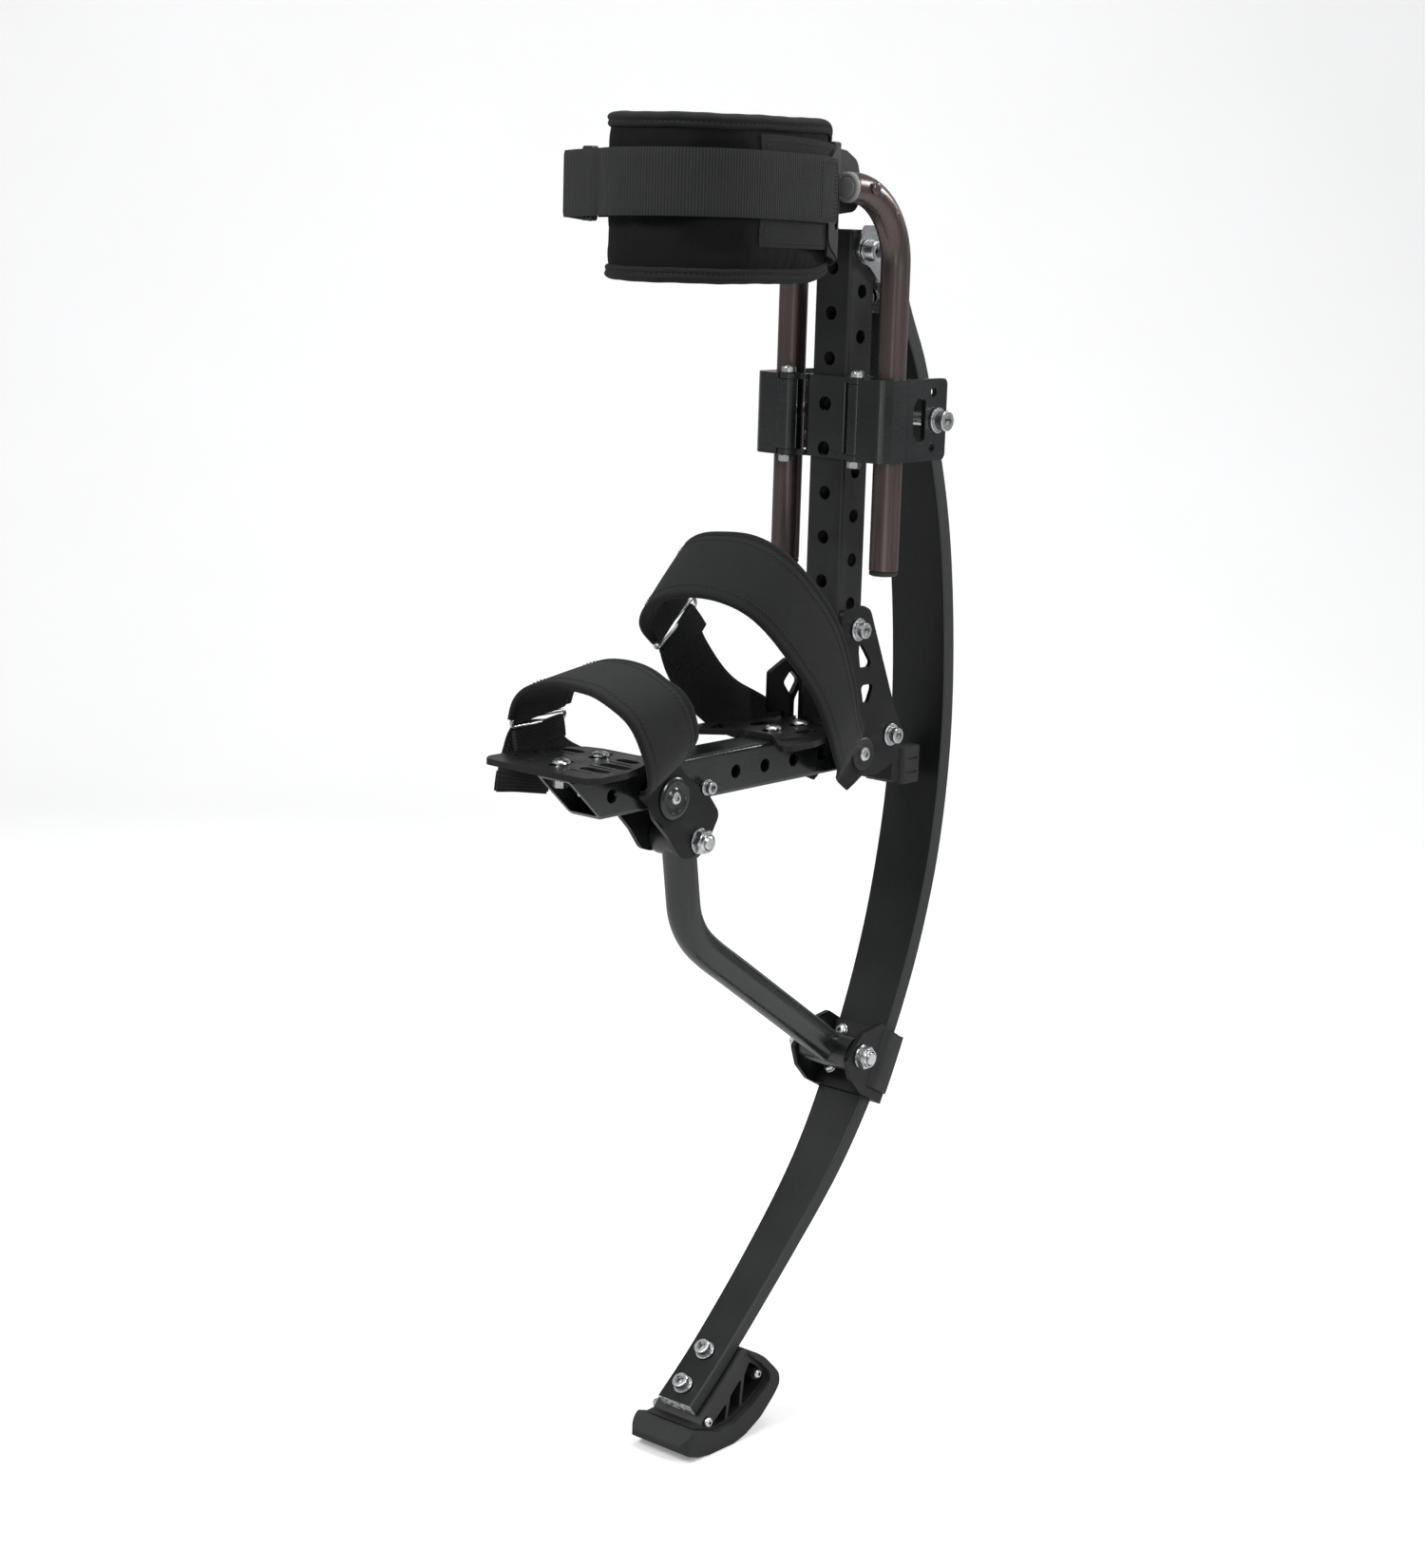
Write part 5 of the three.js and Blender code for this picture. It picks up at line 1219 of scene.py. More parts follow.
# folded bracket: a plate on the leaf and a cheek each side that reaches the upright's pivot
bracket = prism_y([from_leaf_top(-1, 0.4), from_leaf_top(27, 0.4), from_leaf_top(27, 3.4),
                   from_leaf_top(-1, 3.4)], -BRACKET_HALF, BRACKET_HALF)
cheek = fillet([from_leaf_top(-1, 0.4), from_leaf_top(27, 0.4), from_leaf_top(27, 5),
                (-152, 882), (-139, 894), (-130, 896.5), (-124.5, 905), (-127, 913),
                (-134, 924), (-145, 924), (-152, 912)], [0, 0, 4, 8, 8, 5, 6, 10, 4, 6, 10], 6)
cheeks = [prism_y(cheek, *across(side, UPRIGHT_HALF + 0.4, BRACKET_HALF)) for side, _ in SIDES]
bracket = cut(add(bracket, *cheeks), round_y(TOP_PIVOT, 5.6), top_bore())
detail(bracket, "spring_top_bracket", "spring", "zincplate", bevel=0.6, segments=3)
put_bolt("spring_top_bolt", "spring", at(TOP_SEAT[0]), tuple(-n for n in TOP_SEAT[1]), 4,
         TOP_SEAT[2] + 1.5, washer=7.2, nut_grip=TOP_SEAT[2] + 4.6, washer_t=1.2)
put_bolt("top_pivot_bolt", "upright", at(TOP_PIVOT), (0, 1, 0), 5, 20.3, washer=9, washer_t=1.5)

# ------------------------------------------------------------------ lower spring clamp
CLAMP_HALF = 28.6
rear_part = stretch_of(rear_line, 236, 290)
rear_seat, rear_skin = offset_line(rear_part, -0.35), offset_line(rear_part, -4.4)
bracket = prism_y(rear_seat + rear_skin[::-1], -CLAMP_HALF, CLAMP_HALF)
cheek = fillet([rear_skin[0], (-182, 302), (-158, 299), (-138, 281), (-144, 264), (-157, 250),
                rear_skin[-1]], [0, 2.5, 3, 4, 3, 3, 0], 4)
bracket = add(bracket, *[prism_y(cheek, *across(side, 24.7, CLAMP_HALF)) for side, _ in SIDES])
bracket = cut(bracket, round_y(PUSH_ROD_LOW, 5.4), *clamp_bores(-40, 0))
detail(bracket, "spring_clamp_bracket", "spring", "paint", bevel=0.6)

# strip outside each cheek, with a sloping front face and a flat side standing proud
front_part = stretch_of(front_line, 245, 294)
flange_back, flange_edge, flange_front = (offset_line(front_part, distance)
                                          for distance in (-14.6, 1.6, 8.6))
# the flanges take the paler copy of the black paint, painted light on their sloping faces
for side, label in SIDES:
    vertices = []
    for rear, edge, front in zip(flange_back, flange_edge, flange_front):
        for point, y in ((rear, 32.6), (edge, 32.6), (front, 28.7), (rear, 28.3)):
            vertices.append(at(point, side * y))
    finish(solid(vertices, loft_faces(len(flange_back), 4)), "spring_clamp_flange_" + label,
           "spring", "upright", bevel=0.45)

front_part = stretch_of(front_line, 243, 296)
plate = prism_y(offset_line(front_part, 0.35) + offset_line(front_part, 3.9)[::-1], -24.3, 24.3)
detail(cut(plate, *clamp_bores(0, 40)), "spring_clamp_plate", "spring", "paint", bevel=0.6)
for row, (point, normal, depth) in zip(("upper_", "lower_"), CLAMP_SEATS):
    for (_, label), y in zip(SIDES, CLAMP_BOLT_Y):
        put_bolt("spring_clamp_bolt_" + row + label, "spring", at(point, y), normal, 3,
                 depth + 4.5, washer=5.8, washer_t=1.1, head="button", nut_grip=depth + 5.1)
put_bolt("push_rod_lower_bolt", "spring", at(PUSH_ROD_LOW), (0, -1, 0), 5, CLAMP_HALF + GAP,
         washer=9.2, washer_t=1.8, head="hex")

# ------------------------------------------------------------------ hoof
HOOF_HALF = 29
# tread as (x, z): outer line from the front to the top of the rear, then back inside
TREAD_OUTER = [(47, 13), (39, 6), (28, 2.2), (14, 0), (-14, 0), (-28, 3.2), (-46, 12), (-62, 26),
               (-68, 33), (-67.5, 42), (-60.5, 49.5), (-49, 60.5), (-38.5, 67.5)]
TREAD_INNER = [(-36.2, 63.6), (-45.6, 56.6), (-55.2, 47.0), (-56.2, 40), (-50, 33.4),
               (-34, 24.5), (-15, 16.5), (6, 15.5), (33, 25)]
TREAD_RADII = [4, 8, 20, 12, 12, 20, 30, 10, 9, 14, 14, 14, 1.2,
               1.2, 14, 6, 4, 10, 20, 20, 20, 4]
# grooves across the sole: x, z, slope in degrees
TREAD_GROOVES = [(33, 3.6, 20), (22, 1.2, 10), (9, 0.0, 0), (-3, 0.0, 0), (-15, 0.2, -4),
                 (-27, 3.0, -16), (-38, 7.8, -26), (-49, 14.4, -38), (-58, 22.4, -44)]
tread = prism_y(fillet(TREAD_OUTER + TREAD_INNER, TREAD_RADII, 7), -HOOF_HALF, HOOF_HALF)
grooves = []
for x, z, slope in TREAD_GROOVES:
    cosine, sine = cos(radians(slope)), sin(radians(slope))
    grooves.append(prism_y([(x + u * cosine - v * sine, z + u * sine + v * cosine)
                            for u, v in ((-1.6, -3), (1.6, -3), (1.0, 1.7), (-1.0, 1.7))],
                           -23.5, 23.5))
tread = both(tread, prism_z(fillet(rect(-90, 47, -HOOF_HALF, HOOF_HALF), [0, 13, 13, 0], 8),
                            -5, 90))
detail(cut(tread, *grooves), "hoof_tread", "spring", "rubber", bevel=1.1, segments=3,
       bevel_angle=32)

# core between the leaf and the tread as (x, z), with three hollow cells on each side
under_leaf = offset_line(stretch_of(rear_line, 24, 72), -0.4)
core = [(29, 24.4), (20, 24.8)] + under_leaf[::-1] + [
    (-36.0, 63.2), (-45.2, 56.2), (-54.7, 46.8), (-55.7, 40.2), (-49.6, 34.2), (-33.7, 24.9),
    (-14.9, 16.9), (5.9, 15.9)]
CORE_CELLS = [
    [(-52.6, 45.6), (-53.2, 40.6), (-47.6, 35.6), (-29.5, 25.6), (-28.0, 28), (-30.5, 50),
     (-36.0, 59.4), (-44.4, 53.4)],
    [(-27.0, 49.5), (-25.0, 25.0), (-14.5, 20.2), (-11.5, 21.5), (-14.5, 37.5)],
    [(-10.8, 34.0), (-8.4, 19.2), (-3, 18.6), (6.5, 18.6), (8.0, 20.0)]]
tools = [prism_y(fillet(cell, 1.6, 4), *limits)
         for cell in CORE_CELLS for limits in ((3, 40), (-40, -3))]
tools += [rod(4.4, -24, 0, at(point), normal, 28) for point, normal, _ in HOOF_SEATS]
tools.append(round_y((13, 25), 2.7, 40, 24))
core = cut(prism_y(core, -24, 24), *tools)
core = add(core, *[prism_y(circle(-47.0, 46.0, 5.0, 30), *limits)
                   for limits in ((0, 22), (-22, 0))])
detail(core, "hoof_core", "spring", "casting", bevel=0.7, bevel_angle=34)
for label, length, (point, normal, depth) in zip(("upper", "lower"), (18, 11), HOOF_SEATS):
    put_bolt("hoof_bolt_" + label, "spring", at(point), normal, 4, depth + 0.7, washer=7.6,
             washer_t=1.4, nut=False, nut_grip=length)
put_bolt("hoof_cross_bolt_front", "spring", (13, 0, 25), (0, 1, 0), 2.3, 24.3, washer=3.4,
         washer_t=0.8, head="button")
finish(bolt((-47, 0, 46), (0, 1, 0), 2.3, 22.1, washer=3.4, washer_t=0.8, head="button"),
       "hoof_cross_bolt_rear", "spring", "zinc", bevel=0, shade=28)


# ------------------------------------------------------------------ soft goods
def unit(vector):
    return vector / np.linalg.norm(vector)


def slanted(angle):
    """direction in the x-z plane, in degrees up from x"""
    return np.array([cos(radians(angle)), 0, sin(radians(angle))])


def sewn(name, vertices, faces, uvs, seam=None):
    """mesh with a "sew" map in metres from uvs in millimetres; seam is (points in a ring,
    length round) for a closed strip"""
    ob = mesh_object(name, vertices, faces)
    mesh = ob.data
    sew_map = mesh.uv_layers.new(name="sew")
    ring_size, length = seam or (0, 0)
    for polygon in mesh.polygons:
        for loop in polygon.loop_indices:
            vertex = mesh.loops[loop].vertex_index
            u, v = uvs[vertex]
            if polygon.index >= len(faces) - ring_size and vertex < ring_size:
                u += length
            sew_map.data[loop].uv = (u * MM, v * MM)
    with editing(ob) as edit:
        bmesh.ops.recalc_face_normals(edit, faces=edit.faces)
        if edit.calc_volume(signed=True) < 0:
            bmesh.ops.reverse_faces(edit, faces=edit.faces)
    return ob


class BandLine:
    """smooth band line through rows of x, y, z, width, angle of the width in the x-z plane
    and thickness"""

    def __init__(self, rows, step=3.0):
        values, slopes, self.distance = smooth_line(rows, step)
        self.points = values[:, :3]
        self.width = np.maximum(values[:, 3], 4)
        self.thickness = values[:, 5]
        along = slopes[:, :3] / np.linalg.norm(slopes[:, :3], axis=1)[:, None]
        angle = np.radians(values[:, 4])
        wide = np.stack([np.cos(angle), 0 * angle, np.sin(angle)], 1)
        wide = wide - (wide * along).sum(1)[:, None] * along
        self.wide = wide / np.linalg.norm(wide, axis=1)[:, None]
        self.normal = np.cross(along, self.wide)

    def at(self, i, across_part, depth_part):
        """point at fractions of the half width and half thickness"""
        return (self.points[i] + self.wide[i] * across_part * self.width[i] / 2
                + self.normal[i] * (depth_part * self.thickness[i] / 2))


def pad_section(steps=22):
    """crowned section, full in the middle and thin at the bound edges"""
    top = []
    for i in range(steps + 1):
        part = -1 + 2 * i / steps
        top.append((part, 0.52 + 0.48 * (1 - abs(part) ** 3.2) ** 0.8))
    return top + [(part, -height * 0.86) for part, height in top[::-1]]


def flat_section(steps=12):
    top = [(-1 + 2 * i / steps, 1.0 if 0 < i < steps else 0.45) for i in range(steps + 1)]
    return top + [(part, -height) for part, height in top[::-1]]


def band(name, line, section):
    """sweeps a closed section, in half widths and half thicknesses, along a line"""
    vertices, uvs = [], []
    for i in range(len(line.points)):
        for part, height in section:
            vertices.append(line.at(i, part, height))
            uvs.append((line.distance[i],
                        part * line.width[i] / 2 + (20 if height < 0 else 0)))
    return sewn(name, vertices, loft_faces(len(line.points), len(section)), uvs)


BINDING_WIDTH = 6.5


def edge_binding(name, line, side, begin):
    """tape folded over one edge of a padded band, tapered where it begins"""
    sides = 14
    first = int(np.argmax(line.distance >= begin))
    vertices, uvs = [], []
    for i in range(first, len(line.points)):
        taper = min(1.0, 0.12 + (line.distance[i] - line.distance[first]) / 14)
        width = min(BINDING_WIDTH, line.width[i] * 0.42) * taper
        center = line.points[i] + line.wide[i] * side * (
            line.width[i] / 2 - width / 2 + 0.9 * taper - 0.6 * (1 - taper))
        half_height = (line.thickness[i] * 0.62 + 0.9) / 2 * (0.55 + 0.45 * taper)
        for j in range(sides):
            cosine, sine = cos(tau * j / sides), sin(tau * j / sides)
            out = copysign(abs(cosine) ** 0.7, cosine) * width / 2
            up = copysign(abs(sine) ** 0.8, sine) * half_height
            vertices.append(center + line.wide[i] * side * out + line.normal[i] * up)
            uvs.append((line.distance[i], j / sides * 2.4 * BINDING_WIDTH))
    return sewn(name, vertices, loft_faces(len(line.points) - first, sides), uvs)


# one stitch: part of its length, part of the thread radius, lift in thread radii
STITCH = ((0.0, 0.35, -0.5), (0.22, 0.95, 0.15), (0.5, 1.0, 0.4), (0.78, 0.95, 0.15),
          (1.0, 0.35, -0.5))
STITCH_SIDES = 6
STITCH_FACES = loft_faces(len(STITCH), STITCH_SIDES)


def stitches(name, points, normals, body, pitch=3.8, length=2.5, radius=0.42):
    """row of thread stitches lying on a surface, along points with their normals"""
    points, normals = np.array(points, float), np.array(normals, float)
    steps = np.linalg.norm(np.diff(points, axis=0), axis=1)
    distance = np.concatenate([[0], np.cumsum(steps)])

    def sample(values, where):
        return np.array([np.interp(where, distance, values[:, axis]) for axis in range(3)])

    vertices, faces = [], []
    where = pitch / 2
    while where < distance[-1] - length:
        start, end = sample(points, where), sample(points, where + length)
        normal = unit(sample(normals, where))
        sideways = unit(np.cross(unit(end - start), normal))
        base = len(vertices)
        for part, thick, rise in STITCH:
            center = start + (end - start) * part + normal * radius * rise
            for j in range(STITCH_SIDES):
                angle = tau * j / STITCH_SIDES
                vertices.append(center + (sideways * cos(angle) + normal * sin(angle))
                                * radius * thick)
        faces += [[base + i for i in face] for face in STITCH_FACES]
        where += pitch
    ob = mesh_object(name, vertices, faces)
    with editing(ob) as edit:
        bmesh.ops.recalc_face_normals(edit, faces=edit.faces)
    finish(ob, name, body, "thread", bevel=0, shade=60)


def face_stitches(name, line, parts, depth_part, body, first=0):
    """stitches along a band at fractions of its half width, on one face"""
    indices = range(first, len(line.points))
    sign = 1 if depth_part > 0 else -1
    stitches(name, [line.at(i, parts[i], depth_part) for i in indices],
             [line.normal[i] * sign for i in indices], body)


def edge_stitches(prefix, line, part, body):
    """rows beside both edges of a webbing, on both faces"""
    for sign, edge in ((1, "a"), (-1, "b")):
        for depth, face in ((1.0, "o"), (-1.0, "i")):
            face_stitches("%s_stitch_%s_%s" % (prefix, edge, face), line,
                          np.full(len(line.points), sign * part), depth, body)


def padded_strap(name, line, body, bore, begin, keep=None):
    """padded band with bound and stitched edges; keep trims it in the side view"""
    pad = band(name + "_body", line, pad_section())
    if keep:
        pad = both(pad, keep)
    soft(cut(pad, bore), name + "_body", body, "pad", [name])
    first = int(np.argmax(line.distance >= begin + 10))
    for side, label in ((1, "upper"), (-1, "lower")):
        binding = name + "_binding_" + label
        soft(edge_binding(binding, line, side, begin), binding, body, "bind")
        parts = np.clip(1 - (BINDING_WIDTH + 1.6) / (line.width / 2), 0.1, 1) * side
        for depth, face in ((0.96, "outer"), (-0.83, "inner")):
            face_stitches("%s_stitch_%s_%s" % (name, label, face), line, parts, depth, body,
                          first)


def wire_ring(node, first_bar, second_bar, width, angle, body):
    """rectangular wire ring through the centres of its two long bars"""
    radius, sides = 1.4, 14
    first_bar, second_bar = np.array(first_bar, float), np.array(second_bar, float)
    span = unit(second_bar - first_bar)
    wide = slanted(angle)
    wide = unit(wide - span * float(wide @ span))
    center = (first_bar + second_bar) / 2
    half_span = np.linalg.norm(second_bar - first_bar) / 2 - radius
    half_width = width / 2 - radius
    path = [center + wide * u + span * v
            for u, v in rounded_rect(-half_width, half_width, -half_span, half_span, 3.2)]
    normal = np.cross(wide, span)
    vertices = []
    for i in range(len(path)):
        along = unit(path[(i + 1) % len(path)] - path[i - 1])
        other = np.cross(along, normal)
        for j in range(sides):
            angle_ = tau * j / sides
            vertices.append(path[i] + normal * radius * cos(angle_)
                            + other * radius * sin(angle_))
    ring = solid(vertices, loft_faces(len(path), sides, closed=True))
    finish(ring, node + "_wire", body, "zinc", [node], bevel=0, shade=60)


def web_loop(name, center, wide, along, width, body, length, half):
    """webbing turned round a ring bar: a flattened loop across the strap"""
    center, wide = np.array(center, float), unit(wide)
    along = unit(along - wide * float(along @ wide))
    normal = np.cross(wide, along)
    turns = [-pi / 2 + pi * i / 12 for i in range(13)]
    section = [(-half * cos(turn), half * sin(turn)) for turn in turns]
    section += [(length * 0.5, half * 0.96), (length, half * 0.62), (length + 0.4, 0),
                (length, -half * 0.62), (length * 0.5, -half * 0.96)]
    rows = 13
    vertices, uvs = [], []
    for i in range(rows):
        u = -width / 2 + width * i / (rows - 1)
        shrink = 1.0 if 0 < i < rows - 1 else 0.9
        for x, y in section:
            vertices.append(center + wide * u + along * x * (1 if x > 0 else shrink)
                            + normal * y * shrink)
            uvs.append((x, u))
    soft(sewn(name, vertices, loft_faces(rows, len(section)), uvs), name, body, "web", shade=50)


# ------------------------------------------------------------------ heel strap
HEEL_ANGLE = 135
HEEL_Y = ANKLE_PLATE_OUT + GAP + 1.6
# pad from the left ankle over the instep to the right: x, y, z, width, thickness
HEEL_PAD = [
    (-163, HEEL_Y + 0.35, 501.5, 44, 3.0), (-149, HEEL_Y + 0.35, 512, 43, 3.0),
    (-134.3, HEEL_Y + 0.9, 522.7, 42, 3.0), (-125.5, 30, 529, 41, 3.6),
    (-116, 37, 536, 40, 4.2), (-105, 42.5, 545, 40, 5), (-95, 47.5, 555, 40, 5.6),
    (-84, 51.5, 571, 42, 6.2), (-68, 54, 597, 47, 7), (-49, 56, 621, 54, 7.6),
    (-27, 56, 643, 56, 8), (-5, 53.5, 663, 56, 8), (11, 46, 676, 57, 8), (20, 34, 682, 58, 8),
    (26, 16, 683.5, 58, 8), (27, -4, 681, 60, 8), (23, -22, 675, 62, 8),
    (15, -38, 665.5, 64, 7.4), (4, -50.5, 652.5, 63, 6.4), (-6, -55.5, 643, 59, 5.4),
    (-14, -57.2, 635.5, 56, 4.6)]
# part of the side view that the pad keeps, as (x, z), and its corner radii
HEEL_KEEP = [(-129.0, 495.5), (-150, 507.5), (-161.5, 517), (-162.5, 529), (-155, 539),
             (-146, 545), (-146, 800), (300, 800), (300, 400), (-99, 400)]
HEEL_KEEP_RADII = [1.5, 10, 10, 10, 10, 8, 0, 0, 0, 0]
# webbing from the ring down to the right ankle: x, y, z, width
HEEL_WEB = [
    (-24, -59, 621.5, 46), (-31, -58.8, 606, 47), (-44, -57.5, 588, 47), (-60, -56, 572, 45),
    (-78, -53, 559, 43), (-95, -48.5, 551, 41), (-107, -43, 544, 40), (-116.5, -37.5, 536, 40),
    (-125.5, -31, 529, 40), (-134.3, -HEEL_Y - 0.8, 522.7, 40), (-142, -HEEL_Y - 0.4, 515, 38),
    (-139.5, -HEEL_Y - 0.4, 500, 16)]

pad_line = BandLine([(*row[:4], HEEL_ANGLE, row[4]) for row in HEEL_PAD])
padded_strap("heel_strap_pad", pad_line, "heel_strap",
             bore=prism_y(circle(*ANKLE, 5.5), 0, 60), begin=40,
             keep=prism_y(fillet(HEEL_KEEP, HEEL_KEEP_RADII, 6), -90, 90))
web_line = BandLine([(*row, HEEL_ANGLE, 2.8) for row in HEEL_WEB])
web = cut(band("heel_strap_web_body", web_line, flat_section()),
          prism_y(circle(*ANKLE, 5.5), -60, 0))
soft(web, "heel_strap_web_body", "heel_strap", "web", ["heel_strap_web"])
edge_stitches("heel_web", web_line, 0.86, "heel_strap")
wire_ring("heel_strap_ring", (-16.8, -57.7, 632.4), (-22.4, -58.8, 624.0), 57, HEEL_ANGLE,
          "heel_strap")
web_loop("heel_pad_loop", (-16.0, -57.5, 633.3), slanted(HEEL_ANGLE),
         pad_line.points[-6] - pad_line.points[-1], 49, "heel_strap", length=20, half=2.9)
web_loop("heel_web_loop", (-22.6, -58.8, 623.5), slanted(HEEL_ANGLE),
         web_line.points[5] - web_line.points[0], 46, "heel_strap", length=22, half=2.8)
# bars of stitching across both loops
pad_count = len(pad_line.points)
for label, line, indices, rise in (("pad", pad_line, range(pad_count - 8, pad_count - 6), 4.0),
                                   ("web", web_line, range(6, 8), 3.55)):
    for i in indices:
        for sign, face in ((1, "o"), (-1, "i")):
            middle = line.points[i] + line.normal[i] * sign * rise
            reach = line.wide[i] * line.width[i] * 0.36
            stitches("heel_%s_bar_%d_%s" % (label, i, face), [middle - reach, middle + reach],
                     [line.normal[i] * sign] * 2, "heel_strap", pitch=2.6, length=1.9)

# ------------------------------------------------------------------ toe strap
TOE_Y = YOKE_OUT + GAP + 1.6
RING_ANGLE = 172
# pad from the left pivot over the toes to the right: x, y, z, width, angle, thickness
TOE_PAD = [
    (66, TOE_Y, 501, 22, 165, 3), (69, TOE_Y, 513, 38, 162, 3), (74, TOE_Y, 524, 42, 158, 3),
    (82, TOE_Y, 534.5, 43, 154, 3.2), (90.5, 34, 541, 46, 152, 3.4), (99, 46, 549, 50, 152, 3.6),
    (106, 54, 559, 53, 158, 4.0), (115, 59, 573, 54, 165, 5.2), (124, 60, 587, 56, 168, 6.4),
    (131, 55, 599, 56, 168, 7.4), (134, 45, 606, 56, 168, 8), (133, 30, 611, 56, 168, 8),
    (131, 10, 613, 57, 168, 8), (130, -12, 612, 59, 170, 8), (129, -30, 607, 61, 172, 8),
    (128, -43, 600, 62, 174, 7.4), (127, -52, 590, 62, 175, 6.4), (126, -56.5, 579, 62, 175, 5)]
# webbing from the ring to the right pivot: x, y, z, width, angle
TOE_WEB = [
    (125, -58.2, 563, 50, 172), (121, -57.4, 554, 46, 168), (113, -54, 545, 38, 160),
    (102, -46, 538.5, 34, 152), (94, -34, 535, 34, 152), (86, -TOE_Y, 531, 35, 154),
    (75, -TOE_Y, 522.5, 38, 158), (69, -TOE_Y, 513, 36, 162), (66, -TOE_Y, 502, 22, 165)]
# free end hanging from the ring: x, y, z, width, angle
TOE_FREE_END = [
    (126, -59.6, 572, 50, 172), (127.5, -61.4, 562, 51, 172.5), (130, -61.8, 553, 52, 173),
    (134, -61.6, 541, 52, 175), (137.5, -60.6, 530, 52, 176), (139, -59.8, 521, 52, 176)]
# folded and stitched hem at its tip: x, y, z, width, angle, thickness
TOE_HEM = [(136.6, -62.9, 533, 51, 176, 1.8), (138.0, -62.3, 527, 51.5, 176, 1.8),
           (139.3, -61.4, 520.4, 52, 176, 1.8)]

pad_line = BandLine(TOE_PAD)
padded_strap("toe_strap_pad", pad_line, "toe_strap",
             bore=prism_y(circle(*TOE_PIVOT, 4.5), 0, 60), begin=30)
web_line = BandLine([(*row, 2.8) for row in TOE_WEB])
web = cut(band("toe_strap_web_body", web_line, flat_section()),
          prism_y(circle(*TOE_PIVOT, 4.5), -60, 0))
soft(web, "toe_strap_web_body", "toe_strap", "web", ["toe_strap_web"])
free_line = BandLine([(*row, 2.6) for row in TOE_FREE_END])
hem_line = BandLine(TOE_HEM, step=2)
for name, line in (("toe_strap_free_end", free_line), ("toe_strap_free_end_hem", hem_line)):
    soft(band(name, line, flat_section()), name, "toe_strap", "web")
middle = len(hem_line.points) // 2
for sign, face in ((1, "o"), (-1, "i")):
    normal, reach = hem_line.normal[middle] * sign, hem_line.wide[middle] * 23
    center = hem_line.points[middle] + normal
    stitches("toe_hem_stitch_" + face, [center - reach, center + reach], [normal] * 2,
             "toe_strap", pitch=2.8, length=2.0)
edge_stitches("toe_web", web_line, 0.88, "toe_strap")
edge_stitches("toe_free", free_line, 0.88, "toe_strap")
wire_ring("toe_strap_ring", (126, -57.2, 577.4), (126, -58.4, 568.6), 58, RING_ANGLE,
          "toe_strap")
web_loop("toe_pad_loop", (126, -57.2, 577.6), slanted(RING_ANGLE),
         pad_line.points[-6] - pad_line.points[-1], 51, "toe_strap", length=18, half=2.6)
web_loop("toe_web_loop", (126, -58.4, 568.0), slanted(RING_ANGLE),
         web_line.points[4] - web_line.points[0], 50, "toe_strap", length=14, half=2.6)

# ------------------------------------------------------------------ knee cuff
CUFF_X = 15  # centre of the plan
CUFF_LONG, CUFF_WIDE = 90, 62  # half length along x and half width along y
CUFF_BOTTOM, CUFF_TOP, CUFF_WALL = 884, 997, 14
CUFF_INSET = 3.6  # from the plan above to the outside of the padded wall
FRONT_POWER, REAR_POWER = 2.5, 3.4  # fullness of the plan's corners


def cuff_plan(offset, count):
    """points evenly spaced round the plan, anticlockwise from the rear, with their
    distances and the whole length"""
    angle = np.linspace(pi, 3 * pi, 4800)
    cosine, sine = np.cos(angle), np.sin(angle)
    power = np.where(cosine < 0, REAR_POWER, FRONT_POWER)
    x = CUFF_X + (CUFF_LONG + offset) * np.sign(cosine) * np.abs(cosine) ** (2 / power)
    y = (CUFF_WIDE + offset) * np.sign(sine) * np.abs(sine) ** (2 / power)
    distance = np.concatenate([[0], np.cumsum(np.hypot(np.diff(x), np.diff(y)))])
    even = np.linspace(0, distance[-1], count + 1)[:-1]
    points = np.stack([np.interp(even, distance, x), np.interp(even, distance, y)], 1)
    return points, even, distance[-1]


def ease(start, end, x):
    part = np.clip((x - start) / (end - start), 0, 1)
    return part * part * (3 - 2 * part)


def cuff_top(x):
    """upper rim, which dips at the rear"""
    return CUFF_TOP - 20 * ease(-42, -76, x)


def cuff_bottom(x):
    return CUFF_BOTTOM + 9 * ease(-20, -74, x)


PLAN_COUNT = 150
SEAM_EVERY = 15  # plan points between the quilting seams of the lining
HEIGHT_STEPS = 16
wall_mid, wall_distance, wall_length = cuff_plan(-CUFF_INSET - CUFF_WALL / 2, PLAN_COUNT)
tangent = np.roll(wall_mid, -1, 0) - np.roll(wall_mid, 1, 0)
tangent /= np.linalg.norm(tangent, axis=1)[:, None]
wall_out = np.stack([tangent[:, 1], -tangent[:, 0]], 1)
wall_top, wall_bottom = cuff_top(wall_mid[:, 0]), cuff_bottom(wall_mid[:, 0])
# wall section as (1 outside to -1 inside, part of the height), once round
WALL_SECTION = ([(1, i / HEIGHT_STEPS) for i in range(HEIGHT_STEPS + 1)]
                + [(part, 1.0) for part in (0.5, 0.0, -0.5)]
                + [(-1, 1 - i / HEIGHT_STEPS) for i in range(HEIGHT_STEPS + 1)]
                + [(part, 0.0) for part in (-0.5, 0.0, 0.5)])
WALL_RING = len(WALL_SECTION)


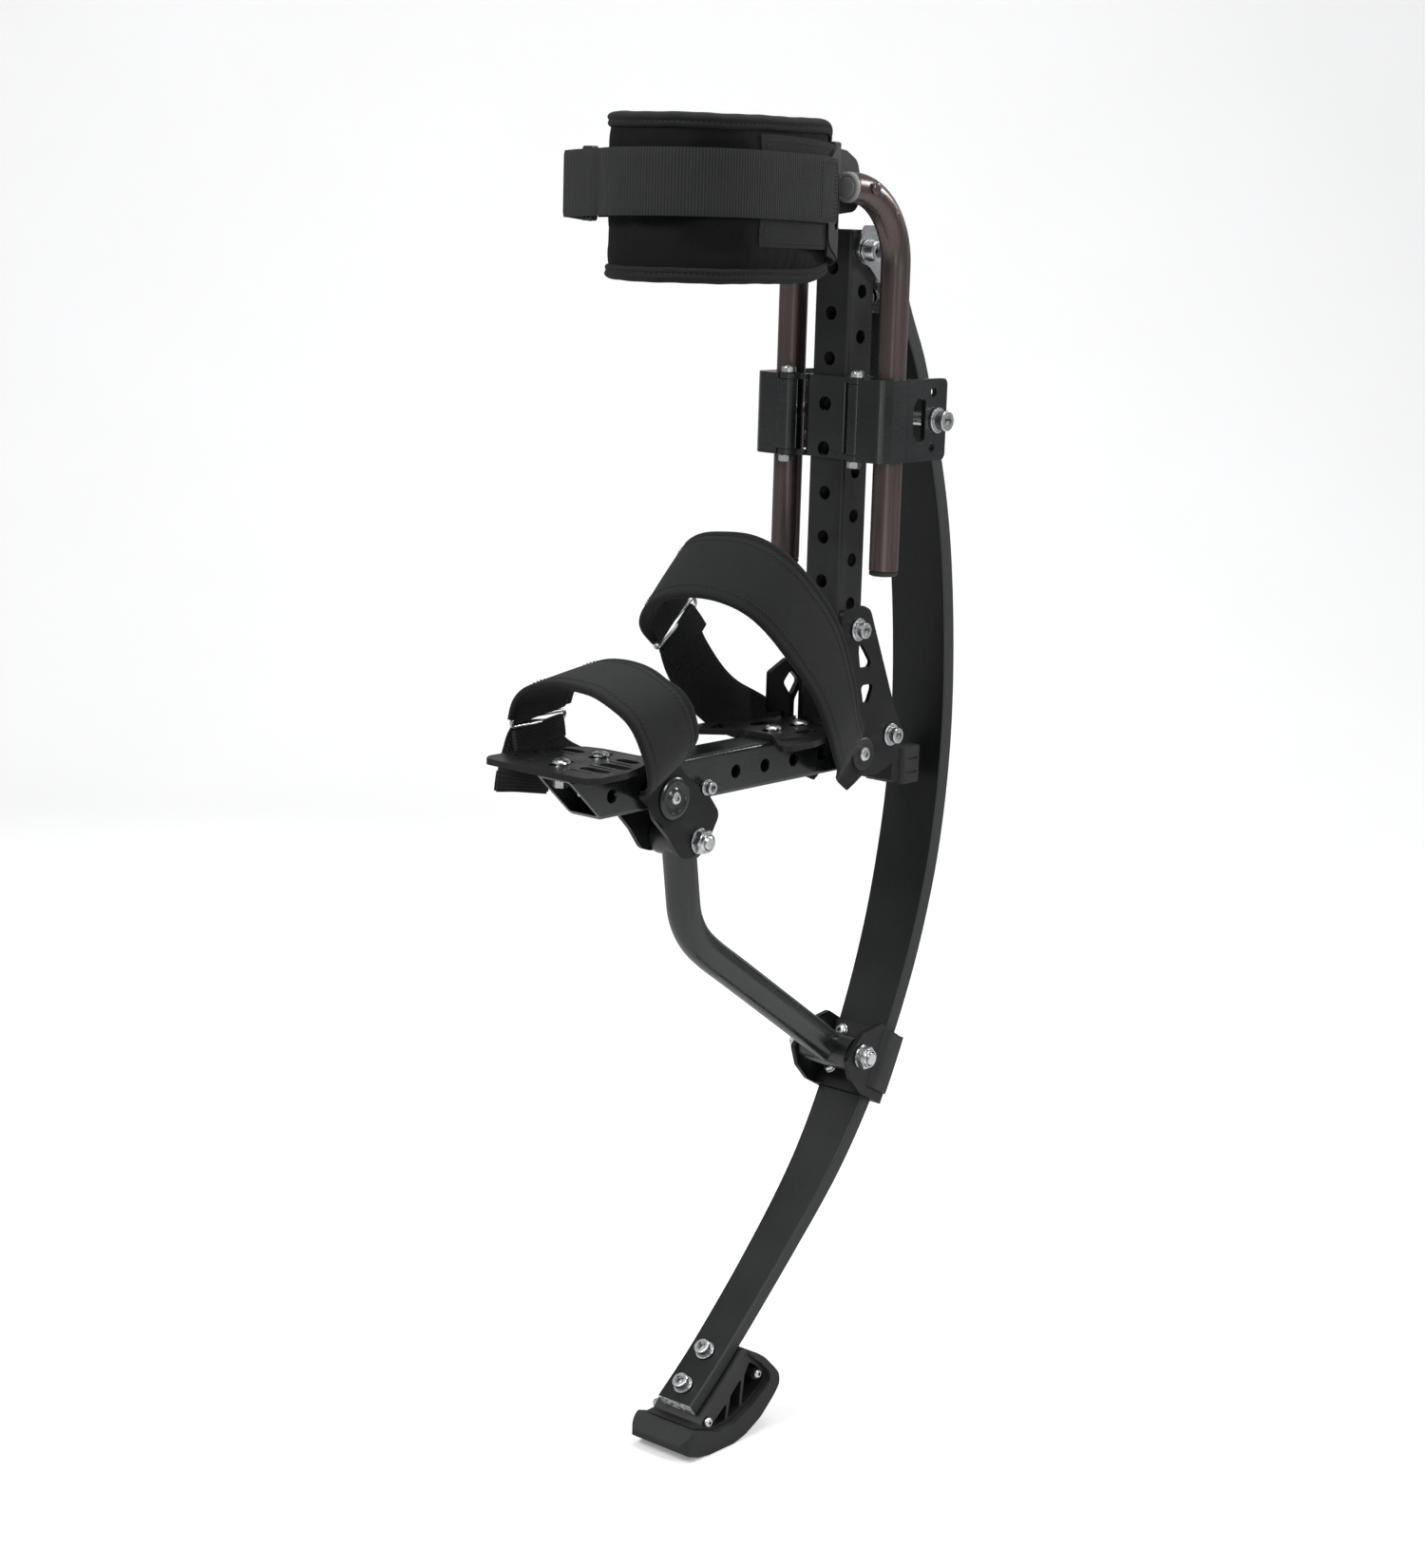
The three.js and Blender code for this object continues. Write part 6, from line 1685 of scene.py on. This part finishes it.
def puff_with_cloth(pad, rest, pinned):
    """inflates the pad between its pinned seams; gives the new vertex places in metres"""
    group = pad.vertex_groups.new(name="pin")
    group.add(pinned, 1.0, "REPLACE")
    modifier = pad.modifiers.new("puff", "CLOTH")
    settings = modifier.settings
    settings.quality = 6
    settings.mass = 0.18
    settings.tension_stiffness = settings.compression_stiffness = 12
    settings.shear_stiffness = 4
    settings.bending_stiffness = 0.4
    settings.use_pressure = True
    settings.uniform_pressure_force = 5.0
    settings.effector_weights.gravity = 0
    settings.vertex_group_mass = "pin"
    settings.shrink_min = -0.03
    modifier.collision_settings.use_collision = False
    modifier.point_cache.frame_start = 1
    modifier.point_cache.frame_end = 20
    for frame in range(1, 19):
        scene.frame_set(frame)
    graph = bpy.context.evaluated_depsgraph_get()
    puffed = pad.evaluated_get(graph).to_mesh()
    moved = np.array([tuple(vertex.co) for vertex in puffed.vertices]) - rest
    pad.evaluated_get(graph).to_mesh_clear()
    pad.modifiers.clear()
    scene.frame_set(1)
    distance = np.linalg.norm(moved, axis=1)
    limit = 0.0048
    scale = np.where(distance > limit, limit / np.maximum(distance, 1e-9), 1)
    return rest + moved * scale[:, None]


def cuff_pad():
    vertices, uvs, pinned = [], [], []
    for i in range(PLAN_COUNT):
        for part, height in WALL_SECTION:
            if height < 0.1 or height > 0.9 or (part < 0 and i % SEAM_EVERY == 0):
                pinned.append(len(vertices))
            x, y = wall_mid[i] + wall_out[i] * ((CUFF_WALL / 2 - 2.6) * part)
            z = wall_bottom[i] + 2.5 + (wall_top[i] - wall_bottom[i] - 5) * height
            vertices.append((x, y, z))
            uvs.append((wall_distance[i], height * (CUFF_TOP - CUFF_BOTTOM)
                        + (0 if part > 0 else 150) + part * 3))
    pad = sewn("cuff_pad_body", vertices, loft_faces(PLAN_COUNT, WALL_RING, closed=True), uvs,
               (WALL_RING, wall_length))
    rest = np.array(vertices) * MM
    shaped = puff_with_cloth(pad, rest, pinned)
    # small puckers beside the seams
    for i in range(PLAN_COUNT):
        for j, (part, height) in enumerate(WALL_SECTION):
            if abs(part) == 1:
                to_seam = min(abs(height - 0.1), abs(height - 0.9))
                ripple = sin(i * 2.1 + 1.3 * sin(i * 0.37)) * exp(-(to_seam / 0.09) ** 2)
                shaped[i * WALL_RING + j, :2] += wall_out[i] * part * 0.00028 * ripple
    for vertex, point in zip(pad.data.vertices, shaped):
        vertex.co = point
    subdivide(pad)
    soft(pad, "cuff_pad_body", "cuff", "neo", ["cuff_pad"])


cuff_pad()

RIM_HALF = CUFF_WALL / 2 - 0.9
# double roll of tape over a rim: (distance out from the middle of the wall, height)
RIM_SECTION = [
    (RIM_HALF - 0.6, -15.0), (RIM_HALF + 0.5, -14.6), (RIM_HALF + 1.5, -13.0),
    (RIM_HALF + 1.9, -11.2), (RIM_HALF + 1.3, -9.4), (RIM_HALF + 0.4, -8.7),
    (RIM_HALF + 1.2, -7.8), (RIM_HALF + 2.2, -5.6), (RIM_HALF + 1.9, -3.0),
    (RIM_HALF + 0.4, -0.9), (RIM_HALF - 2.2, 0.3), (0, 1.0), (-RIM_HALF + 2.4, 0.4),
    (-RIM_HALF - 0.2, -1.2), (-RIM_HALF - 0.9, -4.0), (-RIM_HALF - 0.4, -8.0),
    (-RIM_HALF + 0.9, -9.6), (-RIM_HALF + 2.5, -9.0), (-RIM_HALF + 3.4, -3.0), (0, -1.4),
    (RIM_HALF - 3.4, -3.0), (RIM_HALF - 2.6, -14.2)]


def cuff_rim(name, heights, up):
    """bound edge of the cuff at the given heights, with thread in the valley of its roll"""
    # the roll is drawn in towards the wall and flattened
    section = [(out - copysign(0.7, out) * (abs(out) > RIM_HALF - 0.1),
                height * 0.66 if height < 0 else height) for out, height in RIM_SECTION]
    vertices, uvs = [], []
    for i in range(PLAN_COUNT):
        wobble = 0.35 * sin(i * 0.31) + 0.25 * sin(i * 0.83 + 1)
        for j, (out, height) in enumerate(section):
            gather = 0.12 * sin(i * 2.3) if -9.6 < height < -8 else 0
            x, y = wall_mid[i] + wall_out[i] * (out + gather)
            vertices.append((x, y, heights[i] + height * up + wobble * 0.5))
            uvs.append((wall_distance[i], j * 2.2))
    rim = sewn(name, vertices, loft_faces(PLAN_COUNT, len(section), closed=True), uvs,
               (len(section), wall_length))
    subdivide(rim)
    soft(rim, name, "cuff", "bind")
    indices = [*range(PLAN_COUNT), 0]
    stitches(name + "_stitch",
             [(*(wall_mid[i] + wall_out[i] * (RIM_HALF + 0.1)), heights[i] - 5.75 * up)
              for i in indices],
             [(*wall_out[i], 0) for i in indices], "cuff", pitch=4.0, length=2.7, radius=0.45)


def rising_seam(name, foot, outward, heights, pitch, length):
    """stitches straight up from a plan point"""
    stitches(name, [(*foot, z) for z in heights], [(*outward, 0)] * len(heights), "cuff", pitch,
             length)


def level_seam(name, feet, outward, heights, pitch, length):
    """stitches along a plan line"""
    stitches(name, [(*foot, z) for foot, z in zip(feet, heights)],
             [(*direction, 0) for direction in outward], "cuff", pitch, length)


cuff_rim("cuff_rim_top", wall_top, 1)
cuff_rim("cuff_rim_low", wall_bottom, -1)
for i in range(0, PLAN_COUNT, SEAM_EVERY):
    rising_seam("cuff_lining_seam_%d" % i, wall_mid[i] - wall_out[i] * (CUFF_WALL / 2 - 2.2),
                -wall_out[i], np.linspace(wall_bottom[i] + 14, wall_top[i] - 14, 30),
                pitch=4.2, length=3.0)

# ------------------------------------------------------------------ cuff shell
# moulded shell behind the pad; side outlines as (x, z) with their corner radii
SHELL_SIDE = [(-38, 910), (-38, 975), (-66, 982), (-80, 984), (-90, 978), (-90, 904), (-60, 900)]
SHELL_EAR = [(-100, 934), (-105, 951), (-99, 970), (-86, 977), (-62, 980), (-62, 930)]
outer_plan = [tuple(point) for point in cuff_plan(1.5, 120)[0]]
inner_plan = [tuple(point) for point in cuff_plan(-2.0, 120)[0]]


def shell_hollow():
    return prism_z(inner_plan, CUFF_BOTTOM, CUFF_TOP + 5)


shell = cut(prism_z(outer_plan, CUFF_BOTTOM + 14, CUFF_TOP - 12), shell_hollow())
shell = both(shell, prism_y(fillet(SHELL_SIDE, [14, 14, 6, 6, 4, 6, 8], 6), -100, 100))
shell = cut(shell, prism_y(slot(-52, 925, -52, 957, 4), -100, 100))
shell = add(shell, *[prism_y(fillet(SHELL_EAR, [10, 14, 10, 8, 0, 0], 7), *across(side, 26, 36.4))
                     for side, _ in SIDES])
shell = cut(shell, shell_hollow(), round_y(CUFF_PIVOT, 3.4, 90))
detail(shell, "cuff_shell", "cuff", "plastic", bevel=0.9, segments=3)


# ------------------------------------------------------------------ cuff straps
def standing_strip(name, path, bottom, top, thickness, material, nodes=(), ragged=0.0):
    """cloth strip on edge along a plan line; bottom and top give its z at a fraction of the
    length. Gives the line, the direction to the right of it and the distances along"""
    steps = 14
    points = np.array(path, float)
    lengths = np.hypot(*np.diff(points, axis=0).T)
    distance = np.concatenate([[0], np.cumsum(lengths)])
    along = np.gradient(points, axis=0)
    along /= np.linalg.norm(along, axis=1)[:, None]
    right = np.stack([along[:, 1], -along[:, 0]], 1)
    section = [(i / steps, 1.0 if 0 < i < steps else 0.5) for i in range(steps + 1)]
    section += [(height, -part) for height, part in section[::-1]]
    vertices, uvs = [], []
    for i in range(len(points)):
        fraction = distance[i] / distance[-1]
        low, high = bottom(fraction), top(fraction)
        for height, part in section:
            fray = (ragged * (sin(height * 23.0 + 1.7) + 0.6 * sin(height * 61.0))
                    * exp(-distance[i] / 2.0))
            x, y = points[i] + right[i] * part * thickness / 2 + along[i] * fray
            z = low + (high - low) * height
            vertices.append((x, y, z))
            uvs.append((distance[i], z))
    strip = sewn(name, vertices, loft_faces(len(points), len(section)), uvs)
    soft(strip, name, "cuff", material, nodes, shade=50)
    return points, right, distance


def plan_run(plan, start, end, step, every):
    """points of a plan between those nearest to start and end"""
    def nearest(point):
        return int(np.argmin(np.hypot(plan[:, 0] - point[0], plan[:, 1] - point[1])))

    run = []
    i, last = nearest(start), nearest(end)
    while i != last:
        run.append(plan[i])
        i = (i + step) % len(plan)
    return np.array(run[::every])


def evenly(path):
    return smooth_line([(x, y, 0) for x, y in path], 3.2)[0][:, :2]


def strap_lift(fraction):
    """rise of the main strap over its length, with a slight drop at the folded end"""
    return (3.6 * sin(pi * min(1, fraction / 0.86)) - 1.4
            - 2.5 * max(0, (fraction - 0.86) / 0.14))


# main strap: clockwise from the left rear round the front, then out to a fold and back
strap_plan = cuff_plan(-CUFF_INSET + 4.4, 800)[0]
STRAP_TIP = [[97.5, -38], [95.6, -47], [92.8, -56], [89.8, -65], [86.8, -73], [84.6, -79],
             [83.4, -81.8], [81.8, -82.6], [80.4, -81.6], [80.2, -79.4]]
STRAP_RETURN = [[82.2, -73], [84.6, -65.5], [87.2, -57.5], [88.6, -51]]
run = plan_run(strap_plan, (-54, 62), (97, -33), step=-1, every=4)
points, right, distance = standing_strip(
    "cuff_strap_main", evenly(np.concatenate([run, STRAP_TIP, STRAP_RETURN])),
    lambda u: 926.5 + strap_lift(u), lambda u: 972.5 + strap_lift(u) * 0.9, 2.4, "web",
    ["cuff_strap"])
outward = -right
strap_face = points + outward * 1.35


def at_distance(wanted):
    return int(np.argmin(np.abs(distance - wanted)))


for wanted, label in ((3, "a"), (7, "b"), (26, "c")):
    i = at_distance(wanted)
    rise = strap_lift(distance[i] / distance[-1])
    rising_seam("cuff_strap_end_stitch_" + label, strap_face[i], outward[i],
                np.linspace(929 + rise, 970 + rise, 30), pitch=2.8, length=2.0)
box = slice(at_distance(3), at_distance(26))
for z, label in ((930.0, "low"), (969.0, "top")):
    level_seam("cuff_strap_box_" + label, strap_face[box], outward[box],
               [z + strap_lift(u) for u in distance[box] / distance[-1]], pitch=2.8, length=2.0)

# right side strap, clockwise from the buckle back to the shell
run = plan_run(strap_plan, (88, -50), (-60, -60), step=-1, every=8)
points, right, distance = standing_strip("cuff_strap_far", evenly(run), lambda u: 925.5,
                                         lambda u: 971.0, 2.4, "web")
for from_end, label in ((4, "a"), (22, "b")):
    i = at_distance(distance[-1] - from_end)
    rising_seam("cuff_far_stitch_" + label, points[i] - right[i] * 1.35, -right[i],
                np.linspace(928, 969, 30), pitch=2.8, length=2.0)

# slide buckle that the main strap doubles back through
BUCKLE_PLACE, BUCKLE_Z = np.array([90.5, -52.0]), 948.5
buckle_along = unit(np.array([-4.0, -9.4]))
buckle_out = np.array([-buckle_along[1], buckle_along[0]])


def buckle_point(along, up, out):
    x, y = BUCKLE_PLACE + buckle_along * along + buckle_out * out
    return x, y, BUCKLE_Z + up


buckle = prism(rounded_rect(-9, 9, -25.6, 25.6, 3.5), buckle_point, -3.2, 1.6)
buckle = cut(buckle, *[prism(rounded_rect(x0, x1, -23.6, 23.6, 1.2, 3), buckle_point, -12, 12)
                       for x0, x1 in ((-6, -1.4), (1.4, 6))])
finish(buckle, "cuff_buckle", "cuff", "plastic", bevel=0.8, segments=3)

# brushed panel on the left side under the strap, anticlockwise to the rear
panel_run = plan_run(cuff_plan(-CUFF_INSET + 1.9, 800)[0], (38, 62), (-77, 32), step=1, every=3)
points, outward, distance = standing_strip(
    "cuff_loop_panel", panel_run, lambda u: 909 - 3 * u, lambda u: 985 - 9 * u * u, 1.6, "pad",
    ragged=0.5)
panel_face = points + outward * 0.95
fractions = (distance / distance[-1])[2:-2]
for label, heights in (("low", 912.5 - 3 * fractions), ("top", 981.0 - 9 * fractions ** 2)):
    level_seam("cuff_panel_stitch_" + label, panel_face[2:-2], outward[2:-2], heights,
               pitch=3.6, length=2.4)
rising_seam("cuff_panel_stitch_edge", panel_face[3], outward[3], np.linspace(913, 981, 40),
            pitch=3.6, length=2.4)
# flap at the rear lower corner of the panel
cuff_center = np.array([CUFF_X, 0])
flap_run = [point + unit(point - cuff_center) * 1.8
            for point in panel_run[int(len(panel_run) * 0.62):]]
standing_strip("cuff_panel_flap", flap_run, lambda u: 903 - 9 * u, lambda u: 921 - 3 * u, 1.6,
               "pad", ragged=0.2)

# ------------------------------------------------------------------ stage, in metres
VIEW_X, VIEW_Y, VIEW_Z = -0.74413, -0.63690, -0.20159  # direction the camera looks in


def floor_material():
    """pale and slightly glowing to the camera, mid grey to the light it reflects"""
    shader = Shader("pale_floor")
    clouds = shader.noise(shader.coords(), scale=3.0, detail=4)
    seen_dark, seen_pale, reflected = (0.93, 0.93, 0.93), (0.95, 0.95, 0.955), (0.55, 0.55, 0.55)
    seen = shader.mix(shader.remap(clouds, span=(0.3, 0.7)), seen_dark, seen_pale)
    to_camera = shader.node("LightPath").outputs["Is Camera Ray"]
    values = {"Base Color": shader.mix(to_camera, reflected, seen),
              "Emission Color": (1, 1, 1),
              "Emission Strength": shader.math("MULTIPLY", to_camera, 0.22), "Roughness": 0.65}
    for key, value in values.items():
        shader.feed(shader.surface.inputs[key], value)
    return shader.material


def floor():
    """floor that sweeps up into a backdrop behind the stilt, square to the camera"""
    away = Vector((VIEW_X, VIEW_Y, 0)).normalized()
    sideways = Vector((-away.y, away.x, 0))
    sweep_start, sweep_radius, half_width, drop = 2.2, 1.4, 6, 0.0004
    profile = [(-4.0, 0.0), (sweep_start, 0.0)]
    profile += [(sweep_start + sweep_radius * sin(turn), sweep_radius * (1 - cos(turn)))
                for turn in np.linspace(0.08, pi / 2, 18)]
    profile.append((3.6, 6.5))
    vertices = []
    for distance_, z in profile:
        for side_ in (-half_width, half_width):
            point = away * distance_ + sideways * side_
            vertices.append((point.x, point.y, z - drop))
    faces = [[2 * i, 2 * i + 1, 2 * i + 3, 2 * i + 2] for i in range(len(profile) - 1)]
    ob = mesh_object("floor", vertices, faces, unit_length=1)
    for polygon in ob.data.polygons:
        polygon.use_smooth = True
    ob.data.materials.append(floor_material())


def sky():
    """pale world, bright to the camera and dim as a light"""
    world = bpy.data.worlds.new("world")
    scene.world = world
    world.use_nodes = True
    tree = world.node_tree
    background = tree.nodes["Background"]
    background.inputs[0].default_value = (0.96, 0.975, 1.0, 1)
    light_path = tree.nodes.new("ShaderNodeLightPath")
    strength = tree.nodes.new("ShaderNodeMath")
    strength.operation = "MULTIPLY_ADD"
    as_light, extra_to_camera = 0.30, 0.72
    strength.inputs[1].default_value = extra_to_camera
    strength.inputs[2].default_value = as_light
    tree.links.new(light_path.outputs["Is Camera Ray"], strength.inputs[0])
    tree.links.new(strength.outputs[0], background.inputs[1])


def area_light(name, location, target, size, power):
    light = bpy.data.lights.new(name, "AREA")
    light.shape = "RECTANGLE"
    light.size = light.size_y = size
    light.energy = power
    light.color = (1, 1, 1)
    ob = bpy.data.objects.new(name, light)
    scene.collection.objects.link(ob)
    ob.location = location
    aim = Vector(target) - Vector(location)
    ob.rotation_euler = aim.to_track_quat("-Z", "Y").to_euler()


def camera():
    data = bpy.data.cameras.new("camera")
    ob = bpy.data.objects.new("camera", data)
    scene.collection.objects.link(ob)
    look = Vector((VIEW_X, VIEW_Y, VIEW_Z)).normalized()
    level_right = Vector((-0.65025, 0.75973, 0)).normalized()
    level_up = level_right.cross(look).normalized()
    roll = radians(1.68)
    right_ = level_right * cos(roll) + level_up * sin(roll)
    up = -level_right * sin(roll) + level_up * cos(roll)
    turn = Matrix((right_, up, -look)).transposed()
    ob.matrix_world = Matrix.Translation((1.5932, 1.3636, 0.9486)) @ turn.to_4x4()
    data.sensor_fit = "AUTO"
    data.sensor_width = 36
    data.lens = 66.6
    data.clip_start, data.clip_end = 0.05, 30
    scene.camera = ob


floor()
sky()
area_light("key", (2.2, -0.6, 2.6), target=(0, 0, 0.5), size=1.1, power=74)
area_light("near_side", (0.2, 2.6, 1.9), target=(0, 0, 0.5), size=0.8, power=34)
area_light("rear", (-2.0, 0.9, 1.7), target=(-0.1, 0, 0.55), size=0.6, power=24)
area_light("overhead", (-0.2, 0.1, 3.2), target=(0, 0, 0.5), size=1.8, power=46)
area_light("low_front", (2.2, 1.9, 0.35), target=(0, 0, 0.35), size=0.8, power=3)
camera()
scene.view_settings.view_transform = "Standard"
scene.view_settings.look = "None"
